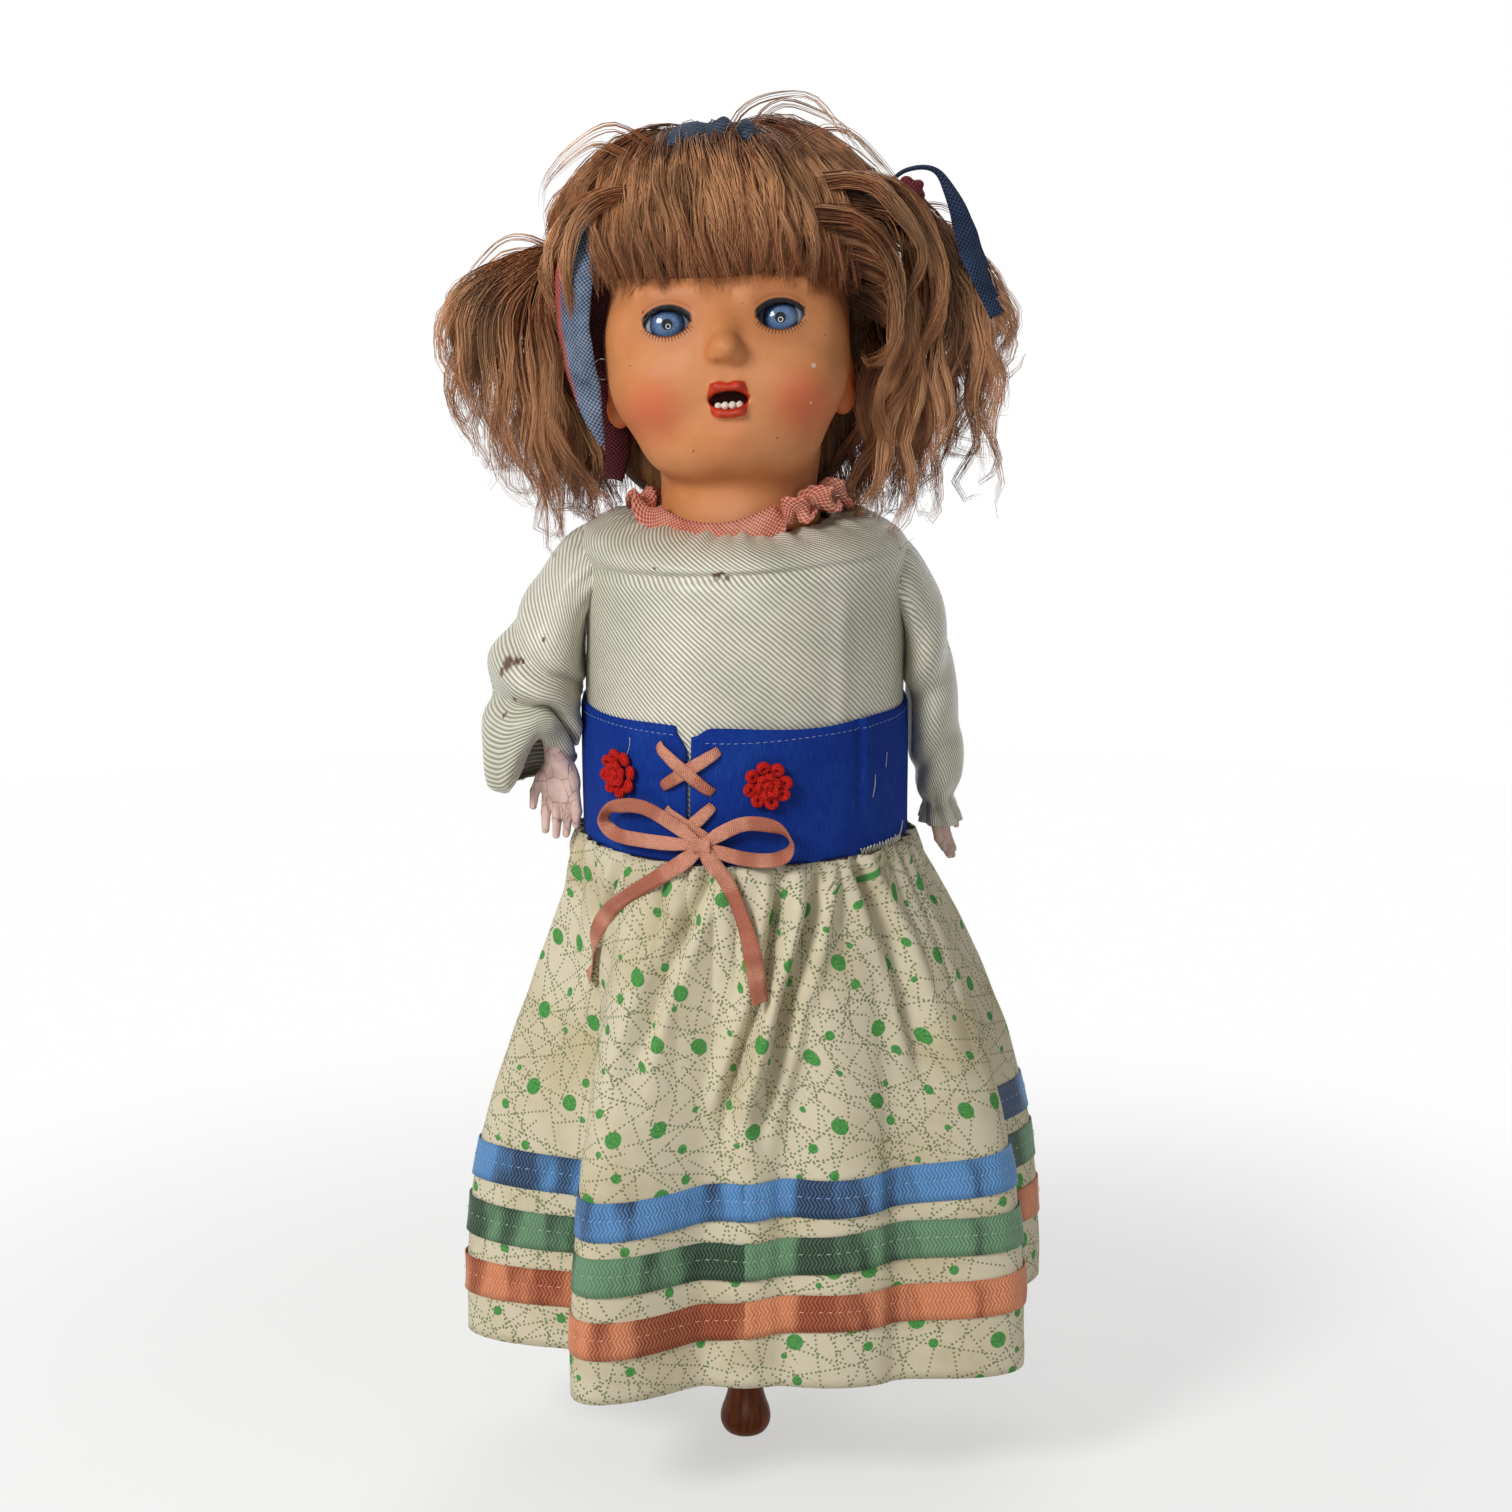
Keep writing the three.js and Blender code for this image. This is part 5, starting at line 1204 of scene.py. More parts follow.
# rolls of the lips: two ends and the radius at each
lipRolls = [((5.3, -31.9, -17.2), (2.6, -34.3, -15.3), 1.0, 1.45),
            ((2.6, -34.3, -15.3), (0, -34.5, -15.6), 1.45, 1.4),
            ((4.8, -32.0, -19.6), (2.3, -33.8, -22.2), 0.8, 1.45),
            ((2.3, -33.8, -22.2), (0, -34.0, -22.5), 1.45, 1.5)]


def headField(p):
    x, y, z = p[..., 0], p[..., 1], p[..., 2]
    mirrored = np.stack([np.abs(x), y, z], -1)
    # skull and face, cheeks, chin, jowls
    d = merged(ellipsoid(p, (0, 6, 8), (33.5, 36, 36)), ellipsoid(p, (0, -8, -9), (32, 27, 27)), 8)
    d = merged(d, ellipsoid(mirrored, (15.5, -19.5, -14), (12.5, 12, 11)), 7)
    d = merged(d, ellipsoid(p, (0, -22.5, -27), (11, 9.5, 8.5)), 6)
    d = merged(d, ellipsoid(mirrored, (9, -12, -29), (13, 13, 9)), 8)
    # mounds over the eyes, brow ridges, temples
    eye = np.array(head["eye"])
    d = merged(d, np.linalg.norm(mirrored - eye, axis=-1) - 10.35, 2.4)
    d = merged(d, capsule(mirrored, (7, -29.2, 9.8), (21, -25.5, 10.6), 2.2, 1.6), 5)
    d = merged(d, ellipsoid(mirrored, (22.8, -16, 1), (7.6, 9, 9)), 5)
    # nose with its wings and nostrils, groove below it
    d = merged(d, capsule(p, (0, -29.5, 3), (0, -36.6, -4.6), 2.0, 2.9), 4.5)
    d = merged(d, ellipsoid(p, (0, -37.9, -5.6), (3.5, 3.6, 3.1)), 2.6)
    d = merged(d, ellipsoid(mirrored, (2.9, -35.4, -6.9), (2.0, 2.5, 2.0)), 1.6)
    d = carved(d, ellipsoid(mirrored, (1.7, -37.4, -8.9), (0.75, 1.1, 0.7)), 0.6)
    d = carved(d, capsule(p, (0, -37.3, -10.2), (0, -36.6, -13.4), 0.9, 1.1), 1.6)
    # lips, hollow above the chin
    for roll in lipRolls:
        d = merged(d, capsule(mirrored, *roll), 0.9)
    d = carved(d, capsule(p, (-3.5, -35.2, -25.3), (3.5, -35.2, -25.3), 1.5, 1.5), 2.5)
    ear = merged(ellipsoid(mirrored, (30.9, 4, -11.5), (3.2, 6, 8.2)),
                 ellipsoid(mirrored, (29.9, 1, -19), (2.8, 3.4, 3.6)), 3)
    ear = carved(ear, ellipsoid(mirrored, (34.6, 2.2, -11.2), (3.0, 3.3, 5.2)), 1.4)
    d = merged(d, ear, 1.6)
    # the neck stands upright under the tilted head
    w = fromHead(p)
    neckX, neckRadius, neckFoot = head["neck"]
    waist = hump(w[..., 2], 276, 6)
    neck = np.maximum(np.hypot(w[..., 0] - neckX, w[..., 1]) - neckRadius + waist, neckFoot - w[..., 2])
    d = merged(d, np.maximum(neck, w[..., 2] - 305), 3.5)
    # openings of the eyes, their sockets, opening of the mouth
    lid = np.maximum(almond(np.abs(x) - eye[0], z - eye[2], **eyeOpening), y + 19)
    d = carved(d, lid, 0.7)
    d = carved(d, np.linalg.norm(mirrored - eye, axis=-1) - head["eyeRadius"] - 0.35, 0.3)
    across = (x - head["mouth"][0]) / mouthOpening["half"]
    rise = (z - head["mouth"][1]) / mouthOpening["high"]
    lips = np.maximum((np.hypot(across, rise) - 1) * mouthOpening["high"], y + 27.5)
    d = carved(d, lips, 0.6)
    return np.maximum(d, z - head["crown"])


def dullFinish(name, light, dark, rough, scale=400.0):
    p = Paint(name, Roughness=rough, Specular_IOR_Level=0.1)
    fibre = p.noise(p.place(), scale, 4.0, 0.65)
    cloud = p.noise(p.place(), scale / 9, 3.0)
    colour = p.mix(fibre.step(0.35, 0.7), rgb(light), rgb(dark))
    colour = p.mix(cloud.step(0.5, 0.8) * 0.5, colour, rgb(dark))
    return p.done(colour, rough + 0.1 * fibre, fibre, 0.00012, 0.6)


teeth = {"first": -2.8, "pitch": 1.88, "deep": -30.6, "drop": 1.35, "forward": 0.35, "cell": 0.2}


def makeTeeth():
    mx, mz = head["mouth"]
    x, y, z = mx + teeth["first"], teeth["deep"], mz - teeth["drop"]

    def row(p):
        d = ellipsoid(p, (x, y, z), (0.98, 1.0, 1.0))
        for k in (1, 2, 3):
            at = (x + teeth["pitch"] * k, y - teeth["forward"] * (k < 3), z)
            d = np.minimum(d, ellipsoid(p, at, (1.0, 1.0, 1.08)))
        return d

    points, faces = netted(row, (mx - 5, -33, mz - 3), (mx + 5, -28, mz + 2), teeth["cell"])
    enamel = dullFinish("tooth_enamel", 0xF0EADC, 0xDAD0BA, rough=0.2, scale=300.0)
    dressed(piece("teeth_row", fromHead(points), faces, enamel), "doll", "teeth")


def circle(u, v, x, z, low, high):
    # 1 within the low radius, 0 beyond the high one
    return 1 - distance(u - x * mm, v - z * mm).step(low * mm, high * mm)


def arcDistance(u, v, x, z, radius):
    return distance(u - x * mm, v - z * mm) - radius * mm


# flaked spots and specks on the face: across, up, radius, colour
faceMarks = [(22.5, -11, 0.85, 0xE8D3C0), (21.2, -20.5, 0.4, 0xE8D3C0), (-25, -8, 0.35, 0x6A3A20),
             (12, -29, 0.4, 0x6A3A20), (26, -3, 0.3, 0x6A3A20), (-10, -31, 0.45, 0x6A3A20),
             (5, 6, 0.25, 0x6A3A20)]


def blushedAndShaded(p, colour, u, v, y):
    # blush on cheeks and chin; bright orange on the ear lobes, partly blush and partly painted light;
    # painted shade round the eyes
    for side in (-1, 1):
        colour = p.mix(circle(u, v, 19.5 * side, -20, 0.5, 13.5) * 0.66, colour, rgb(0xC9573A))
        lobeBlushAndLight = circle(u, v, 31 * side, -15, 4, 11) * y.step(-0.006, -0.001)
        colour = p.mix(lobeBlushAndLight * 0.85, colour, rgb(0xEE7A44))
    colour = p.mix(circle(u, v, 0, -27, 0.5, 9) * 0.3, colour, rgb(0xC96F48))
    for side in (-1, 1):
        shadow = circle(u, v, head["eye"][0] * side, head["eye"][2] + 2, 5.0, 12.0)
        colour = p.mix(shadow * 0.32, colour, rgb(0x9C5430))
    return colour


def lashed(p, colour, u, v, y, front, side):
    # lashes, creases of the lid and brow of one eye
    half, up, down = eyeOpening["half"], eyeOpening["up"], eyeOpening["down"]
    ru, rd = arcRadius(half, up), arcRadius(half, down)
    x, z = head["eye"][0] * side, head["eye"][2]
    near = 1 - (u - x * mm).abs().step(half * 0.98 * mm, (half + 0.9) * mm)
    above = v.step((z - 0.6) * mm, (z + 0.4) * mm)
    lash = 1 - arcDistance(u, v, x, z + up - ru, ru).abs().step(1.3 * mm, 1.9 * mm)
    colour = p.mix(lash * near * above * front, colour, rgb(0x0B0706))
    crease = 1 - arcDistance(u, v, x, z + up - ru, ru + 2.5).abs().step(0.15 * mm, 0.8 * mm)
    colour = p.mix(crease * near * above * front * 0.35, colour, rgb(0x8A4A28))
    du, dv = u - x * mm, v - (z - down + rd) * mm
    turn = du.math("ARCTAN2", 0 - dv)
    strokes = (turn * 62.0).sin().step(0.1, 0.7)
    edge = arcDistance(u, v, x, z - down + rd, rd)
    band = edge.step(0.1 * mm, 0.3 * mm) * (1 - edge.step(0.9 * mm, 2.0 * mm))
    below = 1 - v.step((z - 1.4) * mm, (z - 0.6) * mm)
    colour = p.mix(strokes * band * below * front * 0.8, colour, rgb(0x3A1C10))
    rim = 1 - edge.abs().step(0.15 * mm, 0.7 * mm)
    colour = p.mix(rim * below * near * front * 0.8, colour, rgb(0x4A2616))
    outward = du * side
    brow = 1 - arcDistance(u, v, x - 0.4 * side, z, 13.2).abs().step(0.1 * mm, 0.4 * mm)
    brow = brow * outward.step(2.0 * mm, 4.0 * mm) * (1 - outward.step(9.0 * mm, 10.8 * mm))
    brow = brow * v.step(z * mm, (z + 2) * mm) * (1 - y.step(-0.01, -0.004))
    return p.mix(brow * 0.75, colour, rgb(0x5E3219))


def lipShare(p, place, u, v):
    # 1 on the painted lips, between their upper and lower outlines
    mx, mz = head["mouth"]
    wobble = p.noise(place, 700.0, 2.0) * 0.0005 - 0.00025
    across = (u - mx * mm).abs() * 1000.0 + wobble * 1000.0
    dip = 0.5 * (1 - across.step(0.0, 1.9))
    top = mz + 4.9 - 0.02 * across * across - dip - 4.2 * across.step(4.3, 6.0)
    bottom = mz - 4.9 + 0.04 * across * across + 4.4 * across.step(4.0, 6.0)
    level = v * 1000.0
    return (top - level).step(-0.15, 0.3) * (level - bottom).step(-0.15, 0.3)


def skinFinish():
    # uv holds the head's own x and z
    p = Paint("composition_skin", Roughness=0.44, Specular_IOR_Level=0.2)
    place = p.place("UV")
    u, v, _ = p.parts(place)
    _, y, _ = p.parts(p.place())
    front = 1 - y.step(-0.022, -0.012)
    mottled = p.noise(p.place(), 55.0, 4.0, 0.6)
    fine = p.noise(p.place(), 900.0, 3.0, 0.6)
    colour = p.mix(mottled.step(0.3, 0.75), rgb(0xD08C5C), rgb(0xC37C4A))
    colour = blushedAndShaded(p, colour, u, v, y)
    for side in (-1, 1):
        colour = lashed(p, colour, u, v, y, front, side)
    lip = lipShare(p, place, u, v)
    lipTone = p.mix(p.noise(place, 400.0, 3.0).step(0.3, 0.7), rgb(0xA81C0A), rgb(0xC43212))
    colour = p.mix(lip * front * 0.93, colour, lipTone)
    # painted shade: the back wall of the mouth opening painted near black
    mouthShade = (y + 0.0305).step(0.0, 0.003) * circle(u, v, *head["mouth"], 4.4, 5.6) * front
    colour = p.mix(mouthShade, colour, rgb(0x0A0303))
    for x, z, size, tone in faceMarks:
        colour = p.mix(circle(u, v, x, z, size * 0.3, size) * 0.8, colour, rgb(tone))
    roughness = 0.4 + mottled * 0.16 - lip * 0.14 + mouthShade * 0.6
    return p.done(colour, roughness, mottled * 2.0 + fine * 0.35, 0.00012, 0.5)


def makeHead():
    points, faces = netted(headField, *head["box"], head["cell"])
    skin = piece("head_form", fromHead(points), faces, skinFinish(), uv=points[:, [0, 2]])
    dressed(skin, "doll", "head_shell")
    return len(points)


def eyeFinish():
    # uv holds degrees across and up from the middle of the iris
    p = Paint("glass_eye", Roughness=0.05, Specular_IOR_Level=0.4)
    u, v, _ = p.parts(p.place("UV"))
    u, v = u * 1000.0, v * 1000.0
    away = distance(u, v)
    turn = u.math("ARCTAN2", v)
    rays = p.noise(p.joined(turn * 5.0, away * 0.05, 0.0), 2.2, 4.0, 0.7)
    # the white of the eye, painted grey and darker towards the corners as painted shade under the lids
    shadedWhite = p.mix(away.step(30, 44), rgb(0x98A3B0), rgb(0x6A727E))
    blue = p.mix(rays.step(0.3, 0.7), rgb(0x36567F), rgb(0x6484AE))
    blue = p.mix(away.step(15, 29), blue, rgb(0x22304C))
    colour = p.mix(1 - away.step(28.5, 31.5), shadedWhite, blue)
    colour = p.mix(1 - away.step(8.0, 9.6), colour, rgb(0x050507))
    # painted shadow of the upper lid and lashes: the ball darkens from 11 to 24 degrees up
    colour = p.mix(v.step(11, 24) * 0.85, colour, rgb(0x0A0A0E))
    lid = v.step(25.5, 26.5)
    colour = p.mix(lid, colour, rgb(0xBC7646))
    line = 1 - (v - 25.5).abs().step(1.4, 2.2)
    relief = rays * away.step(11, 15) * (1 - away.step(20, 24))
    return p.done(p.mix(line, colour, rgb(0x050303)), 0.05 + lid * 0.35, relief, 0.00002, 0.3)


def makeEyes():
    finish = eyeFinish()
    up = np.linspace(-90, 90, 60)[:, None]
    turn = np.linspace(-180, 180, 96, endpoint=False)[None]
    e, t = np.radians(up), np.radians(turn)
    ball = np.stack([np.cos(e) * np.sin(t), -np.cos(e) * np.cos(t), np.sin(e) + 0 * t], -1)
    bulge = 1 + 0.03 * np.exp(-((up / 20) ** 2 + (turn / 20) ** 2))
    uv = paired(np.linspace(-180, 180, 97)[None], up)
    for name, side in (("left", -1), ("right", 1)):
        at = np.array(head["eye"]) * (side, 1, 1)
        points = fromHead(ball * (head["eyeRadius"] * bulge)[..., None] + at)
        eye = tidy(grid(f"glass_eye_{name}", points, finish, uv, closed=True))
        dressed(eye, "eyes", f"eyeball_{name}")


print("head:", makeHead(), "points")
makeEyes()
makeTeeth()

# hair: a base painted dark as the shade beneath the strands, and strands grown along guide locks by Geometry
# Nodes

hair = {"at": (0, 9, 8), "half": (43, 45, 47), "backAt": (0, 20, -20), "backHalf": (38, 26, 30),
        "inset": 2.6, "crownTilt": 16, "tieLeft": (-40, 5, 24), "tieRight": (43, 6, 27),
        "strand": 0.123, "box": ((-46, -40, -52), (46, 58, 58)), "cell": 1.5}


def hairFinish(name, root, middle, litColour):
    p = Paint(name, Roughness=0.4, Specular_IOR_Level=0.16)
    strand = p.node("ShaderNodeAttribute", {"attribute_name": "strand"}, out="Fac")
    run = p.node("ShaderNodeAttribute", {"attribute_name": "along"}, out="Fac")
    # painted light and shade along each strand: dark towards the root, a lit band past the middle, darker
    # again towards the end
    colour = p.mix(run.step(0.0, 0.42), rgb(root), rgb(middle))
    lit = run.step(0.36, 0.6) * (1 - 0.9 * run.step(0.7, 0.95))
    colour = p.mix(lit * 0.9, colour, rgb(litColour))
    streak = p.noise(p.joined(strand * 37.0, run * 3.0, 0.0), 1.0, 3.0, 0.7)
    clump = p.noise(p.scaled(p.place(), (95.0, 95.0, 15.0)), 1.0, 2.0)
    colour = p.mix(clump.step(0.45, 0.64) * 0.62, colour, rgb(0x3C200F))
    colour = p.mix(streak.step(0.4, 0.8) * 0.45, colour, rgb(0x442612))
    colour = p.mix((strand * 7.31).math("FRACT").step(0.62, 1.0) * 0.6, colour, rgb(0xE8B482))
    return p.done(colour, 0.34 + 0.2 * streak, streak, 0.00005, 0.4)


def hairBaseShadeFinish():
    p = Paint("hair_base", Roughness=0.65, Specular_IOR_Level=0.1)
    lines = p.noise(p.scaled(p.place(), (900.0, 900.0, 60.0)), 1.0, 3.0, 0.7)
    broad = p.noise(p.scaled(p.place(), (90.0, 90.0, 20.0)), 1.0, 2.0)
    # dark brown, painted shade that shows between the strands
    colour = p.mix(lines.step(0.3, 0.7), rgb(0x3E2917), rgb(0x7A5734))
    colour = p.mix(broad.step(0.4, 0.7) * 0.6, colour, rgb(0x3C2A19))
    return p.done(colour, 0.55 + lines * 0.2, lines, 0.0006, 0.9)


def strandTree():
    tree, n, given = nodeTree("hair_strands", {"Count": "Int", "Points": "Int", "Thick": "Float",
                                               "Frizz": "Float", "Pinch": "Float", "Shortest": "Float",
                                               "Seed": "Int", "Hair": "Material"})
    real, point = {"data_type": "FLOAT"}, {"data_type": "FLOAT", "domain": "POINT"}

    def vector(how, *values):
        return n.node("ShaderNodeVectorMath", {"operation": how}, *values)

    def luck(shift, low=0.0, high=1.0):
        return n.node("FunctionNodeRandomValue", real, Min=low, Max=high, ID=spline,
                      Seed=given["Seed"] + float(shift))

    # every lock becomes many strands, each with its own number
    lock = n.node("GeometryNodeResampleCurve", {"mode": "COUNT"}, Curve=given["Geometry"],
                  Count=given["Points"])
    many = n.node("GeometryNodeDuplicateElements", {"domain": "SPLINE"}, Geometry=lock,
                  Amount=given["Count"])
    spline = n.node("GeometryNodeFieldOnDomain", {"data_type": "INT", "domain": "CURVE"},
                    n.node("GeometryNodeInputIndex"))
    # strands stand apart within the lock's radius
    run = n.node("GeometryNodeSplineParameter", out="Factor")
    normal = n.node("GeometryNodeInputNormal")
    binormal = vector("CROSS_PRODUCT", n.node("GeometryNodeInputTangent"), normal)
    turn = luck(1, 0.0, 6.2832) + run * luck(5, -1.2, 1.2)
    spread = luck(2).math("SQRT") * n.node("GeometryNodeInputRadius") * (1.0 - run * given["Pinch"])
    apart = vector("ADD", vector("SCALE", normal, turn.math("COSINE") * spread),
                   vector("SCALE", binormal, turn.sin() * spread))
    # frizz grows towards the ends
    drift = vector("SCALE", n.joined(1.0, 0.7, 0.3), luck(3) * 3.0)
    shifted = vector("ADD", n.node("GeometryNodeInputPosition"), drift)
    wild = n.node("ShaderNodeTexNoise", None, Vector=shifted, Scale=50.0, Detail=1.5, out="Color")
    wild = vector("SUBTRACT", wild, (0.5, 0.5, 0.5))
    push = given["Frizz"] * (0.15 + run.math("POWER", 1.3) * luck(6, 0.4, 1.6))
    moved = n.node("GeometryNodeSetPosition", None, Geometry=many,
                   Offset=vector("ADD", apart, vector("SCALE", wild, push)))
    named = n.node("GeometryNodeStoreNamedAttribute", point, Geometry=moved, Name="strand", Value=luck(4))
    # uneven lengths and a taper
    length = given["Shortest"] + luck(7) * (1.0 - given["Shortest"])
    trimmed = n.node("GeometryNodeTrimCurve", {"mode": "FACTOR"}, Curve=named, End=length)
    named = n.node("GeometryNodeStoreNamedAttribute", point, Geometry=trimmed, Name="along", Value=run)
    taper = 1.0 - run.math("POWER", 2.0) * 0.75
    section = n.node("GeometryNodeCurvePrimitiveCircle", {"mode": "RADIUS"}, Resolution=3, Radius=1.0)
    body = n.node("GeometryNodeCurveToMesh", None, Curve=named, Profile_Curve=section,
                  Scale=given["Thick"] * taper)
    # map for bakes: across by the strand's random value, up along its length
    strand, place = (n.node("GeometryNodeInputNamedAttribute", real, Name=label)
                     for label in ("strand", "along"))
    third = n.node("GeometryNodeInputIndex").math("MODULO", 3.0) * 0.004
    corner = {"data_type": "FLOAT2", "domain": "CORNER"}
    mapped = n.node("GeometryNodeStoreNamedAttribute", corner, Geometry=body, Name="OFBake",
                    Value=n.joined(strand * 0.98 + third, place))
    treeEnd(n, mapped, given["Hair"])
    return tree


hairStrands = strandTree()


# strands in a lock, points on a strand, frizz in millimetres, pinch towards the end, shortest share
strandLooks = {
    "fringe": {"count": 29, "points": 11, "frizz": 2.6, "pinch": 0.5, "shortest": 0.8},
    "crown": {"count": 24, "points": 11, "frizz": 3.0, "pinch": 0.3, "shortest": 0.84},
    "tuft": {"count": 30, "points": 18, "frizz": 2.6, "pinch": 0.5, "shortest": 0.74},
    "back": {"count": 16, "points": 11, "frizz": 3.0, "pinch": 0.3, "shortest": 0.8},
    "sides": {"count": 33, "points": 18, "frizz": 2.6, "pinch": 0.5, "shortest": 0.78},
    "curls": {"count": 33, "points": 17, "frizz": 2.4, "pinch": 0.4, "shortest": 0.8},
    "strays": {"count": 9, "points": 20, "frizz": 2.4, "pinch": 0.2, "shortest": 0.8},
}


def strands(kind, locks, finish, seed, side=None):
    # locks: points and a radius at each point, in millimetres
    name = f"hair_{kind}_{side}" if side else f"hair_{kind}"
    look = strandLooks[kind]
    lines, radii = zip(*locks)
    guide = curveObject(name + "_guides", lines, [np.asarray(radius) * mm for radius in radii])
    values = {"Count": look["count"], "Points": look["points"], "Thick": hair["strand"] * mm,
              "Frizz": look["frizz"] * mm, "Pinch": look["pinch"], "Shortest": look["shortest"],
              "Seed": seed, "Hair": finish}
    return dressed(grown(guide, hairStrands, values, name, finish), "doll")


def scalp(turn, fall, lift=0.0):
    # place on the hair's surface: turn round from the front, fall from the crown, both in degrees
    t, f = np.radians(turn), np.radians(fall)
    n = np.stack(np.broadcast_arrays(np.sin(f) * np.sin(t), -np.sin(f) * np.cos(t), np.cos(f)), -1)
    n = rotated(n, "X", -hair["crownTilt"])
    half = np.array(hair["half"]) + np.asarray(lift)[..., None]
    return np.array(hair["at"]) + n * half


def hairBaseField(p):
    inset = hair["inset"]
    d = merged(ellipsoid(p, hair["at"], np.array(hair["half"]) - inset),
               ellipsoid(p, hair["backAt"], np.array(hair["backHalf"]) - inset), 8)
    y, z = p[..., 1], p[..., 2]
    face = np.maximum(y - 4 - 5 * smooth(3 - z, 0, 4), z - 13 - 0.004 * p[..., 0] ** 2)
    d = carved(d, face, 3)
    inner = np.minimum(ellipsoid(p, (0, 6, 8), (32.5, 35, 35)), ellipsoid(p, (0, -8, -9), (31, 26, 26)))
    return carved(d, inner, 1.0)


def makeHairBase():
    points, faces = netted(hairBaseField, *hair["box"], hair["cell"])
    dressed(piece("hair_base_cap", fromHead(points), faces, hairBaseShadeFinish()), "doll", "wig")


def lockAlong(points, radii, r, wave, steps=16, pitch=27.0):
    # a lock's middle line and radius; the wave grows towards its end
    t = np.linspace(0, 1, steps)
    line, radius = along(points, t), along(radii, t)
    run = runLength(line)
    phase = r.uniform(0, math.tau) + run / (pitch * r.uniform(0.8, 1.25)) * math.tau
    tangent = unit(np.gradient(line, axis=0))
    side = unit(np.cross(tangent, [0.2, 1, 0.1]))
    grow = wave * r.uniform(0.6, 1.3) * (0.15 + 0.85 * run / run[-1])
    line = line + side * (grow * np.sin(phase))[:, None]
    line = line + np.cross(tangent, side) * (0.55 * grow * np.cos(phase))[:, None]
    return line, radius


def shaken(r, points, amount):
    points = np.asarray(points, float)
    drift = r.normal(0, amount, (len(points), 3)) * np.linspace(0.25, 1, len(points))[:, None]
    return points + drift


def rooted(points):
    # the first point goes under the hair, towards the head's middle
    points = np.array(points, float)
    points[0] += 0.14 * (np.array(head["at"]) - points[0])
    return points


def fringeLocks(r, side):
    locks = []
    for turn in np.linspace(1, 54, 28) * side:
        for layer in (0, 1, 2):
            start = r.uniform(4, 26) + 12 * layer
            bend = turn + r.normal(2.5, 3.0)
            rise = 0.0016 if side > 0 else 0.0032
            stop = 102.5 - rise * turn ** 2 + np.clip(r.normal(0, 2.4), -4, 2) - layer
            fall = np.linspace(start, stop, 7)
            lift = np.array([0.6, 1.6, 2.8, 3.6, 3.6, 2.0, -1.4]) * r.uniform(0.6, 1.15) - 1.2 * layer
            points = scalp(np.linspace(turn * 0.9 - 3, bend, 7), fall, lift)
            points[-1] += (0, 1.2, -0.8)
            radii = (1.8, 2.4, 2.7, 2.7, 2.5, 2.1, 1.6)
            points = fromHead(shaken(r, points, 0.5))
            locks.append(lockAlong(points, radii, r, wave=1.9, steps=13, pitch=34))
    return locks


def crownLocks(r, side, tie):
    # combed from the parting out to the tie, full at the sides
    locks = []
    for turn in np.linspace(34, 140, 30):
        for start in (6, 22, 38):
            full = r.uniform(0.1, 1.0)
            begin = scalp(side * (turn + r.normal(0, 3)), start + r.uniform(-4, 6), 0.6 + 2.0 * full)
            midTurn = side * (turn * 0.75 + 20 + r.normal(0, 4))
            middle = scalp(midTurn, 42 + (turn - 85) * 0.1, 0.8 + 7.0 * full)
            late = scalp(side * (turn * 0.4 + 50 + r.normal(0, 5)), 63, 0.8 + 9.0 * full)
            end = np.array(tie) + r.normal(0, 2.4, 3)
            points = fromHead([begin, middle, late, end])
            locks.append(lockAlong(points, (1.9, 2.5, 2.4, 1.6), r, wave=1.3, steps=13, pitch=32))
    return locks


def backLocks(r):
    locks = []
    for turn in np.linspace(100, 260, 44):
        for start in (-7, 45, 72):
            fall = np.linspace(start, 104, 5)
            turns = turn + np.linspace(0, r.normal(0, 4), 5)
            top = scalp(turns, fall, np.array([0.3, 0.8, 1.2, 1.4, 1.0]) + r.uniform(0, 2))
            hang = np.array([[0, -1.0, -12], [0, -4.0, -25], [0, -8.0, -34]])
            below = top[-1] + hang * r.uniform(0.85, 1.1)
            points = fromHead(shaken(r, np.concatenate([top, below]), 0.6))
            points[:, 2] = np.maximum(points[:, 2], 268 + r.uniform(-3, 3))
            locks.append(lockAlong(points, (2.4, 2.9, 3.2, 3.4, 3.4, 3.2, 2.8, 2.0), r, wave=1.3))
    return locks


# ends of the tufts as x, z seen from the front; each hangs from its tie
tufts = {
    "left": {"tie": (-46, 6, 335), "reach": -1, "depth": (-8, 20), "bulge": 25,
             "ends": [(-76, 302), (-77, 311), (-72, 293), (-68, 288), (-60, 273), (-57, 277),
                      (-48, 264), (-40, 266), (-74, 297), (-64, 281), (-52, 267), (-44, 272)]},
    "right": {"tie": (40, 8, 343), "reach": 1, "depth": (-8, 22), "bulge": 19,
              "ends": [(68, 306), (66, 292), (63, 275), (60, 284), (54, 294), (47, 276), (41, 267),
                       (34, 266), (27, 266), (57, 300), (50, 271), (68, 313), (38, 279)]},
}
# ends of the hair that hangs behind the cheeks, under the tufts
sideEnds = {-1: [(-38, 264), (-42, 262), (-47, 266), (-52, 271), (-36, 272), (-57, 277), (-45, 268)],
            1: [(24, 265), (30, 264), (36, 267), (42, 270), (29, 272), (48, 277), (54, 283), (33, 269)]}


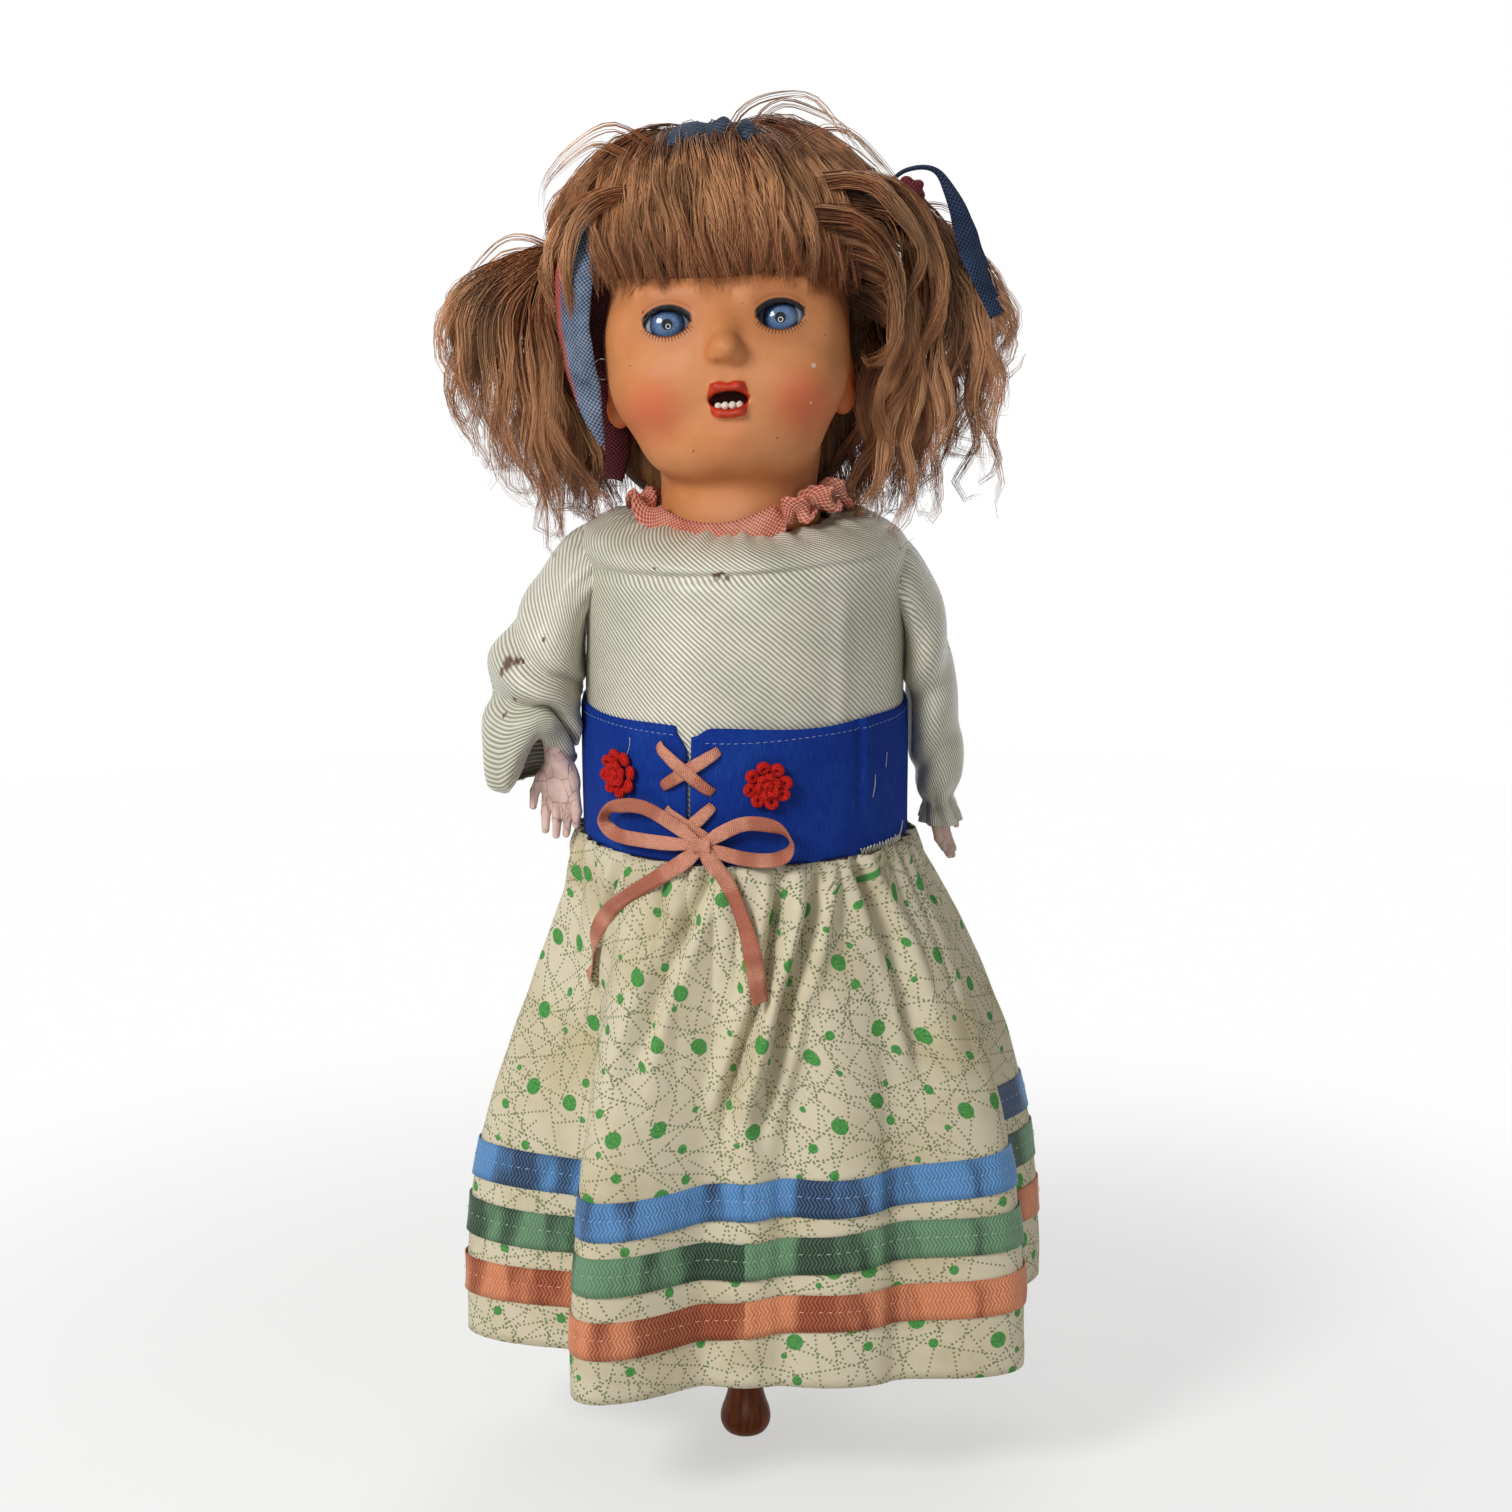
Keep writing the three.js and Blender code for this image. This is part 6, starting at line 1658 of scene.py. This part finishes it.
def tuftLocks(r, look):
    locks = []
    tie = np.array(look["tie"], float)
    for x, z in look["ends"]:
        for deep in np.linspace(look["depth"][0], look["depth"][1], 5):
            end = np.array([x + r.normal(0, 1.8), deep + r.normal(0, 1.5), z + r.normal(0, 3.0)])
            out = look["reach"] * look["bulge"] * (0.35 + 0.65 * abs(x - tie[0]) / 30) * r.uniform(0.8, 1.06)
            first = tie + (out * 0.5, (deep - tie[1]) * 0.45, 0.4)
            aside = out * 0.95 + 0.25 * (x - tie[0])
            second = tie + (aside, (deep - tie[1]) * 0.85, -12 + 0.12 * (z - 290))
            third = second * 0.35 + end * 0.65 + (look["reach"] * 2.5, 0, 1.5)
            hook = look["reach"] * (1 if r.random() < 0.62 else -1) * r.uniform(1.5, 5.0)
            curl = end + (hook, r.normal(0, 1.5), r.uniform(-1.5, 3.0))
            points = shaken(r, [tie, first, second, third, end, curl], 1.3)
            radii = (1.8, 2.9, 3.3, 2.7, 2.0, 1.1)
            locks.append(lockAlong(points, radii, r, wave=2.9, steps=24, pitch=31))
    return locks


def sideLocks(r):
    locks = []
    for side, ends in sideEnds.items():
        for x, z in ends:
            for deep in (4, 12, 20):
                turn = side * (98 + deep * 0.9 + r.normal(0, 4))
                top = fromHead(scalp(turn, 62 + r.uniform(-6, 8), 0.5))
                knee = np.array([0.62 * top[0] + 0.38 * x + side * 3, deep * 0.8 + 1, 305 + r.normal(0, 3)])
                late = np.array([x + side * 2.2, deep, z + 15])
                end = np.array([x + r.normal(0, 1.2), deep + r.normal(0, 1.5), z + r.normal(0, 2)])
                hook = end + (r.normal(0, 4.0), r.normal(0, 1.5), r.uniform(0, 3.5))
                points = shaken(r, [top, knee, late, end, hook], 1.0)
                locks.append(lockAlong(points, (2.8, 3.4, 3.0, 2.0, 1.2), r, wave=3.2))
    return locks


# loose curls beside the face, and strays that stand off
curls = [
    [(20, -8, 362), (33, -15, 357), (42, -18, 348), (46, -17, 337), (43, -17, 326), (37, -18, 319)],
    [(24, -4, 362), (38, -10, 356), (48, -12, 345), (52, -11, 332), (50, -11, 319),
     (44, -12, 311), (38, -13, 312)],
    [(28, 2, 360), (42, -3, 353), (53, -6, 342), (57, -6, 328), (55, -6, 314), (49, -7, 305)],
    [(32, 4, 354), (46, 0, 346), (56, -2, 333), (58, -2, 317), (54, -3, 303), (47, -4, 298)],
    [(28, -2, 345), (37, -7, 334), (40, -11, 321), (39, -12, 309), (35, -12, 299),
     (37, -11, 290), (42, -10, 287)],
    [(28, 2, 338), (39, -3, 325), (43, -6, 311), (42, -6, 297), (38, -6, 286), (40, -5, 278), (45, -4, 275)],
    [(30, 4, 330), (42, -1, 318), (48, -3, 305), (50, -3, 293), (47, -3, 284), (49, -2, 276)],
    [(30, 6, 350), (40, 3, 342), (46, 4, 330), (47, 5, 316), (44, 5, 304)],
    [(28, 8, 346), (37, 8, 338), (42, 9, 326), (43, 9, 312), (41, 9, 300)],
    [(20, -20, 354), (31, -21, 347), (38, -20, 337), (41, -19, 326), (39, -19, 316),
     (33, -20, 310), (29, -21, 313)],
    [(22, -16, 350), (34, -17, 341), (41, -16, 331), (43, -15, 320), (40, -15, 308), (35, -16, 301)],
    [(24, -12, 346), (37, -12, 336), (44, -11, 325), (45, -11, 312), (41, -11, 301), (37, -12, 294)],
    [(26, -8, 342), (40, -9, 330), (46, -8, 318), (46, -8, 306), (43, -8, 296), (45, -8, 287)],
    [(24, -6, 358), (40, -9, 349), (49, -9, 338), (51, -9, 325), (47, -10, 314), (42, -11, 309)],
    [(-26, -8, 360), (-38, -14, 352), (-45, -15, 342), (-47, -14, 331), (-44, -14, 320)],
    [(-28, -2, 360), (-42, -7, 351), (-51, -9, 340), (-52, -8, 327), (-48, -8, 316)],
    [(-30, 2, 338), (-43, -3, 322), (-50, -5, 307), (-49, -5, 294), (-51, -4, 285)],
]
strays = [
    [(-8, -4, 367), (-1, -5, 374), (9, -6, 379), (19, -6, 377), (27, -5, 368), (31, -5, 360)],
    [(-2, 2, 368), (8, 1, 376), (20, 0, 374), (31, 0, 366), (38, 0, 356)],
    [(8, -6, 367), (22, -8, 371), (35, -8, 363), (44, -6, 350), (46, -4, 342)],
    [(-20, -3, 367), (-33, -4, 370), (-44, -4, 366), (-51, -3, 357), (-54, -2, 348)],
    [(-26, 0, 364), (-38, 0, 366), (-48, 1, 359), (-55, 2, 350)],
    [(26, -22, 356), (36, -20, 348), (41, -19, 338), (37, -20, 330), (30, -23, 332)],
    [(30, -14, 350), (41, -12, 342), (45, -12, 331), (41, -13, 323), (36, -14, 322)],
    [(40, 0, 352), (52, -2, 350), (60, -2, 341), (64, -1, 329)],
    [(-48, 2, 338), (-60, 0, 341), (-70, 0, 335), (-75, 0, 325)],
    [(62, 2, 318), (69, 1, 308), (67, 1, 296), (61, 2, 291)],
    [(-70, 2, 312), (-78, 1, 303), (-76, 1, 292), (-71, 2, 289)],
]


def looseLocks(r, paths, copies, shake, thick, thin, wave):
    locks = []
    for path in paths:
        for _ in range(copies):
            points = shaken(r, rooted(path), shake)
            locks.append(lockAlong(points, np.linspace(thick, thin, len(path)), r, wave))
    return locks


def makeHair():
    makeHairBase()
    r = np.random.default_rng(23)
    golden = hairFinish("mohair", 0x3A1F12, 0x8A4D2E, 0xE4A878)
    ends = hairFinish("mohair_ends", 0x6C3E26, 0xA26540, 0xECB486)
    for name, side, tie in (("left", -1, hair["tieLeft"]), ("right", 1, hair["tieRight"])):
        strands("fringe", fringeLocks(r, side), golden, 3 + side, name)
        strands("crown", crownLocks(r, side, tie), golden, 14 + side, name)
        tuft = strands("tuft", tuftLocks(r, tufts[name]), ends, 7 + side, name)
        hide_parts(f"pigtail_{name}")
    strands("back", backLocks(r), golden, 5)
    strands("sides", sideLocks(r), golden, 6)
    strands("curls", looseLocks(r, curls, 3, shake=0.4, thick=3.2, thin=1.3, wave=1.4), ends, 10)
    strands("strays", looseLocks(r, strays, 1, shake=0.5, thick=1.8, thin=0.8, wave=0.5), ends, 11)


makeHair()
print("hair grown")

# hands

hands = {"left": {"side": -1, "at": (-51.2, -10.5, 206), "tilt": (8, -4, -20), "size": 1.12},
         "right": {"side": 1, "at": (52.5, 8, 193), "tilt": (-4, -7, 70), "size": 1.0}}
handNet = {"box": ((-9, -6, -26), (8, 5, 8)), "cell": 0.34}
# each finger as knuckle, joint and tip, the thumb last
fingers = [[(-3.7, 0, -13), (-4.4, -0.4, -18), (-4.3, -1.8, -22)],
           [(-1.3, 0, -14), (-1.5, -0.6, -19.5), (-1.4, -2.2, -23)],
           [(1.2, 0, -14), (1.4, -0.6, -19), (1.3, -2.2, -22.5)],
           [(3.6, 0, -13), (4.1, -0.5, -17), (4, -1.8, -20)],
           [(-4.4, -0.8, -8), (-6.2, -1.6, -12), (-6.6, -2.6, -15.5)]]


def handField(p):
    d = capsule(p, (0, 0, 3), (0, 0, -6.5), 3.3, 3.0)
    d = merged(d, ellipsoid(p, (0, 0.2, -9.5), (5.3, 2.5, 6.3)), 2.5)
    for first, second, third in fingers:
        knuckle = merged(capsule(p, first, second, 1.35, 1.2), capsule(p, second, third, 1.2, 0.95), 0.4)
        d = merged(d, knuckle, 0.7)
        d = carved(d, np.linalg.norm(p - (np.array(third) + (0, -1.15, -0.1)), axis=-1) - 0.5, 0.3)
    for a, b in ((0, 1), (1, 2), (2, 3)):
        groove = (np.array(fingers[a][0]) + np.array(fingers[b][0])) / 2 + (0, -2.3, 1.5)
        d = carved(d, capsule(p, groove, groove + (0, 0, -5), 0.35, 0.5), 0.7)
    return carved(d, ellipsoid(p, (0.3, -3.4, -10), (3.4, 2.0, 4.6)), 1.6)


def handFinish():
    p = Paint("hand_paint_worn", Roughness=0.6, Specular_IOR_Level=0.3)
    cells = {"feature": "DISTANCE_TO_EDGE"}
    bent = p.noise(p.place(), 300.0, 3.0)
    cracks = p.node("ShaderNodeTexVoronoi", cells, Vector=p.scaled(p.place(), (1.0, 1.0, 0.55)), Scale=260.0)
    line = 1 - (cracks + (bent - 0.5) * 0.12).step(0.004, 0.03)
    cloud = p.noise(p.place(), 140.0, 4.0, 0.6)
    colour = p.mix(cloud.step(0.35, 0.7), rgb(0xE2C2B6), rgb(0xC6A398))
    colour = p.mix(line * 0.4, colour, rgb(0x5E4A44))
    colour = p.mix((cloud * bent).step(0.34, 0.4), colour, rgb(0x8E7A72))
    return p.done(colour, 0.5 + cloud * 0.3, line * -1.0 + cloud * 0.5, 0.0002, 0.7)


def makeHands():
    points, faces = netted(handField, *handNet["box"], handNet["cell"])
    finish = handFinish()
    for name, look in hands.items():
        x, y, z = (math.radians(v) for v in look["tilt"])
        spin = np.array(Matrix.Rotation(y, 3, "Y") @ Matrix.Rotation(x, 3, "X") @ Matrix.Rotation(z, 3, "Z"))
        handed = points * (-look["side"], 1, 1) * look["size"]
        turnedFaces = faces if look["side"] < 0 else faces[:, ::-1]
        made = piece(f"hand_form_{name}", handed @ spin.T + np.array(look["at"]), turnedFaces, finish)
        dressed(made, f"arm_{name}", f"hand_{name}")


makeHands()

# ruffle round the neck

# run: angle from the front, radius, height
ruffle = {"middleX": -1.5, "width": 8.6, "flat": 0.0102, "points": 420, "gathers": 22,
          "run": [(-180, 25.5, 270), (-140, 26, 270.5), (-105, 26.5, 271), (-78, 27, 272.5),
                  (-64, 28.5, 272), (-50, 27.5, 267.5), (-30, 27, 265.2), (-8, 27, 265.3),
                  (10, 27, 267.5), (26, 27.2, 270.5), (40, 27.5, 272.5), (54, 28, 274), (68, 28, 274.5),
                  (84, 27, 273), (110, 26.5, 271), (145, 26, 270.5), (180, 25.5, 270)]}


def makeRuffle():
    angle, r, z = along(ruffle["run"], np.linspace(0, 1, ruffle["points"])).T
    wave = evened(np.where(np.abs(angle) > 85, 1.0, 0.0), 10)
    gathered = smooth(angle, 18, 34) * (1 - smooth(angle, 74, 92))
    phase = np.radians(angle) * 13
    tight = np.radians(angle) * ruffle["gathers"]
    r = r + wave * 1.5 * np.sin(phase) + gathered * 2.2 * np.sin(tight)
    z = z + wave * 0.8 * np.cos(phase * 0.7) + gathered * 1.4 * np.cos(tight)
    path = polar(angle, r, z) + np.array([ruffle["middleX"], 0, 0])
    radial = polar(angle, 1.0, 0 * angle)
    lean = np.radians(58 - 22 * smooth(np.abs(angle), 40, 90)) + gathered * 1.25 * np.sin(tight + 1.1)
    lean = lean + wave * 0.55 * np.sin(phase + 0.9) - 1.9 * hump(angle, -66, 7)
    across = radial * -np.cos(lean)[:, None] + np.array([0, 0, 1.0]) * np.sin(lean)[:, None]
    sway = polar(angle + 90, 1.0, 0 * angle) * (0.5 * gathered * np.sin(np.radians(angle) * 31))[:, None]
    half = unit(across + sway) * (ruffle["width"] / 2 * (1 - 0.18 * gathered))[:, None]
    tape = linen("salmon_tape", 0xF0B49E, 0xB24F3A)
    band = strip("ruffle_band", path, half, tape, rows=9, wall=0.4, bulge=0.5)
    dressed(band, "doll", "neck_ruffle")


# bent wires: one in the ruffle, one hooped at the left ear, each as a part of an oval
wires = {"ruffle_wire": {"at": (24.6, -11.5, 276.5), "half": (1.3, 2.4), "deep": 0.5, "turn": (0, 5.6),
                         "thick": 0.28},
         "ear_wire": {"at": (-38.0, -3.5, 307.0), "half": (2.3, 3.0), "deep": 2.0, "turn": (1.1, 5.1),
                      "thick": 0.2}}


def makeWires():
    steel = Paint("dull_wire", Roughness=0.35, Metallic=1.0)
    grain = steel.noise(steel.place(), 900.0, 3.0)
    steel.set("Base Color", steel.mix(grain, rgb(0xB9B9B6), rgb(0x77746E)))
    for name, look in wires.items():
        wide, high = look["half"]
        turn = np.linspace(*look["turn"], 26)
        ring = np.stack([wide * np.cos(turn), -look["deep"] * np.sin(turn), high * np.sin(turn)], -1)
        dressed(tube(name, np.array(look["at"]) + ring, look["thick"], steel.material), "doll")


makeRuffle()
makeWires()

# hair ribbons, given from the head's middle in upright axes

hairRibbons = {
    "ribbon_right_blue": {
        "path": [(41, -5, 39), (47.5, -8, 44.5), (55.5, -9, 44), (61, -10, 34), (65, -10.5, 22),
                 (72, -11, 7)],
        "width": [0.7, 0.8, 1.4, 4.6, 6.8, 5.8], "facing": (0.25, -1, 0.1), "crumple": 0.35, "edge": None,
        "slot": "blue_ribbon", "light": 0x35486A, "dark": 0x141B2A, "flat": 0.0105},
    "ribbon_top": {
        "path": [(-25, 0, 42), (-18, -3, 49.5), (-9, -4, 53.4), (0, -4, 53.8), (9, -3, 52.5), (18, 1, 43)],
        "width": [4, 8, 9.5, 8.5, 8, 4], "facing": (0, -0.55, 1), "crumple": 1.1, "edge": None,
        "slot": "blue_ribbon", "light": 0x5C6A80, "dark": 0x171C26, "flat": 0.0105},
    "ribbon_left_blue": {
        "path": [(-30, -6, 36), (-35, -11, 30), (-39.5, -14, 18), (-40, -15, 4), (-37, -15, -12),
                 (-33, -14, -27)],
        "width": [2.5, 7, 10.5, 11, 8.5, 1.5], "facing": (-0.35, -1, 0.05), "crumple": 0.35,
        "edge": (-1.0, 0xB5533F), "slot": "blue_ribbon", "light": 0x93A2B8, "dark": 0x2A3A54,
        "flat": 0.0105},
    "ribbon_left_maroon": {
        "path": [(-29, -4, 28), (-33.5, -7, 14), (-34, -3, 0), (-32, 2, -14), (-29.5, 0, -29),
                 (-30.5, -4, -38)],
        "width": [3, 7, 8, 8, 7.5, 5], "facing": (0.1, -1, 0.05), "crumple": 0.35, "edge": None,
        "slot": "maroon_ribbon", "light": 0x6A2630, "dark": 0x26161C, "flat": 0.0102},
}
knotLook = {"at": (48, -10, 39), "half": (4.4, 3.4, 4.0), "light": 0x8A2F38, "dark": 0x2B1A1E,
            "box": ((-7, -6, -6.5), (7, 6, 6.5)), "cell": 0.4}


def knotField(p):
    # crumpled knot: a lump creased by folds that cross it
    x, z = p[..., 0], p[..., 2]
    folds = 0.7 * np.abs(np.sin(0.75 * x + 0.5 * z + 0.6 * np.sin(0.5 * z)))
    folds = folds + 0.45 * np.abs(np.sin(0.9 * z - 0.5 * x + 1.0))
    return ellipsoid(p, (0, 0, 0), knotLook["half"]) + 0.9 - folds


def makeHairRibbons():
    t = np.linspace(0, 1, 60)
    for name, look in hairRibbons.items():
        path, width = fromUpright(along(look["path"], t)), along(look["width"], t)
        facing = unit(np.array(look["facing"], float))
        across = unit(np.cross(facing, np.gradient(path, axis=0)))
        path = path + facing * (look["crumple"] * np.sin(t * 31 + 2 * np.sin(t * 9) + len(name)))[:, None]
        tilt = 0.35 * np.sin(t * 7 + len(name))[:, None]
        across = unit(across + facing * tilt)
        finish = linen(f"{name}_linen", look["light"], look["dark"], look["edge"])
        half = across * (width / 2)[:, None]
        made = strip(f"{name}_cloth", path, half, finish, rows=9, wall=0.45, bulge=0.8)
        dressed(made, "doll", name)
        length = float(runLength(path)[-1])
        round(float(length * width.mean()) * mm * mm, 6)
    points, faces = netted(knotField, *knotLook["box"], knotLook["cell"])
    finish = linen("knot_linen", knotLook["light"], knotLook["dark"])
    wrap = piece("hair_knot_wrap", points + fromUpright(knotLook["at"]), faces, finish, uv=points[:, [0, 2]])
    dressed(wrap, "doll", "ribbon_right_knot")


makeHairRibbons()
print("hands, ruffle and hair ribbons placed")

# handle and the pieces that the clothes hide

# turned outline of the handle as radius, height
grip = [(3.2, 0.1), (5.6, 1.3), (6.9, 3.4), (7.2, 5.6), (6.8, 8.0), (5.9, 10.6), (5.1, 13.6), (4.75, 17.2),
        (4.9, 22.5), (5.3, 30), (5.85, 39), (6.45, 49.75), (7.4, 66), (8.2, 85), (7.7, 103), (6.9, 119.5),
        (6.1, 137), (5.6, 149), (5.75, 154.5), (7.4, 157.3), (8.8, 160.3), (8.5, 163.6), (7.0, 166)]
gripTop = 166


def woodFinish(name, light, dark, gloss):
    p = Paint(name, Roughness=gloss, Specular_IOR_Level=0.15)
    x, y, z = p.parts(p.place())
    sway = p.noise(p.place(), 40.0, 3.0) * 0.004
    rings = p.noise(p.joined(x + sway, y + sway, z * 0.05), 420.0, 4.0, 0.6)
    pores = p.noise(p.scaled(p.place(), (2600.0, 2600.0, 130.0)), 1.0, 2.0)
    colour = p.mix(rings.step(0.3, 0.7), rgb(light), rgb(dark))
    colour = p.mix(pores.step(0.62, 0.72) * 0.6, colour, rgb(0x2A170A))
    return p.done(colour, gloss + 0.2 * rings, rings + pores * 0.6, 0.0001, 0.6)


def metalFinish(name, light, dark, rough):
    p = Paint(name, Metallic=1.0, Roughness=rough)
    brushed = p.noise(p.scaled(p.place(), (300.0, 300.0, 2400.0)), 1.0, 2.0)
    tarnish = p.noise(p.place(), 170.0, 4.0, 0.6)
    colour = p.mix(tarnish.step(0.45, 0.75), rgb(light), rgb(dark))
    return p.done(colour, rough + 0.2 * tarnish + 0.08 * brushed, brushed, 0.00004, 0.4)


def makeHandle():
    curve = along(grip, np.linspace(0, 1, 140))
    whole = np.concatenate([[(0, 0), (2.6, 0)], curve, [(6.4, gripTop), (0, gripTop)]])
    turned = lathe("handle_turned", whole, woodFinish("varnished_grain", 0x8C4414, 0x582408, gloss=0.28))
    dressed(turned, "handle", "handle")


innerFinishes = {
    "steel": metalFinish("bright_steel", 0xC4C6C8, 0x8B8E92, rough=0.28),
    "brass": metalFinish("aged_brass", 0xC9A24D, 0x86662B, rough=0.32),
    "lead": dullFinish("dull_lead", 0x6C6E72, 0x4B4D52, rough=0.6),
    "plain_wood": woodFinish("limewood", 0xD9BE93, 0xB8966A, gloss=0.62),
    "card": dullFinish("grey_card", 0xC7B696, 0xA08C69, rough=0.88),
    "mouth_cloth": dullFinish("mouth_felt", 0x0C0505, 0x060202, rough=0.95, scale=900.0),
}


def dressFrame():
    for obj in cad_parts.values():
        for slot in obj.material_slots:
            slot.material = innerFinishes.get(slot.material.name, innerFinishes["steel"])


makeHandle()
dressFrame()
print("handle turned, inner pieces finished")
